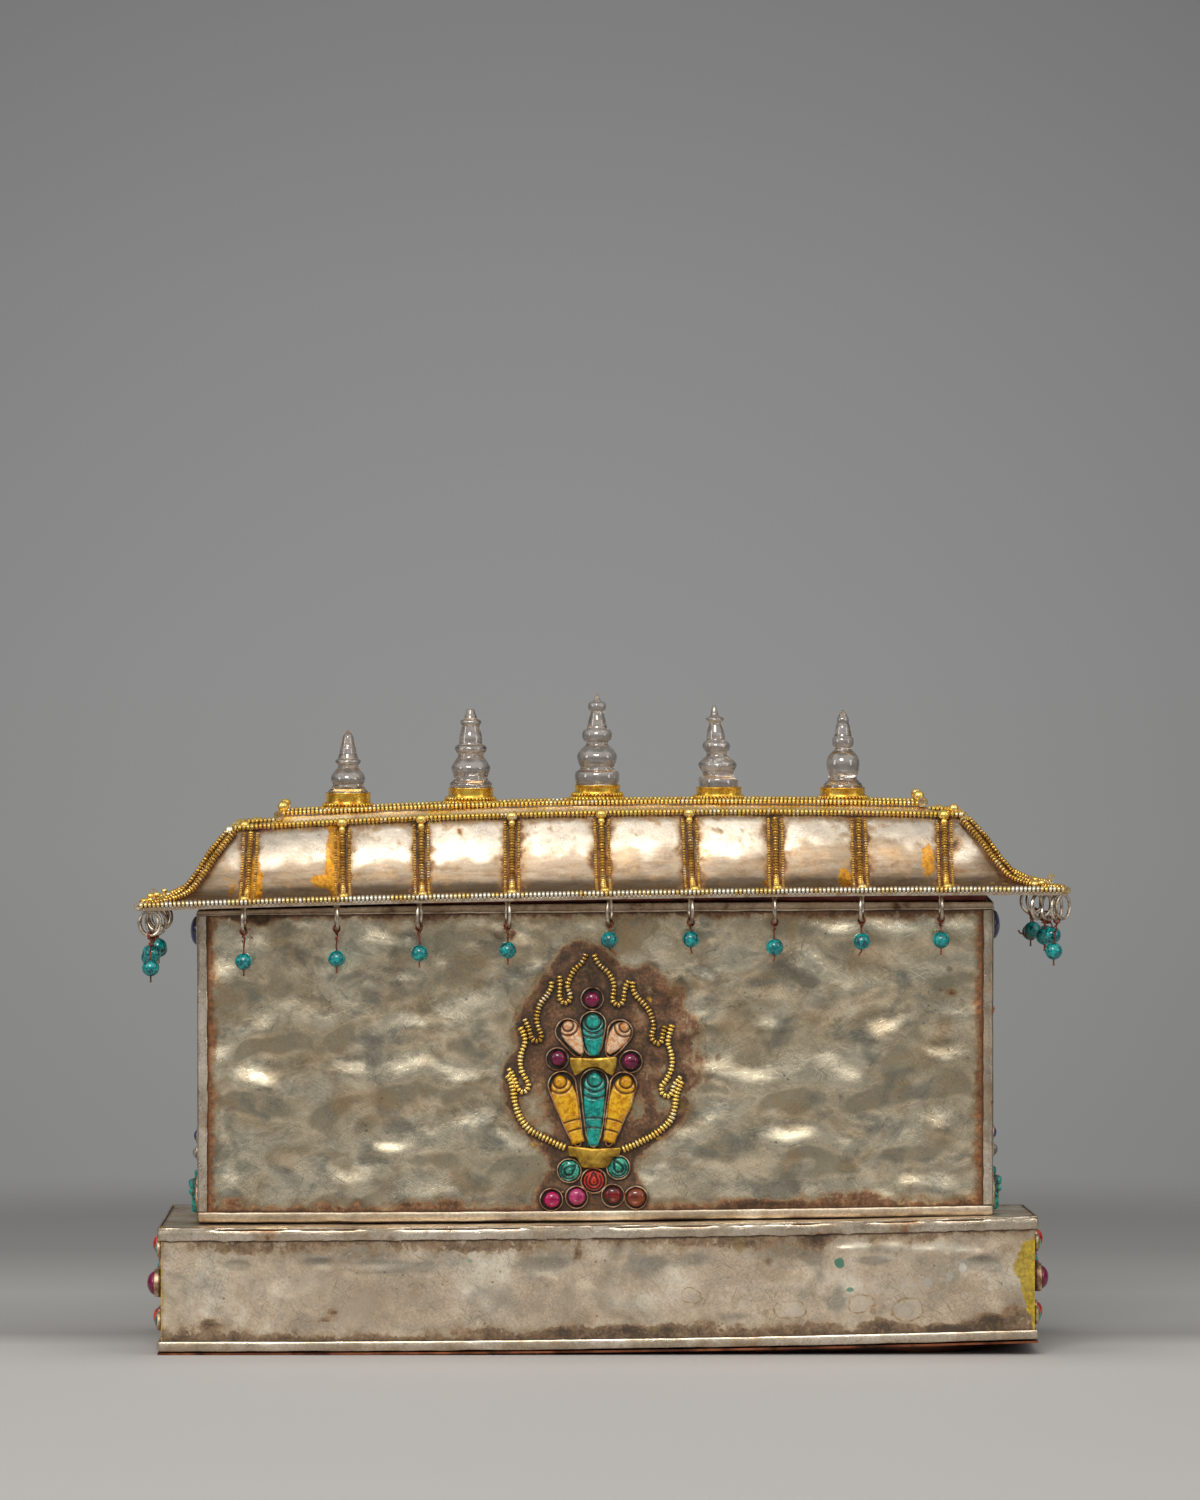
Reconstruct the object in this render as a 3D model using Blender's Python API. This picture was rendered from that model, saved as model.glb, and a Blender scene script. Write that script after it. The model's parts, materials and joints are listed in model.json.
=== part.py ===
"""Portable shrine box: a handmade house-shaped box of sheet silver.

A hollow body box stands on a low plinth box that is closed below by a
copper sheet.  A hipped roof with flaring eaves lifts off; beaded gilt wire
covers its edges and ribs, a low deck on it carries five rock-crystal
finials in gilt cups, and turquoise beads hang from rings under the eaves.
The front panel carries an emblem of set stones inside two chains of gilt
flame wires.

Frame: X to the right along the front, -Y towards the viewer of the front,
Z up.  The origin is on the surface the box stands on, under the middle of
the overall outline.  Sizes below are in millimetres.
"""
import math

import bpy
import bmesh
from mathutils import Vector

MM = 0.001
GAP = 0.3                      # clearance between pieces that touch

# ---- plinth -------------------------------------------------------------
BASE_CX, BASE_W, BASE_D = -1.4, 264.8, 96.0
BASE_TOP = 38.3                # height of the plinth's top sheet
BASE_FOOT = 1.1                # underside of the plinth walls at rest corner
BASE_WALL = 1.0
BASE_STRIP = 0.7               # how far the edge strips stand proud
TOP_STRIP_H, FOOT_STRIP_H = 3.8, 2.9
COPPER_T = 0.6                 # copper bottom sheet
TWIST = 3.7                    # lift of the front right corner

# ---- body box -------------------------------------------------------------
BODY_CX, BODY_W, BODY_D = -2.2, 240.4, 68.0
BODY_FOOT, BODY_FOOT_RISE = 39.4, 2.15
BODY_HEAD, BODY_HEAD_RISE = 133.0, 2.8
HEAD_LINE, HEAD_LINE_RISE = 131.7, 1.9     # lower edge of the top strip
BODY_WALL = 1.0
BODY_STRIP = 0.7
BODY_FOOT_STRIP_H, CORNER_STRIP_W = 2.5, 3.0

# ---- roof -----------------------------------------------------------------
EAVE_HALF_X, EAVE_HALF_Y = 139.4, 52.0        # at the flared corners
EAVE_MID_X, EAVE_MID_Y = 133.0, 45.5          # at the middle of each side
SLOPE_HALF_X, SLOPE_HALF_Y = 109.6, 23.5      # rectangle at the slope's top
SLOPE_CX = -1.5
ROOF_T = 0.95
WIRE_R = 0.75                  # beaded wire along eave, slope top and deck
RIB_W, RIB_T = 4.6, 1.3        # three strands side by side
HIP_W, HIP_T = 5.4, 1.6
# front ribs: station at the slope's top and at the eave
FRONT_RIBS = ((-106.3, -107.6), (-78.8, -77.7), (-54.9, -54.0), (-27.4, -27.2),
              (-0.4, 0.8), (26.2, 27.8), (52.2, 52.6), (77.3, 78.2), (103.3, 103.7))
SIDE_RIBS = (-14.0, 0.0, 14.0)
DECK_HALF_X, DECK_HALF_Y, DECK_SPREAD = 97.4, 12.2, 7.4

# ---- finials: station along the roof, cup wall from / to, tip height ------
FINIALS = (
    (-77.6, 164.3, 167.7, 186.8),
    (-40.2, 166.2, 169.2, 193.2),
    (-1.6, 167.5, 170.1, 197.6),
    (35.5, 166.7, 169.4, 194.4),
    (73.3, 166.6, 169.3, 192.9),
)
CUP_D, CUP_RING_D, CUP_FOOT_D, CUP_BORE_D = 13.7, 16.2, 17.0, 12.4

# Turned outlines: (share of the height above the cup, diameter)
TURNINGS = (
    ((0.0, 12.0), (.10, 9.2), (.22, 10.6), (.40, 6.2), (.46, 7.8), (.53, 7.6),
     (.58, 5.8), (.86, 3.4), (.97, 1.8)),
    ((0.0, 12.8), (.10, 12.6), (.14, 10.2), (.27, 11.8), (.41, 7.6), (.47, 9.8),
     (.54, 9.6), (.58, 7.0), (.72, 5.4), (.80, 6.4), (.85, 6.0), (.98, 2.2)),
    ((0.0, 13.4), (.15, 13.3), (.19, 10.3), (.32, 12.2), (.45, 6.5), (.54, 9.3),
     (.62, 6.2), (.80, 4.0), (.83, 5.5), (.92, 5.0), (.97, 2.2)),
    ((0.0, 12.2), (.11, 12.0), (.16, 9.4), (.29, 11.8), (.39, 6.4), (.45, 8.7),
     (.55, 8.4), (.60, 5.6), (.70, 5.4), (.78, 3.8), (.81, 5.6), (.86, 5.2), (.97, 1.6)),
    ((0.0, 12.2), (.12, 8.6), (.20, 9.6), (.28, 10.3), (.37, 9.4), (.48, 5.4),
     (.52, 6.7), (.63, 6.5), (.66, 5.2), (.84, 3.8), (.88, 3.8), (.97, 2.0)),
)

# ---- emblem on the front panel -------------------------------------------
# Round settings: name, x, z, setting radius, stone radius
ROUNDS = (
    ("ruby_top", -3.3, 106.8, 3.6, 2.4),
    ("ruby_side_left", -13.5, 88.5, 3.6, 2.3),
    ("ruby_side_right", 8.6, 87.8, 3.6, 2.4),
    ("green_stone_left", -10.0, 54.6, 3.6, 2.9),
    ("green_stone_right", 4.7, 55.3, 3.6, 2.9),
    ("red_stone_middle", -2.6, 52.1, 4.2, 3.4),
    ("magenta_stone", -15.5, 46.5, 3.6, 2.6),
    ("pink_stone", -7.8, 46.6, 3.6, 2.6),
    ("garnet_stone", 3.2, 47.0, 3.6, 2.5),
    ("brown_stone", 10.1, 46.8, 3.6, 2.6),
)
# Petals: name, head centre x z, head radius, tail x z, tail half width
PETALS = (
    ("turquoise_petal_upper", -3.0, 98.9, 3.6, -3.0, 90.2, 1.7),
    ("shell_petal_left", -10.7, 96.9, 3.5, -6.2, 90.6, 1.1),
    ("shell_petal_right", 5.4, 96.9, 3.5, 0.9, 90.8, 1.1),
    ("turquoise_petal_lower", -2.6, 81.0, 4.0, -2.6, 62.2, 2.0),
    ("yellow_petal_left", -12.4, 80.3, 3.8, -7.3, 62.8, 1.8),
    ("yellow_petal_right", 6.2, 80.3, 3.8, 2.2, 63.0, 1.8),
)
# Gilt bands: name, top half width, top z, bottom half width, bottom z, x
BANDS = (
    ("gilt_band_upper", 7.0, 89.2, 5.2, 85.6, -2.7),
    ("gilt_band_lower", 7.7, 61.4, 4.0, 55.9, -2.7),
)
SETTING_H, SETTING_WALL, STONE_RISE = 1.5, 0.6, 1.1
# Runs of solder that join neighbouring bezels
SOLDER_W, SOLDER_T = 1.8, 0.36
SOLDERED = (
    ("ruby_top", "turquoise_petal_upper"),
    ("shell_petal_left", "shell_petal_right"),
    ("ruby_side_left", "ruby_side_right"),
    ("turquoise_petal_upper", "red_stone_middle"),
    ("yellow_petal_left", "yellow_petal_right"),
    ("green_stone_left", "green_stone_right"),
    ("green_stone_left", "red_stone_middle"),
    ("magenta_stone", "pink_stone"),
    ("pink_stone", "red_stone_middle"),
    ("garnet_stone", "red_stone_middle"),
    ("garnet_stone", "brown_stone"),
)

# Flame wires on the left, as nodes of smooth S curves (x, z); the right side
# mirrors them about FLAME_AXIS.
FLAME_AXIS = -2.9
FLAMES = (
    ((-4.0, 120.1), (-6.3, 116.7), (-9.2, 113.2), (-9.9, 109.5), (-9.6, 106.3),
     (-11.5, 105.0), (-13.5, 107.0), (-13.6, 113.4)),
    ((-14.6, 111.9), (-16.5, 107.5), (-19.4, 102.6), (-19.2, 97.7), (-18.7, 94.4),
     (-21.2, 94.2), (-22.3, 96.8), (-23.6, 100.2)),
    ((-23.9, 98.6), (-23.6, 93.3), (-24.9, 87.6), (-23.0, 81.6), (-23.4, 78.9),
     (-25.4, 79.6), (-26.8, 83.0), (-28.3, 85.7)),
    ((-28.1, 84.0), (-27.4, 79.5), (-26.5, 73.5), (-23.7, 68.0), (-18.0, 64.3),
     (-12.4, 61.6)),
)
FLAME_R = 0.8

# ---- hanging drops under the front eave -----------------------------------
# Station along the eave, and how far the bead centre hangs below the plate
DROPS = ((-107.6, 15.4), (-79.7, 16.0), (-54.8, 15.8), (-28.1, 15.9), (2.2, 13.0),
         (26.9, 13.2), (51.5, 15.3), (77.7, 13.9), (101.6, 13.8))
RING_R, RING_WIRE_R, BEAD_R, LINK_R = 3.0, 0.45, 2.55, 0.3
CORNER_IN, CORNER_FALL = 6.0, 17.5      # corner drops: place inside the corner, fall

# ---------------------------------------------------------------------------
# handmade heights: how each part rises and bows along its length
# ---------------------------------------------------------------------------
def share(x, centre, width):
    """Position along the length, 0 at the left end and 1 at the right."""
    return min(1.0, max(0.0, (x - centre) / width + 0.5))


def lift(x, y):
    """The plinth is twisted: its front right corner stands off the table."""
    front = min(1.0, max(0.0, 0.5 - y / BASE_D))
    return TWIST * share(x, BASE_CX, BASE_W) ** 2.2 * front


def base_foot(x, y):
    return BASE_FOOT + lift(x, y)


def base_top(x, y):
    return BASE_TOP + lift(x, y)


def body_foot(x, y):
    front = min(1.0, max(0.0, 0.5 - y / BODY_D))
    return BODY_FOOT + BODY_FOOT_RISE * share(x, BODY_CX, BODY_W) ** 2 * front


def body_head(x, y=0.0):
    return BODY_HEAD + BODY_HEAD_RISE * (1 - (1 - share(x, BODY_CX, BODY_W)) ** 2.6)


def eave_wire_z(x):
    return 139.0 + 0.0175 * x - 0.9 * (x / 138.0) ** 2


def slope_wire_z(x):
    return 162.4 + 0.0175 * x - 2.6 * (x / 110.0) ** 2


def deck_wire_z(x):
    return 165.1 + 0.0155 * x - 1.9 * (x / 98.0) ** 2


def plate_top(x):
    return eave_wire_z(x) - WIRE_R - GAP


def slope_top(x):
    return slope_wire_z(x) - WIRE_R - GAP


def deck_top(x):
    return deck_wire_z(x) - WIRE_R - GAP


# The roof's section: share of the way out, share of the height
SECTION = ((0.0, 1.0), (0.20, 0.68), (0.36, 0.36), (0.51, 0.14), (0.73, 0.035),
           (1.0, 0.0))


def roof_point(side, s, out, height):
    """A point on the roof's outer face; side 0 front, 1 right, 2 back, 3 left.
    s runs -1..1 along the side, out 0 at the slope's top to 1 at the eave."""
    half_x = SLOPE_HALF_X + out * (EAVE_HALF_X - SLOPE_HALF_X)
    half_y = SLOPE_HALF_Y + out * (EAVE_HALF_Y - SLOPE_HALF_Y)
    flare = abs(s) ** 4
    if side in (0, 2):
        x = s * half_x
        y = -(SLOPE_HALF_Y + out * (EAVE_MID_Y - SLOPE_HALF_Y
                                    + (EAVE_HALF_Y - EAVE_MID_Y) * flare))
        if side == 2:
            x, y = -x, -y
    else:
        y = s * half_y
        x = SLOPE_HALF_X + out * (EAVE_MID_X - SLOPE_HALF_X
                                  + (EAVE_HALF_X - EAVE_MID_X) * flare)
        if side == 3:
            x, y = -x, -y
    x += SLOPE_CX * (1.0 - out)
    z = plate_top(x) + (slope_top(x) - plate_top(x)) * height
    return Vector((x, y, z))


# ---------------------------------------------------------------------------
# mesh helpers
# ---------------------------------------------------------------------------
def material(name, colour, metallic, roughness, transmission=0.0):
    mat = bpy.data.materials.get(name)
    if mat is None:
        mat = bpy.data.materials.new(name)
        mat.use_nodes = True
        shader = mat.node_tree.nodes["Principled BSDF"]
        shader.inputs["Base Color"].default_value = (*colour, 1.0)
        shader.inputs["Metallic"].default_value = metallic
        shader.inputs["Roughness"].default_value = roughness
        shader.inputs["Transmission Weight"].default_value = transmission
        mat.diffuse_color = (*colour, 1.0)
    return mat


SILVER = ("hammered silver", (0.62, 0.58, 0.50), 1.0, 0.35)
COPPER = ("oxidised copper", (0.42, 0.18, 0.11), 1.0, 0.5)
GILT = ("gilt wire", (0.86, 0.58, 0.14), 1.0, 0.3)
CRYSTAL = ("rock crystal", (0.85, 0.84, 0.84), 0.0, 0.05, 0.9)
RED_BOARD = ("dark red board", (0.16, 0.03, 0.03), 0.0, 0.7)
TURQUOISE = ("turquoise", (0.02, 0.42, 0.38), 0.0, 0.3)
RUBY = ("ruby glass", (0.36, 0.02, 0.11), 0.0, 0.1)
SHELL = ("pink shell", (0.80, 0.52, 0.36), 0.0, 0.35)
AMBER = ("yellow amber", (0.80, 0.50, 0.07), 0.0, 0.3)
GREEN = ("green stone", (0.02, 0.25, 0.17), 0.0, 0.3)
CORAL = ("red coral", (0.60, 0.06, 0.03), 0.0, 0.3)
GARNET = ("garnet", (0.20, 0.02, 0.03), 0.0, 0.12)


def mesh_from(verts, faces, name):
    mesh = bpy.data.meshes.new(name)
    mesh.from_pydata([Vector(v) * MM for v in verts], [], faces)
    mesh.validate()
    bm = bmesh.new()
    bm.from_mesh(mesh)
    bmesh.ops.recalc_face_normals(bm, faces=bm.faces)
    bm.to_mesh(mesh)
    bm.free()
    return mesh


def add(name, mesh, look, smooth=None):
    """Put a mesh in the scene as one named piece with its material."""
    mesh.materials.clear()
    mesh.materials.append(material(*look))
    if smooth is not None:
        mesh.shade_smooth()
        mesh.set_sharp_from_angle(angle=math.radians(smooth))
    obj = bpy.data.objects.new(name, mesh)
    bpy.context.scene.collection.objects.link(obj)
    return obj


def rings_to_faces(count, n, closed=False):
    """Quads between rings of n points stacked one after another."""
    faces = []
    last = count if closed else count - 1
    for k in range(last):
        a, b = k * n, ((k + 1) % count) * n
        for i in range(n):
            j = (i + 1) % n
            faces.append((a + i, a + j, b + j, b + i))
    return faces


def stations(lo, hi, n):
    return [lo + (hi - lo) * i / n for i in range(n + 1)]


def outline(x0, x1, y0, y1, nx, ny):
    """Points round a rectangle, counter-clockwise from the front left."""
    pts = [(x, y0) for x in stations(x0, x1, nx)[:-1]]
    pts += [(x1, y) for y in stations(y0, y1, ny)[:-1]]
    pts += [(x, y1) for x in stations(x1, x0, nx)[:-1]]
    pts += [(x0, y) for y in stations(y1, y0, ny)[:-1]]
    return pts


def grid_cap(x0, x1, y0, y1, nx, ny, height, start, ring, verts, faces):
    """Fill the rectangle whose rim is already in verts from index start."""
    index = {}
    n = len(ring)
    for i in range(n):
        index[(round(ring[i][0], 4), round(ring[i][1], 4))] = start + i
    xs, ys = stations(x0, x1, nx), stations(y0, y1, ny)

    def at(x, y):
        key = (round(x, 4), round(y, 4))
        if key not in index:
            index[key] = len(verts)
            verts.append((x, y, height(x, y)))
        return index[key]

    for i in range(nx):
        for j in range(ny):
            faces.append((at(xs[i], ys[j]), at(xs[i + 1], ys[j]),
                          at(xs[i + 1], ys[j + 1]), at(xs[i], ys[j + 1])))


def sheet_box(name, cx, width, depth, wall, nx, ny, cap, cap_t, rim, look, cap_above):
    """A sheet-metal box open on one side: cap(x, y) is its outer closed face,
    cap_t its thickness, rim(x, y) the open edge."""
    verts, faces = [], []
    x0, x1, y0, y1 = cx - width / 2, cx + width / 2, -depth / 2, depth / 2
    outer = outline(x0, x1, y0, y1, nx, ny)
    inner = outline(x0 + wall, x1 - wall, y0 + wall, y1 - wall, nx, ny)
    n = len(outer)
    inward = -cap_t if cap_above else cap_t

    def inner_cap(x, y):
        return cap(x, y) + inward

    for pts, height in ((outer, cap), (outer, rim), (inner, rim), (inner, inner_cap)):
        verts += [(x, y, height(x, y)) for x, y in pts]
    faces += rings_to_faces(4, n)
    grid_cap(x0, x1, y0, y1, nx, ny, cap, 0, outer, verts, faces)
    grid_cap(x0 + wall, x1 - wall, y0 + wall, y1 - wall, nx, ny, inner_cap,
             3 * n, inner, verts, faces)
    return add(name, mesh_from(verts, faces, name), look)


def strip_ring(name, cx, width, depth, thick, nx, ny, low, high, look):
    """A flat strip bent round a box: low and high are its edge heights."""
    x0, x1, y0, y1 = cx - width / 2, cx + width / 2, -depth / 2, depth / 2
    outer = outline(x0, x1, y0, y1, nx, ny)
    inner = outline(x0 + thick, x1 - thick, y0 + thick, y1 - thick, nx, ny)
    verts = []
    for pts, height in ((outer, low), (outer, high), (inner, high), (inner, low)):
        verts += [(x, y, height(x, y)) for x, y in pts]
    faces = rings_to_faces(4, len(outer), closed=True)
    return add(name, mesh_from(verts, faces, name), look)


def slab(name, x0, x1, y0, y1, nx, ny, low, high, look):
    """A solid plate between two height functions."""
    ring = outline(x0, x1, y0, y1, nx, ny)
    n = len(ring)
    verts = [(x, y, low(x, y)) for x, y in ring] + [(x, y, high(x, y)) for x, y in ring]
    faces = rings_to_faces(2, n)
    grid_cap(x0, x1, y0, y1, nx, ny, low, 0, ring, verts, faces)
    grid_cap(x0, x1, y0, y1, nx, ny, high, n, ring, verts, faces)
    return add(name, mesh_from(verts, faces, name), look)


def turned(profile, sides, centre, top_shift=0.0):
    """A closed turned solid: profile is (radius, z) from bottom to top."""
    verts, faces = [], []
    z0, z1 = profile[0][1], profile[-1][1]
    for r, z in profile:
        lean = top_shift * (z - z0) / max(1e-6, z1 - z0)
        for i in range(sides):
            a = 2 * math.pi * i / sides
            verts.append((centre[0] + lean + r * math.cos(a),
                          centre[1] + r * math.sin(a), z))
    n = len(profile)
    faces += rings_to_faces(n, sides)
    faces.append(tuple(range(sides))[::-1])
    faces.append(tuple((n - 1) * sides + i for i in range(sides)))
    return verts, faces


def swept(points, section, closed=False, up=None):
    """Sweep a section of (across, along-normal) pairs on a path.  `up` gives
    the section's normal at each point; without it the frame is carried on."""
    n, m = len(points), len(section)
    verts = []
    normal = None
    for i, p in enumerate(points):
        a = points[(i - 1) % n] if closed or i else points[i]
        b = points[(i + 1) % n] if closed or i < n - 1 else points[i]
        tangent = (b - a).normalized()
        if up is not None:
            normal = up[i]
        elif normal is None:
            normal = Vector((0, 0, 1)) if abs(tangent.z) < 0.8 else Vector((0, 1, 0))
        normal = (normal - tangent * normal.dot(tangent)).normalized()
        across = tangent.cross(normal)
        for u, v in section:
            verts.append(p + across * u + normal * v)
    faces = rings_to_faces(n, m, closed)
    if not closed:
        faces.append(tuple(range(m))[::-1])
        faces.append(tuple((n - 1) * m + i for i in range(m)))
    return verts, faces


def round_section(radius, sides, turn=0.0):
    return [(radius * math.cos(turn + 2 * math.pi * i / sides),
             radius * math.sin(turn + 2 * math.pi * i / sides)) for i in range(sides)]


def smooth_path(points, per_span):
    """A smooth curve through the given nodes (Catmull-Rom)."""
    out = []
    n = len(points)
    for i in range(n - 1):
        p0 = points[max(0, i - 1)]
        p1, p2 = points[i], points[i + 1]
        p3 = points[min(n - 1, i + 2)]
        for k in range(per_span):
            t = k / per_span
            out.append(0.5 * ((2 * p1) + (p2 - p0) * t
                              + (2 * p0 - 5 * p1 + 4 * p2 - p3) * t * t
                              + (3 * p1 - p0 - 3 * p2 + p3) * t ** 3))
    out.append(points[-1])
    return out


def joined(name, parts):
    """Boolean union of closed (verts, faces) parts into one mesh."""
    scene = bpy.context.scene.collection
    base = bpy.data.objects.new(name + "_tmp", mesh_from(*parts[0], name))
    scene.objects.link(base)
    for i, part in enumerate(parts[1:]):
        tool = bpy.data.objects.new("tmp_tool", mesh_from(*part, "tmp"))
        scene.objects.link(tool)
        base.data = boolean(base, tool, "UNION")
        bpy.data.objects.remove(tool)
    mesh = base.data
    bpy.data.objects.remove(base)
    return mesh


def boolean(base, tool, operation):
    mod = base.modifiers.new("bool", "BOOLEAN")
    mod.operation, mod.solver, mod.object = operation, "EXACT", tool
    graph = bpy.context.evaluated_depsgraph_get()
    graph.update()
    mesh = bpy.data.meshes.new_from_object(base.evaluated_get(graph))
    base.modifiers.remove(mod)
    return mesh


def prism(points, y_back, y_front):
    """Extrude an outline of (x, z) points along Y; front is towards -Y."""
    n = len(points)
    verts = [(x, y_back, z) for x, z in points] + [(x, y_front, z) for x, z in points]
    faces = rings_to_faces(2, n)
    faces.append(tuple(range(n)))
    faces.append(tuple(range(n, 2 * n)))
    return verts, faces


def circle(cx, cz, r, n):
    return [(cx + r * math.cos(2 * math.pi * (i + 0.5) / n),
             cz + r * math.sin(2 * math.pi * (i + 0.5) / n)) for i in range(n)]


def petal(hx, hz, r, tx, tz, w, grow=0.0, arc=4):
    """Outline of a petal: a round head narrowing to a short straight tail."""
    head, tail = Vector((hx, hz)), Vector((tx, tz))
    axis = (head - tail).normalized()
    side = Vector((-axis.y, axis.x))
    r, w = r + grow, w + grow
    pts = []
    for i in range(arc + 1):
        a = math.radians(-100 + 200 * i / arc)
        pts.append(head + axis * r * math.cos(a) - side * r * math.sin(a) * -1)
    pts.append(tail - axis * grow + side * w)
    pts.append(tail - axis * grow - side * w)
    return [(p.x, p.y) for p in pts]


def domed(points, y_back, y_girdle, y_front, inset):
    """A cut stone: upright girdle, then a dome drawn in towards its middle."""
    n = len(points)
    cx = sum(p[0] for p in points) / n
    cz = sum(p[1] for p in points) / n
    verts = []
    for y, k in ((y_back, 1.0), (y_girdle, 1.0), (y_front, 1 - 2 * inset)):
        verts += [(cx + (x - cx) * k, y, cz + (z - cz) * k) for x, z in points]
    faces = rings_to_faces(3, n)
    faces.append(tuple(range(n)))
    faces.append(tuple(range(2 * n, 3 * n)))
    return verts, faces


# ---------------------------------------------------------------------------
# pieces
# ---------------------------------------------------------------------------
def make_plinth():
    x0, x1 = BASE_CX - BASE_W / 2, BASE_CX + BASE_W / 2
    y0 = BASE_D / 2
    flat_x0, flat_x1, flat_y = x0 + 9.0, x1 - 30.0, y0 - 9.0

    def copper_low(x, y):
        inside = flat_x0 - 0.1 <= x <= flat_x1 + 0.1 and abs(y) <= flat_y + 0.1
        return 0.0 if inside else lift(x, y)

    def copper_high(x, y):
        return copper_low(x, y) + COPPER_T

    # copper sheet: its rim follows the twisted plinth, its middle lies flat
    verts, faces = [], []
    xs = [x0] + stations(flat_x0, flat_x1, 8) + [x1]
    ys = [-y0, -flat_y, flat_y, y0]
    nx, ny = len(xs), len(ys)
    for height in (copper_low, copper_high):
        verts += [(x, y, height(x, y)) for y in ys for x in xs]
    level = nx * ny
    for j in range(ny - 1):
        for i in range(nx - 1):
            a = j * nx + i
            faces.append((a, a + 1, a + nx + 1, a + nx))
            faces.append((level + a, level + a + 1, level + a + nx + 1, level + a + nx))
    rim = [i for i in range(nx)] + [j * nx + nx - 1 for j in range(1, ny)]
    rim += [(ny - 1) * nx + i for i in range(nx - 2, -1, -1)]
    rim += [j * nx for j in range(ny - 2, 0, -1)]
    for a, b in zip(rim, rim[1:] + rim[:1]):
        faces.append((a, b, level + b, level + a))
    add("bottom_sheet", mesh_from(verts, faces, "bottom_sheet"), COPPER)

    inset = 2 * (BASE_STRIP + GAP)
    sheet_box("base_box", BASE_CX, BASE_W - inset, BASE_D - inset, BASE_WALL, 8, 2,
              base_top, BASE_WALL, lambda x, y: base_foot(x, y) + 0.1, SILVER, True)
    strip_ring("base_top_strip", BASE_CX, BASE_W, BASE_D, BASE_STRIP, 8, 1,
               lambda x, y: base_top(x, y) - TOP_STRIP_H, base_top, SILVER)
    strip_ring("base_foot_strip", BASE_CX, BASE_W, BASE_D, BASE_STRIP, 8, 1,
               base_foot, lambda x, y: base_foot(x, y) + FOOT_STRIP_H, SILVER)


def make_body():
    inset = 2 * (BODY_STRIP + GAP)
    sheet_box("body_box", BODY_CX, BODY_W - inset, BODY_D - inset, BODY_WALL, 8, 2,
              lambda x, y: base_top(x, y) + GAP + 0.05, BODY_WALL,
              body_head, SILVER, False)

    def foot_high(x, y):
        return body_foot(x, y) + BODY_FOOT_STRIP_H

    def head_low(x, y):
        return HEAD_LINE + HEAD_LINE_RISE * share(x, BODY_CX, BODY_W)

    strip_ring("body_foot_strip", BODY_CX, BODY_W, BODY_D, BODY_STRIP, 6, 1,
               body_foot, foot_high, SILVER)
    strip_ring("body_head_strip", BODY_CX, BODY_W, BODY_D, BODY_STRIP, 8, 1,
               head_low, body_head, SILVER)
    # angle strips up the four corners, butted between the two rings
    w, t = CORNER_STRIP_W, BODY_STRIP
    for sx, sy, tag in ((-1, -1, "front_left"), (1, -1, "front_right"),
                        (1, 1, "back_right"), (-1, 1, "back_left")):
        cx, cy = BODY_CX + sx * BODY_W / 2, sy * BODY_D / 2
        shape = ((0, 0), (w, 0), (w, t), (t, t), (t, w), (0, w))
        pts = [(cx - sx * a, cy - sy * b) for a, b in shape]
        verts = [(x, y, foot_high(x, y) + GAP) for x, y in pts]
        verts += [(x, y, head_low(x, y) - GAP) for x, y in pts]
        faces = rings_to_faces(2, 6)
        for k in (0, 6):
            faces += [(k, k + 1, k + 2, k + 3), (k, k + 3, k + 4, k + 5)]
        add("corner_strip_" + tag, mesh_from(verts, faces, tag), SILVER)


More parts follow.
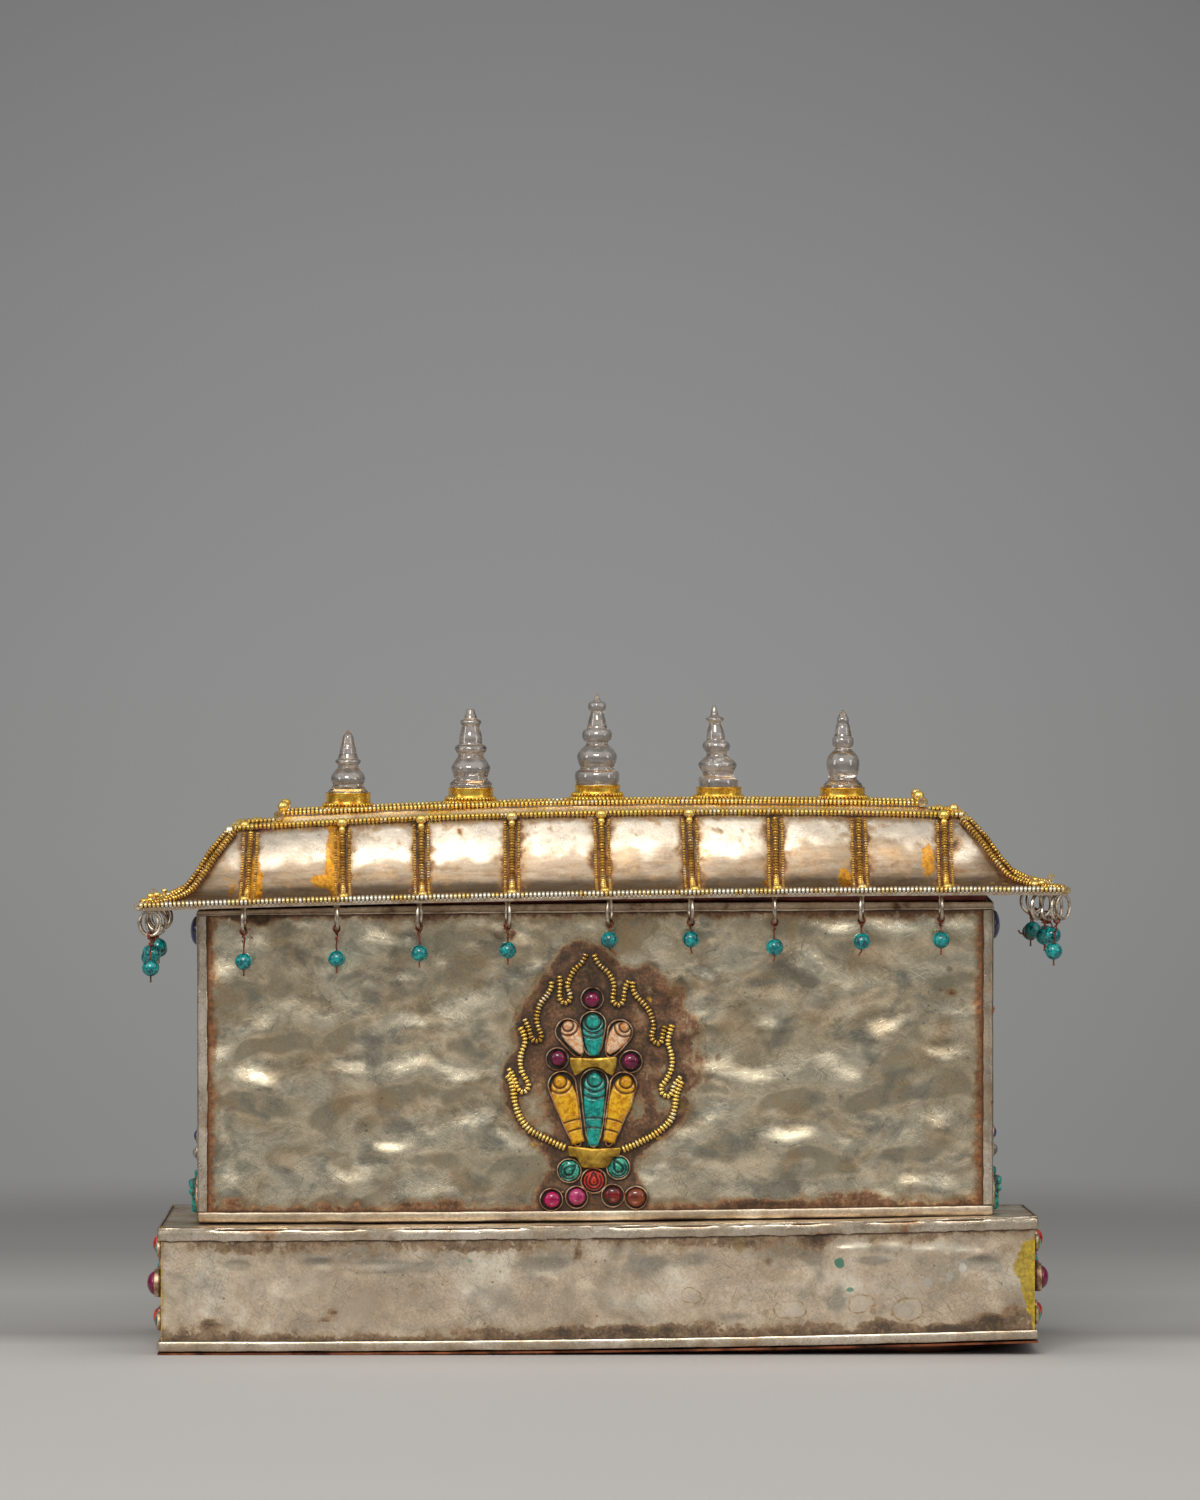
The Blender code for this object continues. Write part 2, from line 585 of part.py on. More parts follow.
def make_roof():
    slab("roof_underboard", BODY_CX - BODY_W / 2 - 4, BODY_CX + BODY_W / 2 + 4,
         -BODY_D / 2 - 4, BODY_D / 2 + 4, 6, 1,
         lambda x, y: body_head(x) + GAP,
         lambda x, y: plate_top(x) - ROOF_T - 0.3, RED_BOARD)

    # sheet shell: rings of the section, then thickened inwards
    n_long, n_short = 10, 4
    verts, faces = [], []
    for out, height in SECTION:
        for side, n in ((0, n_long), (1, n_short), (2, n_long), (3, n_short)):
            for k in range(n):
                verts.append(roof_point(side, -1 + 2 * k / n, out, height))
    ring = 2 * (n_long + n_short)
    faces += rings_to_faces(len(SECTION), ring)
    # flat top: quads from front to back, a fan at each end
    for k in range(n_long):
        front, back = k, (n_long + n_short) + (n_long - k)
        faces.append((front, front + 1, back - 1, back))
    mid_r = [n_long + k for k in range(n_short + 1)]
    mid_l = [(2 * n_long + n_short + k) % ring for k in range(n_short + 1)]
    faces.append(tuple(mid_r))
    faces.append(tuple(mid_l))
    mesh = bpy.data.meshes.new("roof_shell")
    mesh.from_pydata([v * MM for v in verts], [], faces)
    bm = bmesh.new()
    bm.from_mesh(mesh)
    bmesh.ops.recalc_face_normals(bm, faces=bm.faces)
    if sum(f.normal.z for f in bm.faces) < 0:
        bmesh.ops.reverse_faces(bm, faces=bm.faces)
    bm.to_mesh(mesh)
    bm.free()
    shell = add("roof_shell", mesh, SILVER)
    solid = shell.modifiers.new("sheet", "SOLIDIFY")
    solid.thickness = ROOF_T * MM
    solid.offset = -1.0

    # wirework: eave wire, slope-top wire, ribs and hips, soldered together
    up_wire = Vector((0, 0, WIRE_R + GAP))
    parts = []
    for out, height, n_l, n_s, inset in ((0.985, 0.0, 12, 6, 0), (0.02, 1.0, 8, 2, 0)):
        path = []
        for side, n in ((0, n_l), (1, n_s), (2, n_l), (3, n_s)):
            for k in range(n):
                path.append(roof_point(side, -1 + 2 * k / n, out, height) + up_wire)
        flat = [Vector((0, 0, 1))] * len(path)
        parts.append(swept(path, round_section(WIRE_R * 1.15, 4, math.pi / 4),
                           closed=True, up=flat))

    def rib(side, s, width, thick, reach, radius_out, run=None):
        """A flat bundle of strands down the slope.  run gives its stations
        at the top and at the eave; without it the bundle follows s."""
        points, normals = [], []
        steps = [(0.02, 1.0)] + list(SECTION[1:-1]) + [(reach, 0.0)]
        surf = []
        for o, h in steps:
            if run is not None:
                at = run[0] + (run[1] - run[0]) * o
                if side in (0, 2):
                    half = SLOPE_HALF_X + o * (EAVE_HALF_X - SLOPE_HALF_X)
                    s = (at - SLOPE_CX * (1 - o)) / half * (1 if side == 0 else -1)
                else:
                    half = SLOPE_HALF_Y + o * (EAVE_HALF_Y - SLOPE_HALF_Y)
                    s = at / half * (1 if side == 1 else -1)
            surf.append(roof_point(side, s, o, h))
        for i, p in enumerate(surf):
            a, b = surf[max(0, i - 1)], surf[min(len(surf) - 1, i + 1)]
            along = (b - a).normalized()
            if run is None:
                outward = roof_point(side, s, 1, 0) - roof_point(side, s, 0, 1)
                outward.z = 0
                cross = Vector((-outward.y, outward.x, 0)).normalized()
            else:
                cross = Vector((1, 0, 0)) if side in (0, 2) else Vector((0, 1, 0))
            normal = cross.cross(along).normalized()
            if normal.z < 0:
                normal = -normal
            points.append(p + normal * (GAP + thick / 2 + radius_out))
            normals.append(normal)
        points[0] = surf[0] + up_wire
        points[-1] = surf[-1] + Vector((0, 0, GAP + thick / 2 + radius_out))
        half = width / 2
        shape = [(-half, -thick / 2), (half, -thick / 2), (half * 0.5, thick / 2),
                 (-half * 0.5, thick / 2)]
        return swept(points, shape, up=normals)

    for run in FRONT_RIBS:
        parts.append(rib(0, 0, RIB_W, RIB_T, 0.99, 0.25, run))
    for run in FRONT_RIBS[::2]:
        parts.append(rib(2, 0, RIB_W, RIB_T, 0.99, 0.25, run))
    for side in (1, 3):
        for y in SIDE_RIBS:
            parts.append(rib(side, 0, RIB_W, RIB_T, 0.99, 0.25, (y, y * 1.7)))
    for side in (0, 1, 2, 3):
        parts.append(rib(side, 1.0, HIP_W, HIP_T, 0.93, 0.5))
    mesh = joined("roof_wirework", parts)
    add("roof_wirework", mesh, GILT, 40)

    # deck: a shallow sheet tray turned over, on the slope's flat top
    n = 8
    verts, faces = [], []
    for spread, height in ((0.0, deck_top), (DECK_SPREAD, lambda x: slope_top(x) + GAP + 0.55)):
        for x, y in outline(-DECK_HALF_X - spread, DECK_HALF_X + spread,
                            -DECK_HALF_Y - spread, DECK_HALF_Y + spread, n, 1):
            verts.append((x, y, height(x)))
    faces = rings_to_faces(2, 2 * (n + 1))
    for k in range(n):
        faces.append((k, k + 1, 2 * n - k, 2 * n + 1 - k))
    mesh = bpy.data.meshes.new("roof_deck")
    mesh.from_pydata([Vector(v) * MM for v in verts], [], faces)
    bm = bmesh.new()
    bm.from_mesh(mesh)
    bmesh.ops.recalc_face_normals(bm, faces=bm.faces)
    if sum(f.normal.z for f in bm.faces) < 0:
        bmesh.ops.reverse_faces(bm, faces=bm.faces)
    bm.to_mesh(mesh)
    bm.free()
    deck = add("roof_deck", mesh, SILVER)
    solid = deck.modifiers.new("sheet", "SOLIDIFY")
    solid.thickness = 0.7 * MM
    solid.offset = -1.0

    path = [Vector((x, y, deck_wire_z(x)))
            for x, y in outline(-DECK_HALF_X, DECK_HALF_X, -DECK_HALF_Y, DECK_HALF_Y, n, 1)]
    wire = swept(path, round_section(WIRE_R * 1.15, 4, math.pi / 4), closed=True,
                 up=[Vector((0, 0, 1))] * len(path))
    add("deck_wire", mesh_from(*wire, "deck_wire"), GILT, 40)


def make_finials():
    sides = 8
    for i, (x, wall_lo, wall_hi, tip) in enumerate(FINIALS):
        tag = str(i + 1)
        floor = wall_lo + 0.6
        foot = deck_top(x) + GAP + 0.1
        mid = (foot + wall_lo) / 2
        cup = [(CUP_FOOT_D / 2, foot), (CUP_FOOT_D / 2, mid), (CUP_RING_D / 2, mid),
               (CUP_RING_D / 2, wall_lo), (CUP_D / 2, wall_lo), (CUP_D / 2, wall_hi),
               (CUP_BORE_D / 2, wall_hi), (CUP_BORE_D / 2, floor)]
        add("finial_cup_" + tag, mesh_from(*turned(cup, sides, (x, 0.0)), "cup"), GILT, 30)
        seat = floor + GAP
        profile = [(CUP_BORE_D / 2 - GAP, seat), (CUP_BORE_D / 2 - GAP, wall_hi + 0.1)]
        height = tip - wall_hi
        profile += [(d / 2, wall_hi + 0.25 + k * (height - 0.25)) for k, d in TURNINGS[i]]
        profile.append((0.6, tip))
        lean = -1.5 if i == 3 else 0.0
        crystal = turned(profile, sides, (x, 0.0), lean)
        add("crystal_finial_" + tag, mesh_from(*crystal, "crystal"), CRYSTAL, 35)


def make_emblem():
    face = -(BODY_D / 2 - BODY_STRIP - GAP)          # outer face of the panel
    back = face - GAP
    front = back - SETTING_H
    shapes, pockets, stones = [], [], []
    n = 8
    for name, x, z, r_out, r_in in ROUNDS:
        shapes.append(circle(x, z, r_out + 0.2, n))
        pockets.append(circle(x, z, r_out - SETTING_WALL + 0.2, n))
        stones.append((name, circle(x, z, r_out - SETTING_WALL - 0.1, n)))
    for name, hx, hz, r, tx, tz, w in PETALS:
        shapes.append(petal(hx, hz, r, tx, tz, w, 0.55))
        pockets.append(petal(hx, hz, r, tx, tz, w, 0.0))
        stones.append((name, petal(hx, hz, r, tx, tz, w, -0.3)))
    parts = []
    for k, shape in enumerate(shapes):
        parts.append(prism(shape, back - 0.006 * k, front - 0.012 * k))
    for name, half_t, z_t, half_b, z_b, x in BANDS:
        plate = [(x - half_t, z_t), (x - half_b, z_b), (x + half_b, z_b), (x + half_t, z_t)]
        parts.append(prism(plate, back - 0.12, back - 0.5))
        raised = [(x - half_t + 0.3, z_t - 0.3), (x - half_b + 0.3, z_b + 0.3),
                  (x + half_b - 0.3, z_b + 0.3), (x + half_t - 0.3, z_t - 0.3)]
        bar = prism(raised, front - 0.45, front - 1.15)
        add(name, mesh_from(*bar, name), GILT)
    centre = {name: Vector((x, z)) for name, x, z, r_out, r_in in ROUNDS}
    centre.update({name: Vector((hx, hz)) for name, hx, hz, r, tx, tz, w in PETALS})
    for k, (a, b) in enumerate(SOLDERED):
        along = (centre[b] - centre[a]).normalized()
        side = Vector((-along.y, along.x)) * SOLDER_W / 2
        bar = [centre[a] - side, centre[b] - side, centre[b] + side, centre[a] + side]
        parts.append(prism([(p.x, p.y) for p in bar], back - 0.13 - 0.006 * k,
                           back - SOLDER_T + 0.006 * k))
    setting = joined("emblem_setting", parts)
    holder = bpy.data.objects.new("emblem_setting", setting)
    bpy.context.scene.collection.objects.link(holder)
    for pocket in pockets:
        tool = bpy.data.objects.new("tmp_tool", mesh_from(*prism(pocket, back - 0.4, front - 1.0), "t"))
        bpy.context.scene.collection.objects.link(tool)
        holder.data = boolean(holder, tool, "DIFFERENCE")
        bpy.data.objects.remove(tool)
    mesh = holder.data
    bpy.data.objects.remove(holder)
    add("emblem_setting", mesh, SILVER)

    looks = {"ruby": RUBY, "turquoise": TURQUOISE, "shell": SHELL, "yellow": AMBER,
             "green": GREEN, "red": CORAL, "magenta": RUBY, "pink": RUBY,
             "garnet": GARNET, "brown": GARNET}
    for name, shape in stones:
        solid = domed(shape, back - 0.4 - GAP, front, front - STONE_RISE, 0.22)
        add(name, mesh_from(*solid, name), looks[name.split("_")[0]], 50)

    # flame wires: each chain of four S-shaped wires is soldered end to side
    y = back - FLAME_R - 0.05
    for sign, tag in ((1, "left"), (-1, "right")):
        parts = []
        for k, nodes in enumerate(FLAMES):
            pts = [Vector((FLAME_AXIS + sign * (x - FLAME_AXIS), y - 0.03 * k, z))
                   for x, z in nodes]
            path = smooth_path(pts, 2)
            parts.append(swept(path, round_section(FLAME_R * 1.1, 4, math.pi / 4),
                               up=[Vector((0, -1, 0))] * len(path)))
        add("flame_wires_" + tag, joined("flame_wires_" + tag, parts), GILT, 40)


def make_drops():
    """Rings soldered under the eave, each with a wired turquoise bead: nine
    along the front and one under each front corner."""
    spots = [(x, -(EAVE_MID_Y - RING_R - 1.2), fall) for x, fall in DROPS]
    for sx, sy in ((-1, -1), (1, -1)):
        spots.append((sx * (EAVE_HALF_X - CORNER_IN), sy * (EAVE_HALF_Y - CORNER_IN),
                      CORNER_FALL))
    for k, (x, y, fall) in enumerate(spots):
        plate_low = plate_top(x) - ROOF_T
        ring_z = plate_low - GAP - RING_R - RING_WIRE_R - 0.15
        bead_z = plate_low - fall
        ring = [Vector((x, y + RING_R * math.cos(2 * math.pi * i / 8),
                        ring_z + RING_R * math.sin(2 * math.pi * i / 8)))
                for i in range(8)]
        parts = [swept(ring, round_section(RING_WIRE_R * 1.1, 3), closed=True,
                       up=[Vector((1, 0, 0))] * 8)]
        wire = [Vector((x, y, ring_z - RING_R)), Vector((x, y, bead_z - BEAD_R - 1.3))]
        parts.append(swept(wire, round_section(LINK_R * 1.1, 3)))
        bead = [(BEAD_R * math.cos(a) + 0.02, bead_z + BEAD_R * math.sin(a))
                for a in [math.radians(-90 + 180 * i / 5) for i in range(1, 5)]]
        bead = [(0.9, bead_z - BEAD_R)] + bead + [(0.9, bead_z + BEAD_R)]
        parts.append(turned(bead, 6, (x, y)))
        name = "eave_drop_" + str(k + 1)
        add(name, joined(name, parts), TURQUOISE, 50)


def main():
    for obj in list(bpy.data.objects):
        bpy.data.objects.remove(obj)
    make_plinth()
    make_body()
    make_roof()
    make_finials()
    make_emblem()
    make_drops()


main()
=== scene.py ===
"""Looks of the portable shrine box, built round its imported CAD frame.

Sizes are in millimetres in the code and in metres in the meshes.  X runs to
the right along the front, -Y towards the viewer of the front, Z up.
"""
import json
import math

import bmesh
import bpy
import numpy as np
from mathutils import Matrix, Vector

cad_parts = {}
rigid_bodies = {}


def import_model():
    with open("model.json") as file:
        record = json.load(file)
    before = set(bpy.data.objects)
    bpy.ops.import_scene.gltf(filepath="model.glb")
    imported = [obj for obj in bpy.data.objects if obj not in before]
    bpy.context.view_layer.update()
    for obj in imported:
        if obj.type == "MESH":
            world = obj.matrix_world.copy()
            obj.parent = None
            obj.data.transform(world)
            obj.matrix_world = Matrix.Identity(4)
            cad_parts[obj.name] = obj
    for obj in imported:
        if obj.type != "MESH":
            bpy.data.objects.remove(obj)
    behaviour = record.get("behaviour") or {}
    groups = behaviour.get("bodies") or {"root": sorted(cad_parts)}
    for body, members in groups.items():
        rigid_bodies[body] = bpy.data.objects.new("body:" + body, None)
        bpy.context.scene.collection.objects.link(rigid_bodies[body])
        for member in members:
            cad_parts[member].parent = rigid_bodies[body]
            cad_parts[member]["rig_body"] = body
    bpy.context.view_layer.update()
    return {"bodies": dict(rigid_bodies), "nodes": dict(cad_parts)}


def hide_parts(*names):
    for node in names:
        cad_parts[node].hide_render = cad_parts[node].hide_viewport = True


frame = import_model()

MM = 0.001
rng = np.random.default_rng(20)

# ---------------------------------------------------------------------------
# sizes shared with the CAD part
# ---------------------------------------------------------------------------
GAP = 0.3
BASE_CX, BASE_W, BASE_D = -1.4, 264.8, 96.0
BASE_TOP, BASE_FOOT = 38.3, 1.1
BASE_STRIP, TOP_STRIP_H, FOOT_STRIP_H = 0.7, 3.8, 2.9
TWIST = 3.7
BODY_CX, BODY_W, BODY_D = -2.2, 240.4, 68.0
BODY_FOOT, BODY_FOOT_RISE = 39.4, 2.15
BODY_HEAD, BODY_HEAD_RISE = 133.0, 2.8
HEAD_LINE, HEAD_LINE_RISE = 131.7, 1.9
BODY_STRIP = 0.7
BODY_FOOT_STRIP_H, CORNER_STRIP_W = 2.5, 3.0
EAVE_HALF_X, EAVE_HALF_Y = 139.4, 52.0
EAVE_MID_X, EAVE_MID_Y = 133.0, 45.5
SLOPE_HALF_X, SLOPE_HALF_Y, SLOPE_CX = 109.6, 23.5, -1.5
ROOF_T = 0.95
FRONT_RIBS = ((-106.3, -107.6), (-78.8, -77.7), (-54.9, -54.0), (-27.4, -27.2),
              (-0.4, 0.8), (26.2, 27.8), (52.2, 52.6), (77.3, 78.2), (103.3, 103.7))
SIDE_RIBS = (-14.0, 0.0, 14.0)
DECK_HALF_X, DECK_HALF_Y = 97.4, 12.2
FINIALS = ((-77.6, 164.3, 167.7, 186.8), (-40.2, 166.2, 169.2, 193.2),
           (-1.6, 167.5, 170.1, 197.6), (35.5, 166.7, 169.4, 194.4),
           (73.3, 166.6, 169.3, 192.9))
DROPS = ((-108.0, 16.4), (-80.0, 16.3), (-55.1, 15.2), (-28.5, 14.9), (2.1, 12.4),
         (26.6, 12.6), (51.8, 15.3), (78.0, 13.9), (101.9, 13.7))
RING_R, BEAD_R = 3.0, 2.55
FACE = -(BODY_D / 2 - BODY_STRIP - GAP)      # front panel's outer face


# ---------------------------------------------------------------------------
# numbers
# ---------------------------------------------------------------------------
def smooth(a, b, x):
    t = np.clip((np.asarray(x, float) - a) / (b - a), 0.0, 1.0)
    return t * t * (3 - 2 * t)


def monotone(xs, ys):
    """A smooth curve through points that never overshoots."""
    xs, ys = np.array(xs, float), np.array(ys, float)
    h = np.diff(xs)
    d = np.diff(ys) / h
    m = np.zeros(len(xs))
    m[0], m[-1] = d[0], d[-1]
    for i in range(1, len(xs) - 1):
        if d[i - 1] * d[i] > 0:
            w1, w2 = 2 * h[i] + h[i - 1], h[i] + 2 * h[i - 1]
            m[i] = (w1 + w2) / (w1 / d[i - 1] + w2 / d[i])

    def curve(x):
        x = np.clip(np.asarray(x, float), xs[0], xs[-1])
        k = np.clip(np.searchsorted(xs, x, side="right") - 1, 0, len(xs) - 2)
        t = (x - xs[k]) / h[k]
        return ((1 + 2 * t) * (1 - t) ** 2 * ys[k] + t * (1 - t) ** 2 * h[k] * m[k]
                + t * t * (3 - 2 * t) * ys[k + 1] + t * t * (t - 1) * h[k] * m[k + 1])

    return curve


GRADIENTS = np.array([(1, 1, 0), (-1, 1, 0), (1, -1, 0), (-1, -1, 0), (1, 0, 1), (-1, 0, 1),
                      (1, 0, -1), (-1, 0, -1), (0, 1, 1), (0, -1, 1), (0, 1, -1), (0, -1, -1)],
                     float)


def perlin(p, seed):
    """Gradient noise, about -0.7 to 0.7, at points p (..., 3)."""
    p = np.asarray(p, float)
    cell = np.floor(p).astype(np.int64)
    f = p - cell
    u = f * f * f * (f * (f * 6 - 15) + 10)
    total = np.zeros(p.shape[:-1])
    for dx in (0, 1):
        for dy in (0, 1):
            for dz in (0, 1):
                h = ((cell[..., 0] + dx) * 73856093 ^ (cell[..., 1] + dy) * 19349663
                     ^ (cell[..., 2] + dz) * 83492791 ^ seed * 2654435761) & 0xFFFFFFFF
                h = ((h ^ (h >> 15)) * 0x2C1B3C6D) & 0xFFFFFFFF
                h = ((h ^ (h >> 12)) * 0x297A2D39) & 0xFFFFFFFF
                h ^= h >> 15
                g = GRADIENTS[h % 12]
                d = f - np.array([dx, dy, dz], float)
                w = ((u[..., 0] if dx else 1 - u[..., 0]) * (u[..., 1] if dy else 1 - u[..., 1])
                     * (u[..., 2] if dz else 1 - u[..., 2]))
                total += w * (g * d).sum(-1)
    return total


def cloud(p, size, seed, octaves=3, fade=0.5):
    """Layered noise with features of about `size` mm, about -0.7 to 0.7."""
    p = np.asarray(p, float)
    total, amp, norm = 0.0, 1.0, 0.0
    for k in range(octaves):
        total = total + amp * perlin(p * 2 ** k / size + 7.3 * k, seed + 31 * k)
        norm += amp
        amp *= fade
    return total / norm


# ---------------------------------------------------------------------------
# handmade heights, as in the CAD part
# ---------------------------------------------------------------------------
def share(x, centre, width):
    return np.clip((x - centre) / width + 0.5, 0.0, 1.0)


def lift(x, y):
    return TWIST * share(x, BASE_CX, BASE_W) ** 2.2 * np.clip(0.5 - y / BASE_D, 0, 1)


def base_foot(x, y):
    return BASE_FOOT + lift(x, y)


def base_top(x, y):
    return BASE_TOP + lift(x, y)


def body_foot(x, y):
    return BODY_FOOT + (BODY_FOOT_RISE * share(x, BODY_CX, BODY_W) ** 2
                        * np.clip(0.5 - y / BODY_D, 0, 1))


def body_head(x, y=0.0):
    return BODY_HEAD + BODY_HEAD_RISE * (1 - (1 - share(x, BODY_CX, BODY_W)) ** 2.6)


def head_line(x):
    return HEAD_LINE + HEAD_LINE_RISE * share(x, BODY_CX, BODY_W)


def eave_wire_z(x):
    return 139.0 + 0.0175 * x - 0.9 * (x / 138.0) ** 2


def slope_wire_z(x):
    return 162.4 + 0.0175 * x - 2.6 * (x / 110.0) ** 2


def deck_wire_z(x):
    return 165.1 + 0.0155 * x - 1.9 * (x / 98.0) ** 2


def plate_top(x):
    return eave_wire_z(x) - 1.05


def slope_top(x):
    return slope_wire_z(x) - 1.05


def deck_top(x):
    return deck_wire_z(x) - 1.05


SECTION = monotone((0.0, 0.20, 0.36, 0.51, 0.73, 1.0), (1.0, 0.68, 0.36, 0.14, 0.035, 0.0))


def roof_point(side, s, out, height=None):
    """Points on the roof's outer face; side 0 front, 1 right, 2 back, 3 left."""
    s, out = np.broadcast_arrays(np.asarray(s, float), np.asarray(out, float))
    height = SECTION(out) if height is None else height
    half_x = SLOPE_HALF_X + out * (EAVE_HALF_X - SLOPE_HALF_X)
    half_y = SLOPE_HALF_Y + out * (EAVE_HALF_Y - SLOPE_HALF_Y)
    flare = np.abs(s) ** 4
    if side in (0, 2):
        x = s * half_x
        y = -(SLOPE_HALF_Y + out * (EAVE_MID_Y - SLOPE_HALF_Y
                                    + (EAVE_HALF_Y - EAVE_MID_Y) * flare))
        if side == 2:
            x, y = -x, -y
    else:
        y = s * half_y
        x = SLOPE_HALF_X + out * (EAVE_MID_X - SLOPE_HALF_X
                                  + (EAVE_HALF_X - EAVE_MID_X) * flare)
        if side == 3:
            x, y = -x, -y
    x = x + SLOPE_CX * (1.0 - out)
    z = plate_top(x) + (slope_top(x) - plate_top(x)) * height
    z = z - 2.5 * smooth(0.35, 1.0, out) * smooth(55, 132, np.abs(x)) * smooth(0, 48, y)
    return np.stack(np.broadcast_arrays(x, y, z), -1)


# ---------------------------------------------------------------------------
# meshes
# ---------------------------------------------------------------------------
class Part:
    """Gathers the vertices, faces, finishes and vertex values of one piece."""

    def __init__(self):
        self.verts, self.faces, self.mats, self.values, self.count = [], [], [], [], 0

    def add(self, shape, mat=0, **values):
        verts, faces = shape
        verts = np.asarray(verts, float).reshape(-1, 3)
        for block in faces if isinstance(faces, list) else [faces]:
            block = np.asarray(block, int)
            if block.ndim == 1:
                block = block[None]
            self.faces += (block + self.count).tolist()
            self.mats += [mat] * len(block)
        self.verts.append(verts)
        self.values.append((len(verts), values))
        self.count += len(verts)
        return self

    def build(self, name, finishes, slot=None, replaces=(), sharp=42, flat=False):
        mesh = bpy.data.meshes.new(name)
        mesh.from_pydata((np.concatenate(self.verts) * MM).tolist(), [], self.faces)
        names = sorted({k for _, v in self.values for k in v})
        for key in names:
            data = np.concatenate([np.broadcast_to(np.asarray(v.get(key, 0.0), float), n)
                                   for n, v in self.values])
            attribute = mesh.attributes.new(key, "FLOAT", "POINT")
            attribute.data.foreach_set("value", data.astype(np.float32))
        for finish in finishes:
            mesh.materials.append(finish)
        mesh.polygons.foreach_set("material_index", self.mats)
        bm = bmesh.new()
        bm.from_mesh(mesh)
        bmesh.ops.recalc_face_normals(bm, faces=bm.faces)
        bm.to_mesh(mesh)
        bm.free()
        if not flat:
            mesh.shade_smooth()
            mesh.set_sharp_from_angle(angle=math.radians(sharp))
        obj = bpy.data.objects.new(name, mesh)
        bpy.context.scene.collection.objects.link(obj)
        if replaces:
            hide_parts(*replaces)
        obj["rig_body"] = "root"
        obj.parent = frame["bodies"]["root"]
        return obj


def loft(rings, around=True, along=False):
    """Quads over rings (R, N, 3); around closes each ring, along joins the
    last ring to the first."""
    rings = np.asarray(rings, float)
    r, n = rings.shape[:2]
    index = np.arange(r * n).reshape(r, n)
    i = np.arange(r if along else r - 1)[:, None]
    j = np.arange(n if around else n - 1)[None, :]
    quads = np.stack([index[i, j], index[i, (j + 1) % n],
                      index[(i + 1) % r, (j + 1) % n], index[(i + 1) % r, j]], -1)
    return rings.reshape(-1, 3), quads.reshape(-1, 4)


def capped(rings, first=True, last=True):
    verts, quads = loft(rings)
    n = np.asarray(rings).shape[1]
    faces = [quads]
    if first:
        faces.append(np.arange(n)[::-1])
    if last:
        faces.append(np.arange(len(verts) - n, len(verts)))
    return verts, faces


def turned(profile, sides=32, centre=(0, 0, 0), axis="z"):
    """A turned solid from (radius, height) pairs, closed at both ends."""
    a = np.arange(sides) * 2 * math.pi / sides
    prof = np.asarray(profile, float)
    r, h = prof[:, 0][:, None], prof[:, 1][:, None]
    u, v = r * np.cos(a), r * np.sin(a)
    w = np.broadcast_to(h, u.shape)
    rings = {"z": (u, v, w), "y": (u, w, v), "x": (w, u, v)}[axis]
    return capped(np.stack(rings, -1) + np.asarray(centre, float))


def lengths(path, closed=False):
    p = np.vstack([path, path[:1]]) if closed else np.asarray(path)
    step = np.linalg.norm(np.diff(p, axis=0), axis=1)
    return p, np.concatenate([[0.0], np.cumsum(step)])


def even(path, n, closed=False):
    """n points at even steps along a path."""
    p, s = lengths(path, closed)
    u = np.linspace(0, s[-1], n + 1)[:-1] if closed else np.linspace(0, s[-1], n)
    return np.stack([np.interp(u, s, p[:, k]) for k in range(p.shape[1])], 1)


def rounded(points, per=6, closed=False):
    """A smooth curve through the given nodes."""
    p = np.asarray(points, float)
    n = len(p)
    out = []
    for i in range(n if closed else n - 1):
        get = (lambda k: p[k % n]) if closed else (lambda k: p[min(max(k, 0), n - 1)])
        a, b, c, d = get(i - 1), get(i), get(i + 1), get(i + 2)
        for k in range(per):
            t = k / per
            out.append(0.5 * (2 * b + (c - a) * t + (2 * a - 5 * b + 4 * c - d) * t * t
                              + (3 * b - a - 3 * c + d) * t ** 3))
    if not closed:
        out.append(p[-1])
    return np.array(out)


def soften(points, times=2, closed=False):
    """Corner cutting: turns a polyline into a rounded one."""
    p = np.asarray(points, float)
    for _ in range(times):
        q = np.roll(p, -1, axis=0) if closed else p[1:]
        b = p if closed else p[:-1]
        cut = np.stack([0.75 * b + 0.25 * q, 0.25 * b + 0.75 * q], 1).reshape(-1, p.shape[1])
        p = cut if closed else np.vstack([p[:1], cut, p[-1:]])
    return p


def frames(path, ref, closed=False):
    """Two directions square to a path, the second as near ref as it goes."""
    t = (np.roll(path, -1, axis=0) - np.roll(path, 1, axis=0)) if closed \
        else np.gradient(path, axis=0)
    t /= np.linalg.norm(t, axis=1)[:, None]
    ref = np.broadcast_to(np.asarray(ref, float), path.shape)
    up = ref - t * (ref * t).sum(1)[:, None]
    up /= np.linalg.norm(up, axis=1)[:, None]
    return np.cross(t, up), up


def tube(path, radius, sides=10, ref=(0, 0, 1), closed=False):
    path = np.asarray(path, float)
    across, up = frames(path, ref, closed)
    a = np.arange(sides) * 2 * math.pi / sides
    radius = np.broadcast_to(np.asarray(radius, float), len(path))[:, None, None]
    rings = path[:, None] + radius * (across[:, None] * np.cos(a)[:, None]
                                      + up[:, None] * np.sin(a)[:, None])
    return loft(rings, along=True) if closed else capped(rings)


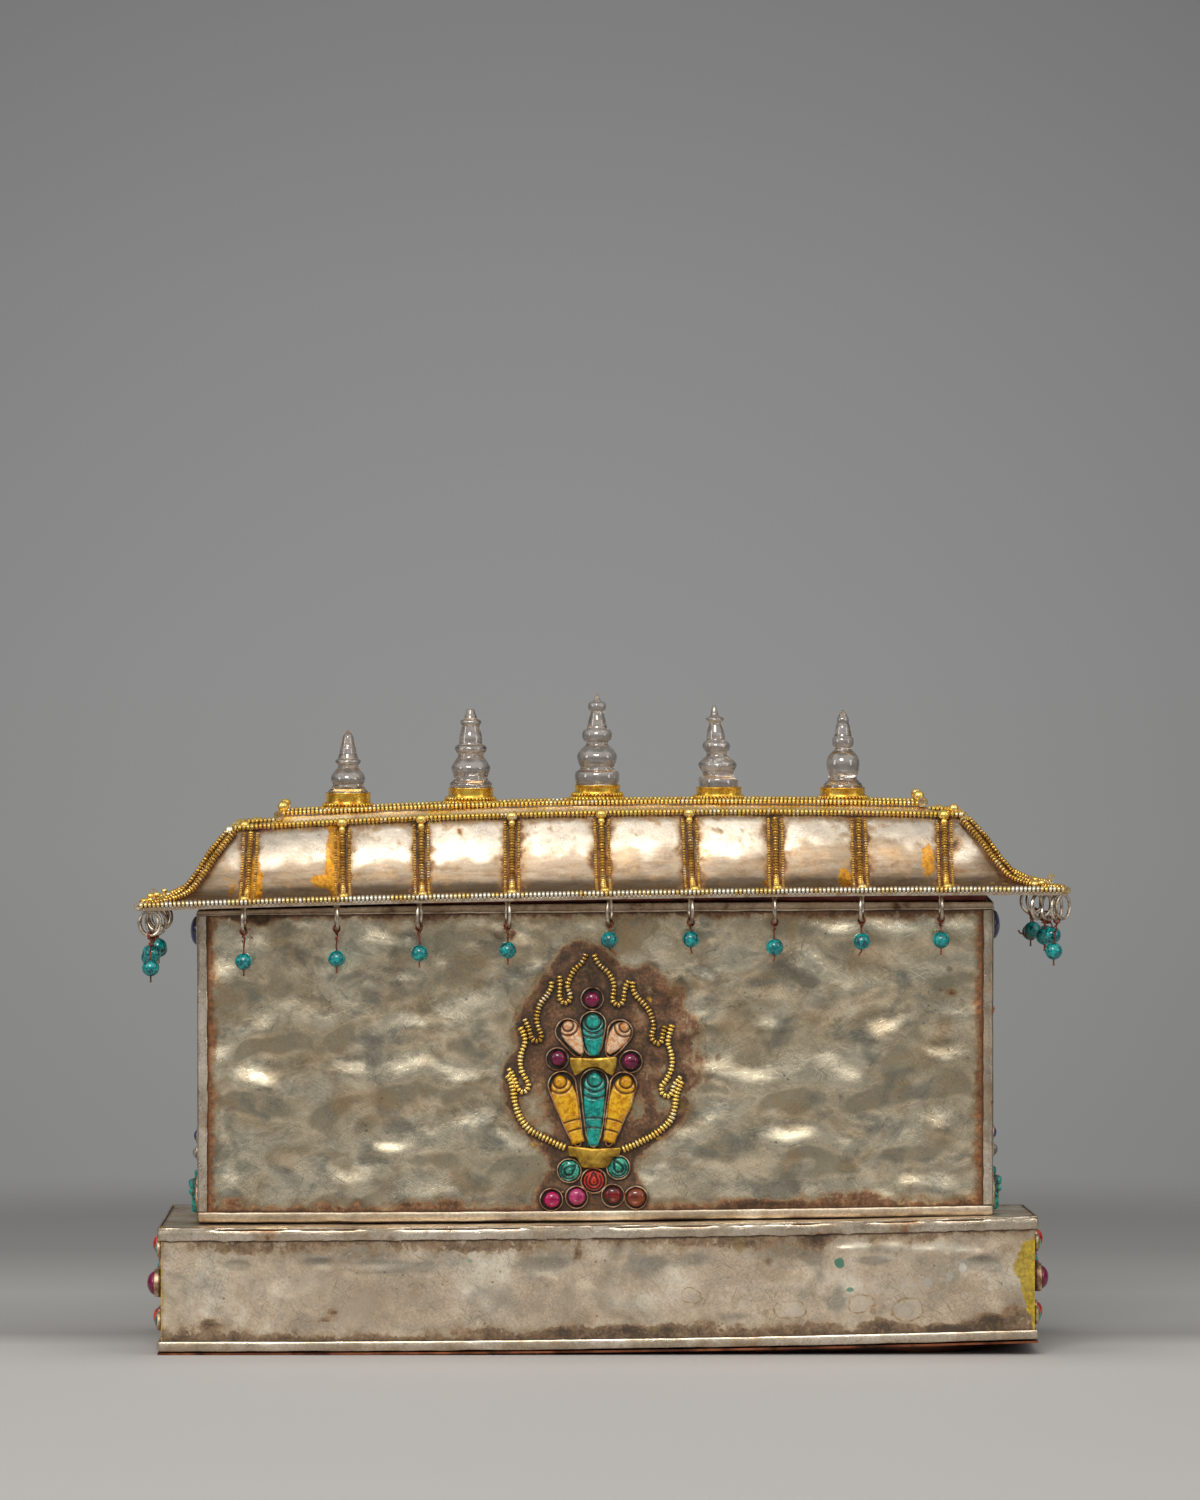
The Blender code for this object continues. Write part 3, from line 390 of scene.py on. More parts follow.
def beads(path, pitch, radius, sides=8, per=4, neck=0.5, ref=(0, 0, 1), closed=False,
          flat=(1.0, 1.0), uneven=0.06, seed=1, under=0.3):
    """Beaded wire along a path.  Returns the shape and how dark each vertex is
    painted: darker between two beads, and painted shade on the side away from ref."""
    p, s = lengths(np.asarray(path, float), closed)
    n = max(2, int(round(s[-1] / pitch)))
    u = np.linspace(0, s[-1], n * per + 1)
    if closed:
        u = u[:-1]
    pts = np.stack([np.interp(u, s, p[:, k]) for k in range(3)], 1)
    across, up = frames(pts, ref, closed)
    k = np.arange(len(u))
    phase = (k % per) / per
    crest = np.sqrt(np.maximum(0.0, 1 - ((2 * phase - 1) / 0.82) ** 2))
    size = 1 + uneven * np.random.default_rng(seed).normal(size=n + 1)
    r = radius * (neck + (1 - neck) * crest) * np.clip(size[k // per], 0.75, 1.2)
    a = (np.arange(sides) + 0.5) * 2 * math.pi / sides
    rings = pts[:, None] + r[:, None, None] * (
        across[:, None] * (np.cos(a) * flat[0])[:, None]
        + up[:, None] * (np.sin(a) * flat[1])[:, None])
    shape = loft(rings, along=True) if closed else capped(rings)
    # painted shade: the side away from ref is darkened by under
    darkening = (1 - crest)[:, None] + under * np.clip(-np.sin(a) - 0.1, 0, 1)[None]
    return shape, darkening.ravel()


def ball(centre, radii, sides=16, rows=9, axis=2):
    a = np.linspace(-math.pi / 2, math.pi / 2, rows + 2)[1:-1]
    prof = np.stack([np.cos(a), np.sin(a)], 1)
    verts, faces = turned(prof, sides, axis="xyz"[axis])
    return verts * np.asarray(radii, float) + np.asarray(centre, float), faces


# ---------------------------------------------------------------------------
# finishes
# ---------------------------------------------------------------------------
def lin(r, g, b):
    """sRGB 0..255 to scene-linear."""
    return tuple((c / 255 / 12.92) if c / 255 <= 0.04045 else ((c / 255 + 0.055) / 1.055) ** 2.4
                 for c in (r, g, b))


class Finish:
    """A procedural material; lengths in its textures are millimetres."""

    def __init__(self, name):
        self.mat = bpy.data.materials.new(name)
        self.mat.use_nodes = True
        self.tree = self.mat.node_tree
        self.shader = self.tree.nodes["Principled BSDF"]
        where = self.new("ShaderNodeTexCoord").outputs["Object"]
        scaled = self.new("ShaderNodeVectorMath")
        scaled.operation = "SCALE"
        self.tree.links.new(where, scaled.inputs[0])
        scaled.inputs["Scale"].default_value = 1000.0
        self.place = scaled.outputs[0]

    def new(self, kind):
        return self.tree.nodes.new(kind)

    def put(self, socket, value):
        if isinstance(value, bpy.types.NodeSocket):
            self.tree.links.new(value, socket)
        elif isinstance(value, tuple) and len(value) == 3 and socket.type == "RGBA":
            socket.default_value = (*value, 1.0)
        else:
            socket.default_value = value

    def math(self, op, a, b=0.0, c=None, clamp=False):
        n = self.new("ShaderNodeMath")
        n.operation, n.use_clamp = op, clamp
        self.put(n.inputs[0], a)
        self.put(n.inputs[1], b)
        if c is not None:
            self.put(n.inputs[2], c)
        return n.outputs[0]

    def stretch(self, scale, shift=(0, 0, 0), turn=None):
        """The place turned first, then stretched."""
        here = self.place
        if turn is not None:
            n = self.new("ShaderNodeMapping")
            self.tree.links.new(here, n.inputs["Vector"])
            n.inputs["Rotation"].default_value = turn
            here = n.outputs[0]
        n = self.new("ShaderNodeMapping")
        self.tree.links.new(here, n.inputs["Vector"])
        n.inputs["Scale"].default_value = scale
        n.inputs["Location"].default_value = shift
        return n.outputs[0]

    def noise(self, size, detail=3.0, rough=0.55, warp=0.0, where=None):
        n = self.new("ShaderNodeTexNoise")
        self.put(n.inputs["Vector"], where or self.place)
        n.inputs["Scale"].default_value = 1.0 / size
        n.inputs["Detail"].default_value = detail
        n.inputs["Roughness"].default_value = rough
        n.inputs["Distortion"].default_value = warp
        return n.outputs["Fac"]

    def cells(self, size, feature="F1", where=None, out="Distance", chance=1.0):
        n = self.new("ShaderNodeTexVoronoi")
        n.feature = feature
        self.put(n.inputs["Vector"], where or self.place)
        n.inputs["Scale"].default_value = 1.0 / size
        n.inputs["Randomness"].default_value = chance
        return n.outputs[out]

    def attr(self, name):
        n = self.new("ShaderNodeAttribute")
        n.attribute_name = name
        return n.outputs["Fac"]

    def span(self, value, a, b, lo=0.0, hi=1.0):
        n = self.new("ShaderNodeMapRange")
        n.interpolation_type = "SMOOTHSTEP"
        self.put(n.inputs["Value"], value)
        for key, v in (("From Min", a), ("From Max", b), ("To Min", lo), ("To Max", hi)):
            self.put(n.inputs[key], v)
        return n.outputs[0]

    def mix(self, fac, a, b, mode="MIX"):
        n = self.new("ShaderNodeMix")
        n.data_type, n.blend_type = "RGBA", mode
        self.put(n.inputs["Factor"], fac)
        self.put(n.inputs[6], a)
        self.put(n.inputs[7], b)
        return n.outputs[2]

    def ramp(self, fac, *stops):
        n = self.new("ShaderNodeValToRGB")
        self.put(n.inputs[0], fac)
        elements = n.color_ramp.elements
        while len(elements) > 1:
            elements.remove(elements[-1])
        for k, (at, colour) in enumerate(stops):
            e = elements[0] if k == 0 else elements.new(at)
            e.position, e.color = at, (*colour, 1.0)
        return n.outputs[0]

    def bump(self, height, depth, strength=1.0, normal=None):
        """depth is in mm for a height of 0 to 1."""
        n = self.new("ShaderNodeBump")
        self.put(n.inputs["Height"], height)
        n.inputs["Distance"].default_value = depth * MM
        n.inputs["Strength"].default_value = strength
        if normal is not None:
            self.put(n.inputs["Normal"], normal)
        return n.outputs[0]

    def done(self, colour=None, rough=None, metal=None, normal=None, **plain):
        s = self.shader.inputs
        for key, v in (("Base Color", colour), ("Roughness", rough), ("Metallic", metal),
                       ("Normal", normal)):
            if v is not None:
                self.put(s[key], v)
        for key, v in plain.items():
            s[key.replace("_", " ").title().replace("Ior", "IOR")].default_value = v
        return self.mat


def silver_sheet(name, cool, warm, pale, rough=0.30, grain=0.03, fleck=1.0, film=0.5, tan=0.6,
                 mottle=0.14, hair=0.5, tarnish_and_shade_colour=lin(112, 106, 88), streak=0.0, drift=0.0, speck=0.0, details=None,
                 gilding=(lin(142, 104, 38), lin(214, 168, 58)),
                 ragged_edge=(0.56, 0.84), metal=1.0, soil=(lin(36, 22, 14), lin(80, 50, 33), lin(118, 79, 54),
                                                 lin(152, 111, 78), lin(176, 142, 106))):
    """Old hammered sheet silver.  Vertex values: stain (how near a seam or
    solder), dark (dirt lines), rust (orange margins), gild (leftover
    gilding), bright (painted highlight and painted reflection) and shade
    (painted shade, which also deepens the tarnish clouds)."""
    f = Finish(name)
    broad = f.noise(26.0, 2.0, 0.5)
    mid = f.noise(7.0, 3.0, 0.55, 0.4)
    fine = f.noise(0.8, 4.0, 0.68)
    tone = f.math("ADD", f.math("MULTIPLY", broad, 0.44), f.math(
        "ADD", f.math("MULTIPLY", mid, 0.22), f.math("MULTIPLY", fine, 0.34)))
    colour = f.ramp(tone, (0.41, cool), (0.51, warm), (0.61, pale))
    # painted highlight: the bright value pulls the colour to pale
    colour = f.mix(f.math("MULTIPLY", f.attr("bright"), 0.92, clamp=True), colour, pale)
    # tarnish in soft clouds, deepened by the painted shade of the shade value
    cloudy = f.span(f.math("ADD", f.noise(17.0, 4.0, 0.55, 0.8), f.attr("shade")), 0.50, 0.86)
    colour = f.mix(f.math("MULTIPLY", cloudy, film), colour, tarnish_and_shade_colour)
    if drift:
        warmth = f.noise(17.0, 4.0, 0.58, 0.7, where=f.stretch((1, 1, 1.25), (3.1, 0.4, 1.7)))
        colour = f.mix(f.math("MULTIPLY", f.span(warmth, 0.47, 0.66), drift), colour,
                       lin(178, 146, 104))
        cold = f.noise(13.0, 4.0, 0.58, 0.7, where=f.stretch((1, 1, 1.4), (-2.7, 1.3, 5.2)))
        colour = f.mix(f.math("MULTIPLY", f.span(cold, 0.50, 0.68), drift), colour,
                       lin(108, 120, 122))
    if streak:
        lines = f.noise(1.5, 4.0, 0.6, 0.3, where=f.stretch((0.16, 0.5, 1.0)))
        amount = f.math("MULTIPLY", f.span(lines, 0.42, 0.62), f.math(
            "ADD", f.math("MULTIPLY", f.attr("shade"), 1.4), 0.10), clamp=True)
        colour = f.mix(f.math("MULTIPLY", amount, streak), colour, lin(122, 100, 78))
    # hair scratches every way
    hairs = None
    for k, turn in enumerate((0.35, -0.55, 1.2, 2.2)):
        n = f.noise(0.26, 1.0, 0.5, where=f.stretch((0.045, 1.0, 1.0), (k * 9.1, 0, 0),
                                                    (0, turn, 0)))
        line = f.span(n, 0.62, 0.72)
        hairs = line if hairs is None else f.math("MAXIMUM", hairs, line)
    where = f.span(f.noise(11.0, 3.0, 0.6), 0.36, 0.62, 0.06, hair)
    colour = f.mix(f.math("MULTIPLY", hairs, where), colour, lin(118, 104, 84))
    # pits and small brown flecks
    pit = f.math("MULTIPLY", f.span(f.cells(1.25), 0.17, 0.08),
                 f.span(f.noise(7.0, 3.0), 0.44, 0.62))
    colour = f.mix(f.math("MULTIPLY", pit, 0.42 * fleck), colour, lin(84, 70, 54))
    spot = f.span(f.cells(3.1), 0.15, 0.07)
    where = f.span(f.noise(15.0, 2.0), 0.52, 0.66)
    colour = f.mix(f.math("MULTIPLY", f.math("MULTIPLY", spot, where), 0.6 * fleck), colour,
                   lin(104, 74, 54))
    if speck:
        crumbs = f.span(f.noise(0.55, 3.0, 0.7), 0.58, 0.70)
        where = f.span(f.noise(8.0, 4.0, 0.6), 0.42, 0.62, 0.15, 1.0)
        colour = f.mix(f.math("MULTIPLY", f.math("MULTIPLY", crumbs, where), speck), colour, pale)
        soot = f.span(f.noise(0.62, 3.0, 0.7, where=f.stretch((1, 1, 1), (7.7, 2.2, 0.6))),
                      0.60, 0.72)
        colour = f.mix(f.math("MULTIPLY", soot, speck * 0.8), colour, lin(92, 84, 68))
    if details:
        colour = details(f, colour)
    # brown stain with a tan margin
    ragged = f.math("MULTIPLY", f.math("SUBTRACT", f.noise(2.3, 6.0, 0.68, 0.7), 0.5), 1.15)
    lumps = f.math("MULTIPLY", f.math("SUBTRACT", 0.45, f.cells(3.4)), 0.42)
    edge = f.math("ADD", f.attr("stain"), f.math("ADD", ragged, lumps))
    soft = f.math("MULTIPLY", f.span(edge, 0.12, 0.70), tan)
    colour = f.mix(soft, colour, f.ramp(f.noise(4.0, 4.0, 0.6), (0.38, lin(130, 104, 76)),
                                        (0.56, lin(172, 144, 110)), (0.70, lin(180, 142, 100))))
    stain = f.span(edge, *ragged_edge)
    depth = f.math("MULTIPLY", f.math("SUBTRACT", 0.86, f.attr("stain")), 0.42)
    mixed = f.math("ADD", f.math("MULTIPLY", f.noise(3.4, 5.0, 0.64, 0.5), 0.55),
                   f.math("ADD", f.math("MULTIPLY", fine, 0.45), depth))
    browns = f.ramp(mixed, *zip((0.36, 0.45, 0.54, 0.63, 0.74), soil))
    browns = f.mix(f.math("MULTIPLY", f.span(f.noise(6.5, 3.0, 0.6, 0.5), 0.57, 0.67), 0.32),
                   browns, lin(126, 108, 40))
    colour = f.mix(f.math("MULTIPLY", stain, 0.90), colour, browns)
    # orange margins
    rust = f.span(f.math("ADD", f.attr("rust"), f.math("MULTIPLY", f.math(
        "SUBTRACT", f.noise(1.9, 5.0, 0.66), 0.5), 1.0)), 0.34, 0.80)
    colour = f.mix(f.math("MULTIPLY", rust, 0.72), colour, f.ramp(
        f.noise(1.3, 3.0), (0.36, lin(96, 54, 30)), (0.60, lin(166, 106, 60))))
    # dirt lines
    dark = f.span(f.math("ADD", f.attr("dark"), f.math("MULTIPLY", f.math(
        "SUBTRACT", f.noise(1.3, 4.0, 0.65), 0.5), 0.8)), 0.35, 0.85)
    colour = f.mix(f.math("MULTIPLY", dark, 0.88), colour, lin(44, 31, 25))
    # leftover gilding
    gild = f.span(f.math("ADD", f.attr("gild"), f.math("MULTIPLY", f.math("SUBTRACT", f.noise(
        2.2, 5.0, 0.65), 0.5), 1.1)), 0.46, 0.62)
    colour = f.mix(f.math("MULTIPLY", gild, 0.82), colour, f.ramp(
        f.noise(1.2, 4.0, 0.6), (0.36, gilding[0]), (0.62, gilding[1])))
    height = f.math("ADD", f.math("MULTIPLY", fine, 0.6), f.math(
        "ADD", f.math("MULTIPLY", hairs, -0.25), f.math("MULTIPLY", pit, -0.5)))
    normal = f.bump(f.noise(4.4, 2.0, 0.5, 0.3), mottle, 1.0)
    normal = f.bump(height, grain, 1.0, normal)
    rough_map = f.math("ADD", f.math("MULTIPLY", mid, 0.20), rough - 0.09)
    rough_map = f.math("ADD", rough_map, f.math("MULTIPLY", f.math("MAXIMUM", soft, cloudy), 0.14))
    rough_map = f.math("ADD", rough_map, f.math("MULTIPLY", f.math("MAXIMUM", stain, dark), 0.12),
                       clamp=True)
    metal = f.math("SUBTRACT", metal, f.math("MULTIPLY", stain, 0.55))
    metal = f.math("SUBTRACT", metal, f.math("MULTIPLY", dark, 0.4), clamp=True)
    return f.done(colour, rough_map, metal, normal)


def ovals(f, colour, face, places, line, fill):
    """Dried rings on the front: (picture x, y, half width, half height,
    strength of the outline, of the inside)."""
    split = f.new("ShaderNodeSeparateXYZ")
    f.tree.links.new(f.place, split.inputs[0])
    x, y, z = split.outputs
    front = f.span(y, face + 1.6, face + 1.0)
    wob = f.math("ADD", f.math("MULTIPLY", f.math("SUBTRACT", f.noise(2.0, 4.0), 0.5), 0.45),
                 f.math("MULTIPLY", f.math("SUBTRACT", f.noise(4.6, 2.0), 0.5), 0.8))
    step = 0.3 * (2998.0 + face) / 2950.0
    for px, py, rx, ry, outline, inside in places:
        u = f.math("DIVIDE", f.math("SUBTRACT", x, (px - 600.0) * step - 0.75), rx * 0.3)
        v = f.math("DIVIDE", f.math("SUBTRACT", z, 263.0 - (py - 480.0) * step), ry * 0.3)
        d = f.math("ADD", f.math("SQRT", f.math("ADD", f.math("MULTIPLY", u, u),
                                                f.math("MULTIPLY", v, v))), wob)
        if inside:
            colour = f.mix(f.math("MULTIPLY", f.math("MULTIPLY", f.span(d, 1.0, 0.75), front),
                                  inside), colour, fill)
        if outline:
            rim = f.span(f.math("ABSOLUTE", f.math("SUBTRACT", d, 1.0)), 0.13, 0.03)
            rim = f.math("MULTIPLY", rim, f.span(f.noise(1.6, 3.0), 0.40, 0.62, 0.15, 0.85))
            colour = f.mix(f.math("MULTIPLY", f.math("MULTIPLY", rim, front), outline), colour,
                           line)
    return colour


def body_details(f, colour):
    """Round dull stains beside the emblem, where drops of flux dried."""
    colour = ovals(f, colour, FACE, ((661, 986, 10, 9, 0.7, 0.62), (681, 987, 8, 9, 0.7, 0.70),
                                     (652, 968, 9, 8, 0.5, 0.50), (668, 1001, 7, 7, 0.4, 0.40),
                                     (708, 1000, 5, 5, 0.3, 0.30), (742, 1188, 9, 5, 0.3, 0.3)),
                   lin(78, 64, 50), lin(108, 97, 82))
    return ovals(f, colour, FACE, ((482, 1047, 3.4, 3.4, 0.8, 0.35), (718, 1058, 2.6, 3.6, 0.8, 0.4),
                                   (950, 969, 3.0, 3.0, 0.8, 0.5), (952, 993, 5.5, 3.5, 0.8, 0.5),
                                   (500, 935, 5.5, 4.0, 0.8, 0.5), (524, 1112, 3.0, 3.0, 0.6, 0.3),
                                   (505, 1130, 4.0, 3.0, 0.6, 0.3), (497, 1160, 4.0, 3.0, 0.5, 0.3)),
                 lin(96, 60, 40), lin(150, 116, 90))


def plinth_details(f, colour):
    """Dried rings and drips, pale or green, on the plinth's front."""
    colour = ovals(f, colour, -47.0, ((692, 1297, 10, 7.5, 0.75, 0.25), (791, 1311, 15, 9, 0.9, 0.30),
                                      (797, 1313, 8, 6, 0.0, 0.75), (861, 1305, 12, 9, 0.85, 0.55),
                                      (909, 1312, 16, 11, 0.9, 0.60), (905, 1313, 8, 6, 0.4, 0.5),
                                      (965, 1296, 4, 5, 0.8, 0.3), (310, 1302, 9, 6, 0.35, 0.15),
                                      (452, 1296, 8, 6, 0.35, 0.15)),
                   lin(172, 132, 70), lin(226, 214, 196))
    colour = ovals(f, colour, -47.0, ((928, 1283, 5, 5, 0, 0.55), (950, 1277, 4, 6, 0, 0.5),
                                      (963, 1269, 4, 5, 0, 0.5), (905, 1286, 3, 3, 0, 0.4)),
                   lin(150, 112, 74), lin(216, 216, 210))
    colour = ovals(f, colour, -47.0, ((769, 1263, 4, 3.5, 0.8, 0.5), (873, 1312, 3, 3, 0.8, 0.5),
                                      (884, 1308, 2.6, 2.6, 0.8, 0.4), (766, 1314, 3, 3, 0.7, 0.4),
                                      (332, 1314, 5, 4, 0.8, 0.6), (690, 1244, 3, 3, 0.6, 0.3),
                                      (986, 1283, 3, 3, 0.6, 0.3), (636, 1276, 3, 4, 0.5, 0.4)),
                   lin(94, 58, 40), lin(168, 130, 104))
    return ovals(f, colour, -47.0, ((840, 1264, 6, 6, 0, 0.9), (851, 1291, 4.5, 2.6, 0, 0.8),
                                    (470, 1262, 2.5, 2, 0, 0.5)),
                 lin(60, 110, 100), lin(88, 156, 134))


def gilt(name, bright, deep, worn, neck_dark=0.85, rough=0.26, wear=0.5):
    """Gilding over silver on beaded wire; darker where the neck value is high: between beads, and as painted
    shade on the wires' undersides.
    """
    f = Finish(name)
    patch = f.noise(5.0, 4.0, 0.65, 0.5)
    fine = f.noise(0.8, 3.0, 0.6)
    colour = f.ramp(f.noise(3.0, 3.0, 0.6), (0.35, deep), (0.62, bright))
    colour = f.mix(f.span(patch, 0.70 - 0.34 * wear, 0.84 - 0.34 * wear), colour, worn)
    brown = f.span(f.noise(9.0, 4.0, 0.6, 0.4), 0.56, 0.72)
    colour = f.mix(f.math("MULTIPLY", brown, 0.35), colour, lin(128, 90, 50))
    darkening = f.math("MULTIPLY", f.span(f.math("ADD", f.attr("neck"), f.math(
        "MULTIPLY", f.math("SUBTRACT", fine, 0.5), 0.3)), 0.24, 0.74), neck_dark)
    colour = f.mix(darkening, colour, lin(44, 28, 18))
    normal = f.bump(fine, 0.05)
    rough_map = f.math("ADD", f.math("MULTIPLY", fine, 0.2), f.math(
        "ADD", f.math("MULTIPLY", darkening, 0.35), rough - 0.1))
    metal = f.math("SUBTRACT", 0.84, f.math("MULTIPLY", darkening, 0.70))
    return f.done(colour, rough_map, metal, normal)


SHEET_BODY = silver_sheet("hammered_silver_body", lin(216, 202, 172), lin(244, 221, 184),
                          lin(255, 243, 214), rough=0.21, tan=0.74, film=0.64,
                          tarnish_and_shade_colour=lin(100, 101, 88), mottle=0.12, hair=0.46, drift=0.52, speck=0.5, ragged_edge=(0.55, 0.76),
                          details=body_details)
SHEET_BASE = silver_sheet("worn_silver_plinth", lin(204, 188, 166), lin(234, 213, 186),
                          lin(252, 242, 222), rough=0.36, fleck=1.2, film=0.66, tan=0.5, ragged_edge=(0.50, 0.64),
                          mottle=0.08, hair=0.42, tarnish_and_shade_colour=lin(108, 109, 103), drift=0.24, speck=0.6,
                          details=plinth_details,
                          gilding=(lin(170, 138, 18), lin(226, 196, 30)),
                          soil=(lin(52, 38, 28), lin(92, 70, 52), lin(122, 99, 76),
                                lin(146, 122, 96), lin(168, 144, 116)))
SHEET_ROOF = silver_sheet("bright_silver_roof", lin(208, 192, 170), lin(224, 209, 190),
                          lin(238, 225, 208), rough=0.27, fleck=1.0, film=0.72, tan=0.85,
                          mottle=0.09, tarnish_and_shade_colour=lin(132, 112, 90), streak=0.6, hair=0.3,
                          speck=0.32, gilding=(lin(170, 108, 14), lin(226, 160, 20)))
STRIP = silver_sheet("silver_edge_strip", lin(190, 174, 152), lin(216, 202, 182),
                     lin(240, 228, 212), rough=0.28, grain=0.05, film=0.35)
SHEET_DECK = silver_sheet("gilt_deck_sheet", lin(204, 168, 116), lin(226, 190, 138),
                          lin(244, 220, 178), rough=0.28, film=0.45, tan=0.8, mottle=0.08,
                          tarnish_and_shade_colour=lin(150, 112, 70), hair=0.3,
                          gilding=(lin(190, 142, 54), lin(232, 190, 92)))
STRIP_FOOT = silver_sheet("worn_silver_foot_strip", lin(164, 150, 130), lin(188, 173, 152),
                          lin(214, 201, 182), rough=0.40, grain=0.05, film=0.40, speck=0.3)
STRIP_HEAD = silver_sheet("dull_silver_head_strip", lin(204, 176, 146), lin(226, 200, 170),
                          lin(244, 228, 204), rough=0.46, grain=0.05, film=0.25, metal=0.45)
GILT_WIRE = gilt("gilt_beaded_wire", lin(255, 228, 134), lin(248, 200, 92), lin(250, 240, 214),
                 wear=0.50, neck_dark=0.92)
GILT_EAVE = gilt("worn_gilt_eave_wire", lin(250, 222, 146), lin(220, 174, 92), lin(244, 236, 216),
                 wear=0.82, neck_dark=0.90)
GILT_RIB = gilt("gilt_rib_wire", lin(236, 190, 92), lin(180, 132, 56), lin(226, 206, 168),
                wear=0.45, neck_dark=0.88)
GILT_FLAME = gilt("dull_gilt_flame_wire", lin(228, 190, 102), lin(178, 138, 58),
                  lin(232, 218, 190), neck_dark=0.92, wear=0.50)
GILT_CUP = gilt("gilt_cup", lin(252, 214, 92), lin(214, 146, 44), lin(236, 214, 150), wear=0.35,
                neck_dark=0.94)


def stone(name, light, mid, deep, rough=0.22, vein=None, vein_size=2.2, coat=0.0,
          groove=lin(50, 30, 22), pits=0.6, patch=None, patch_size=3.0, patched=0.6):
    """An opaque carved stone, darker in its grooves and where the groove value holds the petals' painted edge
    shade.
    """
    f = Finish(name)
    colour = f.ramp(f.noise(1.6, 5.0, 0.62, 0.8), (0.38, deep), (0.5, mid), (0.62, light))
    if patch is not None:
        here = f.span(f.noise(patch_size, 4.0, 0.6, 0.8), 0.50, 0.62)
        colour = f.mix(f.math("MULTIPLY", here, patched), colour, patch)
    if vein is not None:
        edge = f.cells(vein_size, "DISTANCE_TO_EDGE", where=f.stretch(
            (1, 1, 1), (3.1, 0.7, 1.9)))
        wob = f.math("ADD", edge, f.math("MULTIPLY", f.noise(0.9, 4.0, 0.7), 0.12))
        line = f.math("MULTIPLY", f.span(wob, 0.125, 0.072), f.span(f.noise(4.0), 0.42, 0.6))
        colour = f.mix(f.math("MULTIPLY", line, pits), colour, vein)
    cut = f.span(f.math("ADD", f.attr("groove"), f.math("MULTIPLY", f.math(
        "SUBTRACT", f.noise(0.7, 3.0), 0.5), 0.3)), 0.30, 0.80)
    colour = f.mix(f.math("MULTIPLY", cut, 0.88), colour, groove)
    normal = f.bump(f.noise(0.9, 3.0, 0.6), 0.05)
    return f.done(colour, f.math("ADD", f.math("MULTIPLY", cut, 0.4), rough, clamp=True), 0.0,
                  normal, coat_weight=coat, coat_roughness=0.06)


TURQUOISE = stone("turquoise", lin(26, 176, 160), lin(8, 138, 128), lin(6, 96, 96), 0.20,
                  lin(26, 48, 44), 2.0, 0.3, groove=lin(44, 30, 20), patch=lin(40, 190, 176),
                  patched=0.4)
TURQUOISE_BEAD = stone("turquoise_bead", lin(16, 172, 168), lin(2, 126, 128), lin(0, 66, 76),
                       0.12, lin(8, 30, 34), 1.5, 0.35, pits=0.9)
SHELL = stone("pink_shell", lin(240, 214, 186), lin(226, 188, 150), lin(198, 142, 96), 0.28,
              lin(150, 84, 36), 3.2, 0.15, lin(74, 36, 18), patch=lin(214, 134, 40),
              patch_size=3.6, patched=0.90)
YELLOW = stone("yellow_stone", lin(240, 192, 36), lin(224, 166, 18), lin(190, 122, 14), 0.24,
               lin(110, 56, 18), 3.0, 0.15, lin(70, 30, 14), pits=0.30, patch=lin(206, 132, 20),
               patch_size=5.2, patched=0.38)
CORAL = stone("red_coral", lin(226, 74, 42), lin(192, 42, 26), lin(140, 24, 18), 0.22,
              coat=0.3, groove=lin(40, 14, 12))
GREEN = stone("green_stone", lin(78, 190, 162), lin(22, 134, 116), lin(8, 84, 76), 0.14,
              lin(12, 40, 34), 1.6, 0.4, groove=lin(6, 26, 24))
LAPIS = stone("lapis", lin(44, 62, 128), lin(26, 36, 92), lin(16, 20, 54), 0.25,
              lin(150, 130, 90), 2.4, 0.3)
GREY_STONE = stone("grey_cabochon", lin(158, 158, 150), lin(128, 126, 118), lin(86, 84, 80),
                   0.2, coat=0.4)
AMBER = stone("amber_bead", lin(214, 138, 40), lin(176, 98, 24), lin(120, 60, 16), 0.18,
              coat=0.5)


def gem(name, colour, deep, through, rough=0.06):
    """A polished clear stone with cloudy patches inside."""
    f = Finish(name)
    tint = f.ramp(f.noise(2.4, 2.0, 0.5, 0.4), (0.36, deep), (0.60, colour))
    return f.done(tint, rough, 0.0, f.bump(f.noise(1.6, 1.0), 0.03),
                  transmission_weight=through, ior=1.55, coat_weight=0.25,
                  coat_roughness=0.03, specular_ior_level=0.4)


RUBY = gem("ruby", lin(146, 16, 76), lin(82, 6, 44), 0.25)
MAGENTA = gem("magenta_stone", lin(204, 10, 102), lin(132, 4, 60), 0.25)
PINK = gem("pink_stone", lin(218, 74, 138), lin(172, 34, 96), 0.3)
GARNET = gem("garnet", lin(128, 20, 20), lin(64, 8, 8), 0.10)
BROWN_STONE = gem("brown_clear_stone", lin(148, 64, 32), lin(88, 34, 20), 0.15)


def crystal():
    f = Finish("rock_crystal")
    veil = f.noise(5.0, 4.0, 0.6, 1.0)
    tint = f.ramp(veil, (0.36, lin(190, 178, 168)), (0.62, lin(232, 224, 216)))
    return f.done(tint, f.span(veil, 0.44, 0.68, 0.01, 0.10), 0.0,
                  f.bump(f.noise(1.1, 3.0), 0.05), transmission_weight=0.96, ior=1.54,
                  specular_ior_level=1.0, coat_weight=1.0, coat_roughness=0.02, coat_ior=1.8)


def crystal_veil():
    """Milky flaws inside the crystal."""
    f = Finish("crystal_flaw")
    return f.done(f.ramp(f.noise(1.2, 3.0), (0.3, lin(206, 200, 198)), (0.7, lin(236, 232, 230))),
                  0.5, 0.0, f.bump(f.noise(0.7, 3.0), 0.1), alpha=0.28)


CRYSTAL = crystal()
FLAW = crystal_veil()


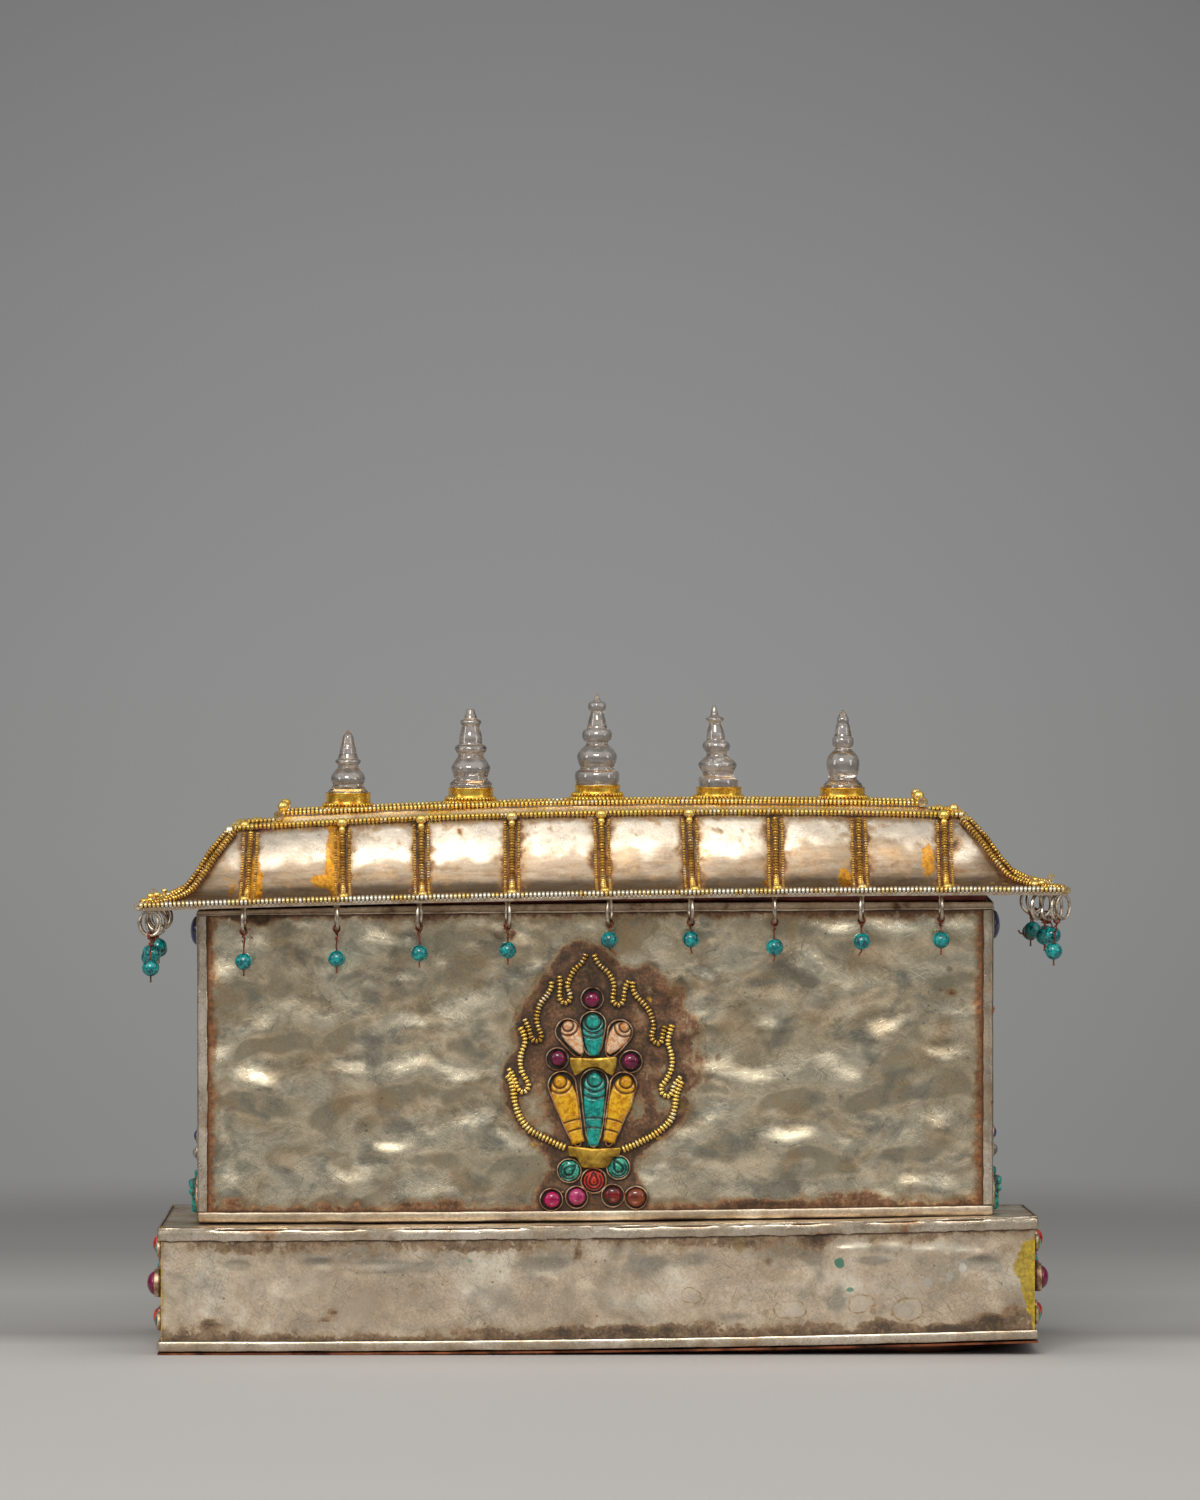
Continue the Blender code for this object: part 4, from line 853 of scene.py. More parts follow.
def bezel_metal():
    f = Finish("bezel_silver")
    n = f.noise(2.4, 4.0, 0.6)
    colour = f.ramp(n, (0.34, lin(146, 104, 78)), (0.5, lin(206, 172, 140)),
                    (0.68, lin(240, 224, 200)))
    dirt = f.span(f.attr("groove"), 0.25, 0.95)
    colour = f.mix(dirt, colour, lin(36, 27, 21))
    return f.done(colour, f.math("ADD", f.math("MULTIPLY", dirt, 0.25), 0.40), 1.0,
                  f.bump(f.noise(0.6, 3.0), 0.06))


def dark_cell():
    f = Finish("tarnished_setting_floor")
    colour = f.ramp(f.noise(1.3, 4.0, 0.6), (0.35, lin(34, 30, 27)), (0.7, lin(78, 72, 64)))
    return f.done(colour, 0.5, 0.7, f.bump(f.noise(0.5, 3.0), 0.08))


def ring_silver():
    f = Finish("silver_ring_wire")
    colour = f.ramp(f.noise(2.0, 4.0, 0.6), (0.34, lin(150, 132, 112)), (0.62, lin(226, 216, 200)))
    return f.done(colour, 0.3, 1.0, f.bump(f.noise(0.7, 3.0), 0.05))


def copper_wire():
    f = Finish("copper_wire")
    colour = f.ramp(f.noise(1.0, 4.0, 0.6), (0.34, lin(78, 42, 32)), (0.66, lin(186, 106, 82)))
    return f.done(colour, 0.42, 0.9, f.bump(f.noise(0.4, 3.0), 0.04))


def copper_sheet():
    f = Finish("copper_bottom_sheet")
    n = f.noise(18.0, 5.0, 0.62, 0.8)
    colour = f.ramp(n, (0.34, lin(58, 36, 28)), (0.5, lin(122, 72, 50)), (0.66, lin(168, 104, 72)))
    colour = f.mix(f.span(f.noise(7.0, 4.0), 0.58, 0.72), colour, lin(48, 34, 28))
    normal = f.bump(f.noise(16.0, 2.0), 0.5)
    normal = f.bump(f.noise(0.9, 4.0), 0.04, 1.0, normal)
    return f.done(colour, f.span(n, 0.3, 0.7, 0.32, 0.52), 0.95, normal)


def red_board():
    f = Finish("dark_red_board")
    n = f.noise(2.2, 5.0, 0.65, where=f.stretch((0.16, 1, 1)))
    colour = f.ramp(n, (0.34, lin(70, 28, 22)), (0.52, lin(134, 62, 48)), (0.68, lin(168, 96, 76)))
    return f.done(colour, 0.62, 0.0, f.bump(n, 0.12))


BEZEL, CELL, RING, COPPER_WIRE = bezel_metal(), dark_cell(), ring_silver(), copper_wire()
COPPER, BOARD = copper_sheet(), red_board()


def band_gilt():
    f = Finish("gilt_band")
    n = f.noise(3.2, 4.0, 0.6, 0.5)
    colour = f.ramp(n, (0.34, lin(116, 84, 36)), (0.50, lin(176, 138, 52)),
                    (0.66, lin(218, 180, 78)))
    fine = f.noise(0.5, 4.0, 0.7)
    colour = f.mix(f.span(fine, 0.60, 0.74), colour, lin(70, 46, 26))
    return f.done(colour, f.span(n, 0.3, 0.7, 0.5, 0.34), 0.85, f.bump(fine, 0.06))


BAND = band_gilt()


# ---------------------------------------------------------------------------
# flame wires, named by their turning points on the front panel
# ---------------------------------------------------------------------------
def panel(px, py):
    """A place on the front panel: right of and below the upper left corner
    of the panel's drawing, in steps of 0.3 mm."""
    return (px - 600.0) * 0.30142 - 0.75, 263.0 - (py - 480.0) * 0.30142


def traced(left, low, step, nodes):
    return [(left + step * u, low - step * v) for u, v in nodes]


UP = (-36.92, 127.36, 0.05767)
FLAMES = {
    "left": (
        ((562, 125), (550, 155), (530, 185), (500, 210), (480, 245), (465, 285), (468, 310),
         (480, 345), (470, 375), (445, 390), (420, 380), (408, 350), (410, 310), (410, 270),
         (407, 238)),
        ((376, 268), (373, 305), (350, 345), (320, 385), (303, 430), (298, 475), (308, 515),
         (322, 550), (318, 575), (292, 585), (268, 570), (258, 535), (245, 500), (228, 465)),
        ((205, 510), (225, 545), (232, 590), (215, 640), (207, 690), (215, 740), (235, 780),
         (250, 810), (240, 840), (215, 845), (195, 820), (185, 790), (170, 760), (150, 722)),
        ((132, 765), (152, 790), (165, 835), (172, 890), (185, 945), (210, 1000), (250, 1050),
         (300, 1080), (350, 1105), (400, 1130), (445, 1150)),
    ),
    "right": (
        ((597, 125), (612, 160), (635, 190), (665, 215), (690, 250), (703, 290), (700, 335),
         (697, 370), (720, 392), (745, 375), (750, 340), (757, 300), (775, 262)),
        ((800, 268), (800, 310), (820, 350), (855, 385), (885, 425), (900, 465), (908, 510),
         (897, 550), (905, 580), (930, 595), (950, 580), (955, 545), (970, 500)),
        ((1008, 495), (995, 540), (985, 590), (1000, 640), (1008, 690), (998, 745), (975, 790),
         (952, 820), (955, 855), (985, 868), (1005, 845), (1015, 810), (1050, 765)),
        ((1065, 795), (1045, 830), (1030, 880), (1022, 940), (1000, 1000), (950, 1050),
         (900, 1085), (850, 1110), (800, 1135), (745, 1158)),
    ),
}
def beside(path, off):
    """The path moved off mm to its right."""
    t = np.gradient(path, axis=0)
    t /= np.linalg.norm(t, axis=1)[:, None]
    return path + off * np.stack([t[:, 1], -t[:, 0]], -1)


FLAME_OFFS = {"left": (0.40, 0.15, -0.15, -0.40), "right": (0.15, 0.0, 0.15, 0.30)}
flame_paths = {side: [beside(rounded(traced(*UP, nodes), 8), off)
                      for nodes, off in zip(runs, FLAME_OFFS[side])]
               for side, runs in FLAMES.items()}
FLAME_POINTS = np.concatenate([p for runs in flame_paths.values() for p in runs])


# ---------------------------------------------------------------------------
# emblem: places in mm on the front panel (x, z)
# ---------------------------------------------------------------------------
def at(u, v):
    """Place on the lower emblem drawing."""
    return panel(530 + u / 9.2235, 1050 + v / 9.2235)


def up(u, v):
    """Place on the upper emblem drawing."""
    return panel(530 + u / 11.2, 970 + v / 11.2)


S_UP, S_AT = 0.30142 / 11.2, 0.30142 / 9.2235

# name: bezel centre, bezel radius, stone centre, stone radius, finish, slot
ROUND_STONES = {
    "ruby_top": (up(697, 322), 128 * S_UP, up(693, 333), 83 * S_UP, RUBY, "ruby"),
    "ruby_side_left": (up(305, 1000), 128 * S_UP, up(312, 995), 84 * S_UP, RUBY, "ruby"),
    "ruby_side_right": (up(1130, 1030), 130 * S_UP, up(1128, 1030), 88 * S_UP, RUBY, "ruby"),
    "magenta_stone": (at(196, 1388), 107 * S_AT, at(203, 1388), 74 * S_AT, MAGENTA, "ruby"),
    "pink_stone": (at(430, 1365), 106 * S_AT, at(432, 1362), 77 * S_AT, PINK, "ruby"),
    "garnet_stone": (at(765, 1350), 108 * S_AT, at(765, 1344), 77 * S_AT, GARNET, "garnet"),
    "brown_stone": (at(978, 1370), 108 * S_AT, at(980, 1368), 84 * S_AT, BROWN_STONE, "garnet"),
}
CARVED_ROUNDS = {
    "green_stone_left": (at(362, 1120), 114 * S_AT, 96 * S_AT, (0.80, 0.62), GREEN,
                         "green_stone"),
    "green_stone_right": (at(814, 1090), 112 * S_AT, 96 * S_AT, (-0.50, 0.86), GREEN,
                          "green_stone"),
    "red_stone_middle": (at(588, 1212), 121 * S_AT, 94 * S_AT, (0.0, 1.0), CORAL, "coral"),
}


LEAF_BEZELS = {
    # name: head centre, radius, tail centre, tail half width
    "turquoise_petal_upper": (up(702, 610), 150 * S_UP, up(702, 968), 92 * S_UP),
    "shell_petal_left": (up(425, 690), 146 * S_UP, up(565, 985), 52 * S_UP),
    "shell_petal_right": (up(1008, 700), 146 * S_UP, up(880, 985), 60 * S_UP),
    "turquoise_petal_lower": (at(592, 305), 133 * S_AT, at(585, 905), 66 * S_AT),
    "yellow_petal_left": (at(296, 330), 134 * S_AT, at(450, 900), 58 * S_AT),
    "yellow_petal_right": (at(862, 330), 128 * S_AT, at(718, 900), 56 * S_AT),
}


# ---------------------------------------------------------------------------
# stains, painted highlights and shade, and relief of the sheets
# ---------------------------------------------------------------------------
def near(x, z, points):
    """Distance from each (x, z) to the nearest of some points."""
    best = np.full(np.shape(x), 1e9)
    for px, pz in points:
        best = np.minimum(best, (x - px) ** 2 + (z - pz) ** 2)
    return np.sqrt(best)


def within(x, z, outline):
    """Signed distance to a closed outline, positive inside."""
    pts = np.asarray(outline, float)
    best = np.full(np.shape(x), 1e9)
    inside = np.zeros(np.shape(x), bool)
    for (ax, az), (bx, bz) in zip(pts, np.roll(pts, -1, axis=0)):
        dx, dz = bx - ax, bz - az
        t = np.clip(((x - ax) * dx + (z - az) * dz) / (dx * dx + dz * dz), 0, 1)
        best = np.minimum(best, np.hypot(x - ax - t * dx, z - az - t * dz))
        crossing = (az > z) != (bz > z)
        at_x = ax + (z - az) * dx / (dz if abs(dz) > 1e-9 else 1e-9)
        inside ^= crossing & (x < at_x)
    return np.where(inside, best, -best)


def spots(x, z, places, step=0.30142):
    """Soft patches: (picture x, picture y, radius x, radius y, amount)."""
    total = np.zeros(np.shape(x))
    for px, py, rx, ry, amount in places:
        cx, cz = (px - 600.0) * step - 0.75, 263.0 - (py - 480.0) * step
        d = ((x - cx) / (rx * 0.3)) ** 2 + ((z - cz) / (ry * 0.3)) ** 2
        total = total + amount * np.exp(-d * 1.2)
    return total


# the solder's brown margin round the emblem, from its top point rightwards
MARGIN = [panel(*p) for p in (
    (588, 939), (606, 948), (622, 966), (636, 968), (648, 964), (664, 974), (676, 976), (690, 988),
    (688, 1006), (706, 1028), (702, 1050), (710, 1076), (692, 1094), (694, 1108), (678, 1129),
    (654, 1148), (636, 1164), (640, 1180), (652, 1202), (650, 1216), (536, 1216), (534, 1196),
    (540, 1182), (549, 1172), (546, 1158), (532, 1146), (516, 1130), (504, 1107), (500, 1084),
    (502, 1066), (512, 1050), (513, 1024), (521, 1006), (536, 984), (552, 960), (562, 946),
    (574, 940))]
# hammer blows seen on the front: each leaves a bright upper lip
BLOWS = ((268, 944, 22, 9, 1), (367, 937, 34, 10, 1), (410, 942, 30, 8, .9), (330, 960, 16, 16, .6),
         (442, 963, 10, 6, .8), (464, 948, 22, 7, .7), (531, 940, 24, 7, .8), (274, 1010, 26, 12, .9),
         (272, 1031, 14, 9, 1), (367, 1032, 20, 9, 1), (402, 977, 18, 7, .5), (484, 1037, 10, 9, .8),
         (437, 1066, 24, 8, .8), (466, 1079, 24, 10, .9), (250, 1072, 12, 10, .8),
         (277, 1091, 20, 7, .8), (322, 1094, 12, 8, .7), (256, 1140, 22, 16, .9),
         (300, 1172, 24, 18, .8), (338, 1188, 20, 8, .7), (386, 1148, 14, 4, .8),
         (500, 1133, 8, 6, .7), (233, 1180, 14, 12, .6), (470, 1195, 26, 6, .6),
         (658, 938, 12, 10, .9), (715, 947, 34, 9, .8), (800, 944, 26, 12, .8),
         (868, 928, 40, 8, .8), (884, 1034, 26, 10, 1.1), (936, 1052, 18, 7, .8),
         (772, 1026, 22, 8, .6), (830, 1057, 14, 6, .6), (749, 1077, 20, 8, .9),
         (857, 1081, 16, 6, .7), (921, 1108, 34, 12, 1.0), (861, 1123, 16, 6, .8),
         (800, 1136, 26, 10, .8), (835, 1143, 22, 8, .9), (805, 1162, 14, 7, .8),
         (875, 1163, 22, 6, .7), (904, 1180, 10, 7, .8), (935, 1187, 30, 10, .8),
         (715, 1103, 16, 9, .5), (925, 1143, 10, 6, .6))


def blow_relief(x, z):
    """Each blow: sheet pushed out below its bright lip, sunk above it."""
    total = np.zeros(np.shape(x))
    for px, py, rx, ry, amount in BLOWS:
        cx, cz = panel(px, py)
        u, v = (x - cx) / (rx * 0.36), (z - cz + 0.10 * (x - cx)) / (ry * 0.46)
        total = total - amount * 0.60 * np.tanh(v) * np.exp(-u * u - 0.35 * v * v)
    return total


def dents(u, z, seed=77, wide=22.0, tall=16.0):
    """Shallow hammered hollows with soft ridges between them, about 0 in a
    hollow and 1 on a ridge."""
    r = np.random.default_rng(seed)
    total = np.zeros(np.shape(u))
    lean = 0.35 * np.sin(np.asarray(z) / 23.0)
    su = u + lean * z * 0.4
    for i in range(-14, 15):
        for j in range(1, 12):
            cu = (i + 0.5 * (j % 2) + r.uniform(-0.34, 0.34)) * wide
            cz = (j + 1.5 + r.uniform(-0.34, 0.34)) * tall
            size = r.uniform(0.42, 0.66)
            d = ((su - cu) / (wide * size)) ** 2 + ((z - cz) / (tall * size)) ** 2
            total = total + np.exp(-2.6 * d)
    return np.clip(-np.log(total + 0.02) / 2.6, 0, 1.3)


def hammer(x, y, z, side):
    """Hammer marks of the body sheet, in mm outwards."""
    u = np.where((side == 0) | (side == 2), x, y + 210.0 * side)
    q = np.stack([x + 0.45 * z, y, z * 0.90 - 0.10 * x], -1)
    r = 0.82 * (dents(u, z) - 0.45) + 0.94 * cloud(q, 27.0, 3, 2, 0.4) + 0.38 * cloud(
        q + 50, 10.5, 4, 2, 0.45)
    emblem = np.clip(((x + 2.9) / 30) ** 2 + ((z - 83) / 42) ** 2, 0, 1) ** 2
    return np.where(side == 0, (r + blow_relief(x, z)) * (0.12 + 0.88 * emblem), r)


def within_emblem(x, z):
    """Roughly how far a place lies from the nearest setting, in mm."""
    best = np.full(np.shape(x), 99.0)
    for _, (c, r, *more) in ROUND_STONES.items():
        best = np.minimum(best, np.hypot(x - c[0], z - c[1]) - r)
    for _, (c, r, *more) in CARVED_ROUNDS.items():
        best = np.minimum(best, np.hypot(x - c[0], z - c[1]) - r)
    for _, (head, r, tail, w) in LEAF_BEZELS.items():
        h, t = np.array(head), np.array(tail)
        d = t - h
        k = np.clip(((x - h[0]) * d[0] + (z - h[1]) * d[1]) / (d @ d), 0, 1)
        best = np.minimum(best, np.hypot(x - h[0] - k * d[0], z - h[1] - k * d[1])
                          - (r + (w - r) * k))
    return np.maximum(best, 0.0)


def body_marks(p, side):
    """Vertex values of the body sheet."""
    x, y, z = p[..., 0], p[..., 1], p[..., 2]
    wave = cloud(p, 9.0, 5, 2)
    wave2 = cloud(p, 24.0, 9, 2)
    half_x = BODY_W / 2 - BODY_STRIP - GAP
    edge_x = np.where((side == 0) | (side == 2), half_x - np.abs(x - BODY_CX),
                      BODY_D / 2 - 1 - np.abs(y)) - CORNER_STRIP_W + 1
    low = z - body_foot(x, y) - BODY_FOOT_STRIP_H
    high = head_line(x) - z
    fall = (lambda d, w: np.clip(1.0 - d / np.maximum(w, 0.8), 0, 1.2))
    stain = np.maximum.reduce([fall(edge_x, 5.0 + 4 * wave), fall(low, 5.6 + 5 * wave2 + 4 * wave),
                               fall(high, 5.0 + 8 * wave2 + 3 * wave)]) * 0.92
    dark = np.maximum.reduce([fall(edge_x, 1.5), fall(high, 1.3), fall(low, 0.9)]) * 0.85
    front = side == 0
    shade = 0.10 * wave2
    d_wire = near(x, z, FLAME_POINTS[::2])
    margin = within(x, z, MARGIN)
    halo = np.clip(0.56 + margin / 3.4, 0, 0.98)
    clean = spots(x, z, ((533, 1106, 15, 22, .62), (664, 1100, 10, 20, .62), (560, 1020, 8, 26, .25),
                         (636, 1108, 10, 22, .45), (545, 1130, 14, 8, .4), (650, 1072, 14, 8, .35),
                         (676, 1030, 12, 8, .25), (620, 985, 10, 10, .2), (524, 1086, 10, 10, .35),
                         (640, 1020, 10, 8, .25)))
    halo = np.clip(halo - clean - spots(x, z, (
        (690, 1000, 18, 30, .28), (696, 1060, 13, 30, .30), (684, 1100, 12, 18, .22),
        (668, 982, 16, 10, .26),
        (516, 1040, 5, 30, .12), (600, 1000, 22, 30, -.10))), 0, 1)
    halo = np.maximum(halo, fall(d_wire, 3.2) * 0.95)
    dark = np.where(front, np.maximum(dark, np.clip(1.0 - (d_wire - 0.6) / (
        2.8 + 1.8 * wave), 0, 1) * 0.86), dark)
    stones = np.minimum(within_emblem(x, z), 9.0)
    dark = np.where(front, np.maximum(dark, np.clip(1.0 - stones / 2.2, 0, 1) * 0.80), dark)
    stain = np.where(front, np.maximum(stain, halo), stain)
    extra = spots(x, z, ((262, 921, 7, 6, 1), (513, 935, 8, 7, 1), (952, 993, 8, 5, 1),
                         (470, 1023, 3, 3, .8), (718, 1058, 3, 4, .9),
                         (482, 1047, 4, 4, .7), (690, 935, 26, 8, .35), (250, 915, 30, 8, .35),
                         (640, 960, 14, 8, .15), (845, 1196, 70, 7, .5),
                         (240, 1200, 26, 7, .5), (420, 1203, 50, 6, .5), (760, 1204, 60, 6, .5)))
    stain = np.where(front, np.clip(stain + extra, 0, 1.2), stain)
    gild = np.where(front, spots(x, z, (
        (535, 1147, 14, 7, .62), (660, 1140, 10, 14, .55), (655, 1165, 10, 6, .5),
        (520, 975, 4, 12, .5), (649, 1000, 5, 12, .6), (560, 962, 6, 5, .5),
        (668, 1178, 6, 8, .45), (497, 1050, 3, 10, .42), (408, 1064, 8, 7, .40),
        (530, 1105, 7, 7, .42), (980, 970, 3, 12, .6))), 0)
    # broad darker and brighter areas of the front
    shade = shade + np.where(front, spots(x, z, (
        (247, 962, 26, 16, .22), (240, 1000, 14, 30, .10), (327, 1042, 26, 20, .16),
        (448, 1000, 36, 34, .16), (345, 1140, 30, 20, .12), (408, 1182, 36, 14, .18),
        (650, 930, 26, 8, .25), (720, 962, 26, 9, .16), (800, 962, 40, 14, .12),
        (870, 985, 40, 30, .10), (940, 970, 16, 20, .14), (700, 1030, 26, 16, .12),
        (762, 1150, 40, 14, .14), (924, 1150, 26, 16, .18), (690, 1150, 14, 14, .12),
        (840, 1172, 30, 8, .14), (505, 1010, 14, 20, .10))), 0)
    # painted highlight (bright) on hammer flanks that face upwards and painted
    # shade (shade) on those facing downwards, as the overhead light falls; the
    # lower sheet is painted lighter, a painted reflection of the floor
    step = 0.7
    up_tilt = -(hammer(x, y, z + step, side) - hammer(x, y, z - step, side)) / (2 * step)
    across = (hammer(x + step, y, z, side) - hammer(x - step, y, z, side)) / (2 * step)
    lit = up_tilt + 0.45 * across + 0.20 * cloud(p, 16.0, 8, 3, 0.55) + 0.16 * cloud(
        p, 40.0, 6, 2, 0.5)
    bright = smooth(-0.05, 0.10, lit) * 0.95
    bright = np.clip(bright + 0.38 * smooth(100, 50, z) + 0.10, 0, 1)
    shade = shade + smooth(-0.03, 0.20, -lit) * 0.54 - 0.11
    bright = bright * np.clip(1.2 - 1.5 * stain, 0, 1)
    rust = np.maximum(fall(edge_x - 0.8, 3.4 + 3 * wave) * 0.85, fall(low, 2.6 + 2 * wave) * 0.5)
    rust = np.maximum(rust, np.where(front, 0.52 * np.exp(-((margin + 0.6) / 1.1) ** 2), 0))
    rust = np.maximum(rust, np.where(front, spots(x, z, (
        (215, 1040, 5, 60, .6), (213, 925, 8, 12, .8), (974, 1100, 4, 60, .5),
        (950, 992, 7, 4, .7), (640, 1212, 90, 3, .4))), 0))
    return {"stain": stain.ravel(), "dark": dark.ravel(), "shade": shade.ravel(),
            "gild": gild.ravel(), "bright": bright.ravel(), "rust": rust.ravel()}


def body_relief(p, side):
    """Hammer marks, in mm outwards."""
    r = hammer(p[..., 0], p[..., 1], p[..., 2], side)
    return np.where(r > 0, 0.62 * np.tanh(r / 0.62), 0.85 * np.tanh(r / 0.85))


def base_relief(p, side):
    x, z = p[..., 0], p[..., 2]
    r = 0.56 * cloud(p, 24.0, 13, 2, 0.5) + 0.22 * cloud(p, 8.5, 14, 2, 0.5)
    # a crease under the top strip at the right, where the sheet caught
    cx = np.linspace(845, 980, 9)
    crease = sum(spots(x, z, ((q, 1252 - 4 * math.sin((q - 845) / 24.0) + 1.6 * math.sin(q / 5.0),
                               8, 2.9 + 0.7 * math.sin(q / 9.0), .42 + .12 * math.sin(q / 7.0)),),
                       0.3) for q in cx)
    hollow = spots(x, z, ((800, 1262, 18, 12, .5), (980, 1262, 26, 8, .5), (370, 1264, 34, 6, .5),
                          (235, 1265, 14, 4, .5), (320, 1264, 12, 4, .4), (545, 1267, 20, 8, .4)),
                   0.3)
    r = r + np.where(side == 0, 1.15 * crease - 1.0 * hollow, 0)
    return np.where(r > 0, 0.62 * np.tanh(r / 0.62), 0.6 * np.tanh(r / 0.6))


def base_marks(p, side):
    x, y, z = p[..., 0], p[..., 1], p[..., 2]
    wave = cloud(p, 9.0, 25, 2)
    wave2 = cloud(p, 26.0, 29, 2)
    half_x = BASE_W / 2 - 1.0
    edge_x = np.where((side == 0) | (side == 2), half_x - np.abs(x - BASE_CX),
                      BASE_D / 2 - 1 - np.abs(y))
    high = base_top(x, y) - TOP_STRIP_H - z
    low = z - base_foot(x, y) - FOOT_STRIP_H
    fall = (lambda d, w: np.clip(1.0 - d / np.maximum(w, 0.8), 0, 1.2))
    stain = np.maximum.reduce([fall(edge_x, 2.5 + 2 * wave) * 0.7,
                               fall(high, 7.5 + 9 * wave2 + 5 * wave) * 0.76,
                               fall(low, 6.6 + 5 * wave2 + 6 * wave) * 0.97])
    dark = np.clip(np.maximum(fall(high, 1.4), fall(low, 0.7) * 0.8), 0, 1) * 0.80
    front = side == 0

    def marks(places):
        return np.where(front, spots(x, z, places, 0.3), 0)

    stain = stain + marks((
        (208, 1325, 14, 7, .85), (332, 1314, 7, 5, .95), (322, 1322, 10, 4, .95),
        (390, 1319, 5, 3, .85), (268, 1318, 3, 4, .6), (480, 1332, 30, 6, .5),
        (640, 1330, 70, 7, .65), (560, 1333, 20, 5, .5), (860, 1326, 60, 6, .5),
        (995, 1322, 16, 9, .8), (950, 1330, 24, 5, .6), (578, 1257, 5, 8, .8),
        (768, 1263, 5, 4, .8), (1010, 1250, 14, 8, .4), (820, 1240, 16, 16, .55),
        (730, 1246, 50, 6, .4), (1020, 1312, 14, 8, .4), (470, 1250, 60, 7, .3),
        (250, 1252, 60, 7, .3), (282, 1280, 3, 3, .5), (302, 1286, 3, 3, .6),
        (445, 1320, 4, 3, .5), (466, 1308, 3, 2, .5), (880, 1320, 12, 7, .6)))
    shade = 0.05 + 0.20 * wave2 + 0.20 * np.clip(1 - high / 9.0, 0, 1)
    gild = np.where(front, np.maximum(
        spots(x, z, ((1032, 1252, 12, 13, 1.3), (1026, 1268, 15, 10, 1.2), (1031, 1284, 11, 14, 1.3),
                     (1034, 1304, 8, 14, 1.2), (1035, 1330, 3, 16, .7),
                     (782, 1312, 7, 8, .62), (905, 1304, 5, 9, .45)), 0.3),
        0.75 * fall(x + 133.0, 1.6)), 0)
    gild = np.where((side == 1) & (np.abs(y) > 42), 0.55 + wave, gild)
    gild = np.where((side == 3) & (np.abs(y) > 42), 0.55 + wave, gild)
    # painted shade in the hollows of the creases and dents under the top strip, and darker smudges lower down
    shade = shade + marks((
        (372, 1269, 30, 4.5, .75), (236, 1267, 12, 4, .75), (318, 1264, 12, 4, .7),
        (545, 1266, 20, 6, .65), (700, 1262, 26, 7, .40), (812, 1258, 10, 14, .55),
        (822, 1274, 8, 12, .40), (834, 1304, 12, 14, .40), (982, 1264, 16, 8, .55),
        (872, 1262, 18, 4, .5), (995, 1268, 10, 6, .4), (655, 1264, 12, 5, .3),
        (410, 1268, 26, 5, .45), (740, 1318, 24, 6, .35), (840, 1285, 8, 22, .3),
        (500, 1300, 30, 12, .12), (640, 1270, 30, 10, .15)))
    # painted highlights on the ridges of the creases and dents under the top strip, and broad paler patches
    bright = marks((
        (372, 1261, 26, 4, .8), (400, 1266, 18, 3, .6), (905, 1250, 30, 3.6, 1.3),
        (940, 1247, 14, 3.2, 1.3), (962, 1250, 14, 3.2, 1.1), (868, 1247, 20, 3.4, 1.2),
        (890, 1258, 20, 3.0, .8), (236, 1258, 16, 3.4, .9), (318, 1257, 14, 3.4, .9),
        (548, 1258, 16, 4.0, .7),
        (520, 1262, 14, 8, .6), (310, 1290, 60, 16, .35), (640, 1300, 60, 14, .35),
        (900, 1290, 30, 14, .4), (960, 1262, 16, 8, .3), (180, 1300, 20, 30, .3)))
    rust = marks(((1012, 1309, 12, 9, .62), (1000, 1318, 8, 5, .5), (820, 1245, 8, 10, .5),
                  (770, 1246, 20, 4, .45), (540, 1338, 60, 3, .5), (430, 1340, 60, 3, .5),
                  (960, 1334, 40, 3, .5), (640, 1262, 14, 4, .3), (828, 1280, 4, 14, .35)))
    return {"stain": stain.ravel(), "dark": dark.ravel(), "shade": shade.ravel(),
            "gild": gild.ravel(), "bright": bright.ravel(), "rust": rust.ravel()}


def around(x0, x1, y0, y1, nx, ny):
    """Points round a rectangle from the front left, with side numbers and
    outward directions."""
    fx, fy = np.arange(nx) / nx, np.arange(ny) / ny
    x = np.concatenate([x0 + (x1 - x0) * fx, np.full(ny, x1), x1 + (x0 - x1) * fx,
                        np.full(ny, x0)])
    y = np.concatenate([np.full(nx, y0), y0 + (y1 - y0) * fy, np.full(nx, y1),
                        y1 + (y0 - y1) * fy])
    side = np.repeat([0, 1, 2, 3], [nx, ny, nx, ny])
    out = np.array([(0, -1), (1, 0), (0, 1), (-1, 0)], float)[side]
    return x, y, side, out


def sheet_walls(part, cx, width, depth, wall, nx, ny, nz, low, high, relief, marks, hold=3.5):
    """Four hammered walls; returns the ring for caps at either end."""
    x0, x1, y0, y1 = cx - width / 2, cx + width / 2, -depth / 2, depth / 2
    x, y, side, out = around(x0, x1, y0, y1, nx, ny)
    v = np.linspace(0, 1, nz + 1)[:, None]
    lo, hi = low(x, y)[None], high(x, y)[None]
    z = lo + (hi - lo) * v
    pts = np.stack([np.broadcast_to(x, z.shape), np.broadcast_to(y, z.shape), z], -1)
    sides = np.broadcast_to(side, z.shape)
    along = np.where((side == 0) | (side == 2), np.minimum(x - x0, x1 - x),
                     np.minimum(y - y0, y1 - y))
    fade = smooth(0, hold, along)[None] * smooth(0, hold, z - lo) * smooth(0, hold, hi - z)
    push = relief(pts, sides) * fade
    outer = pts.copy()
    outer[..., 0] += push * out[:, 0]
    outer[..., 1] += push * out[:, 1]
    return outer, sides, (x, y, side, out)


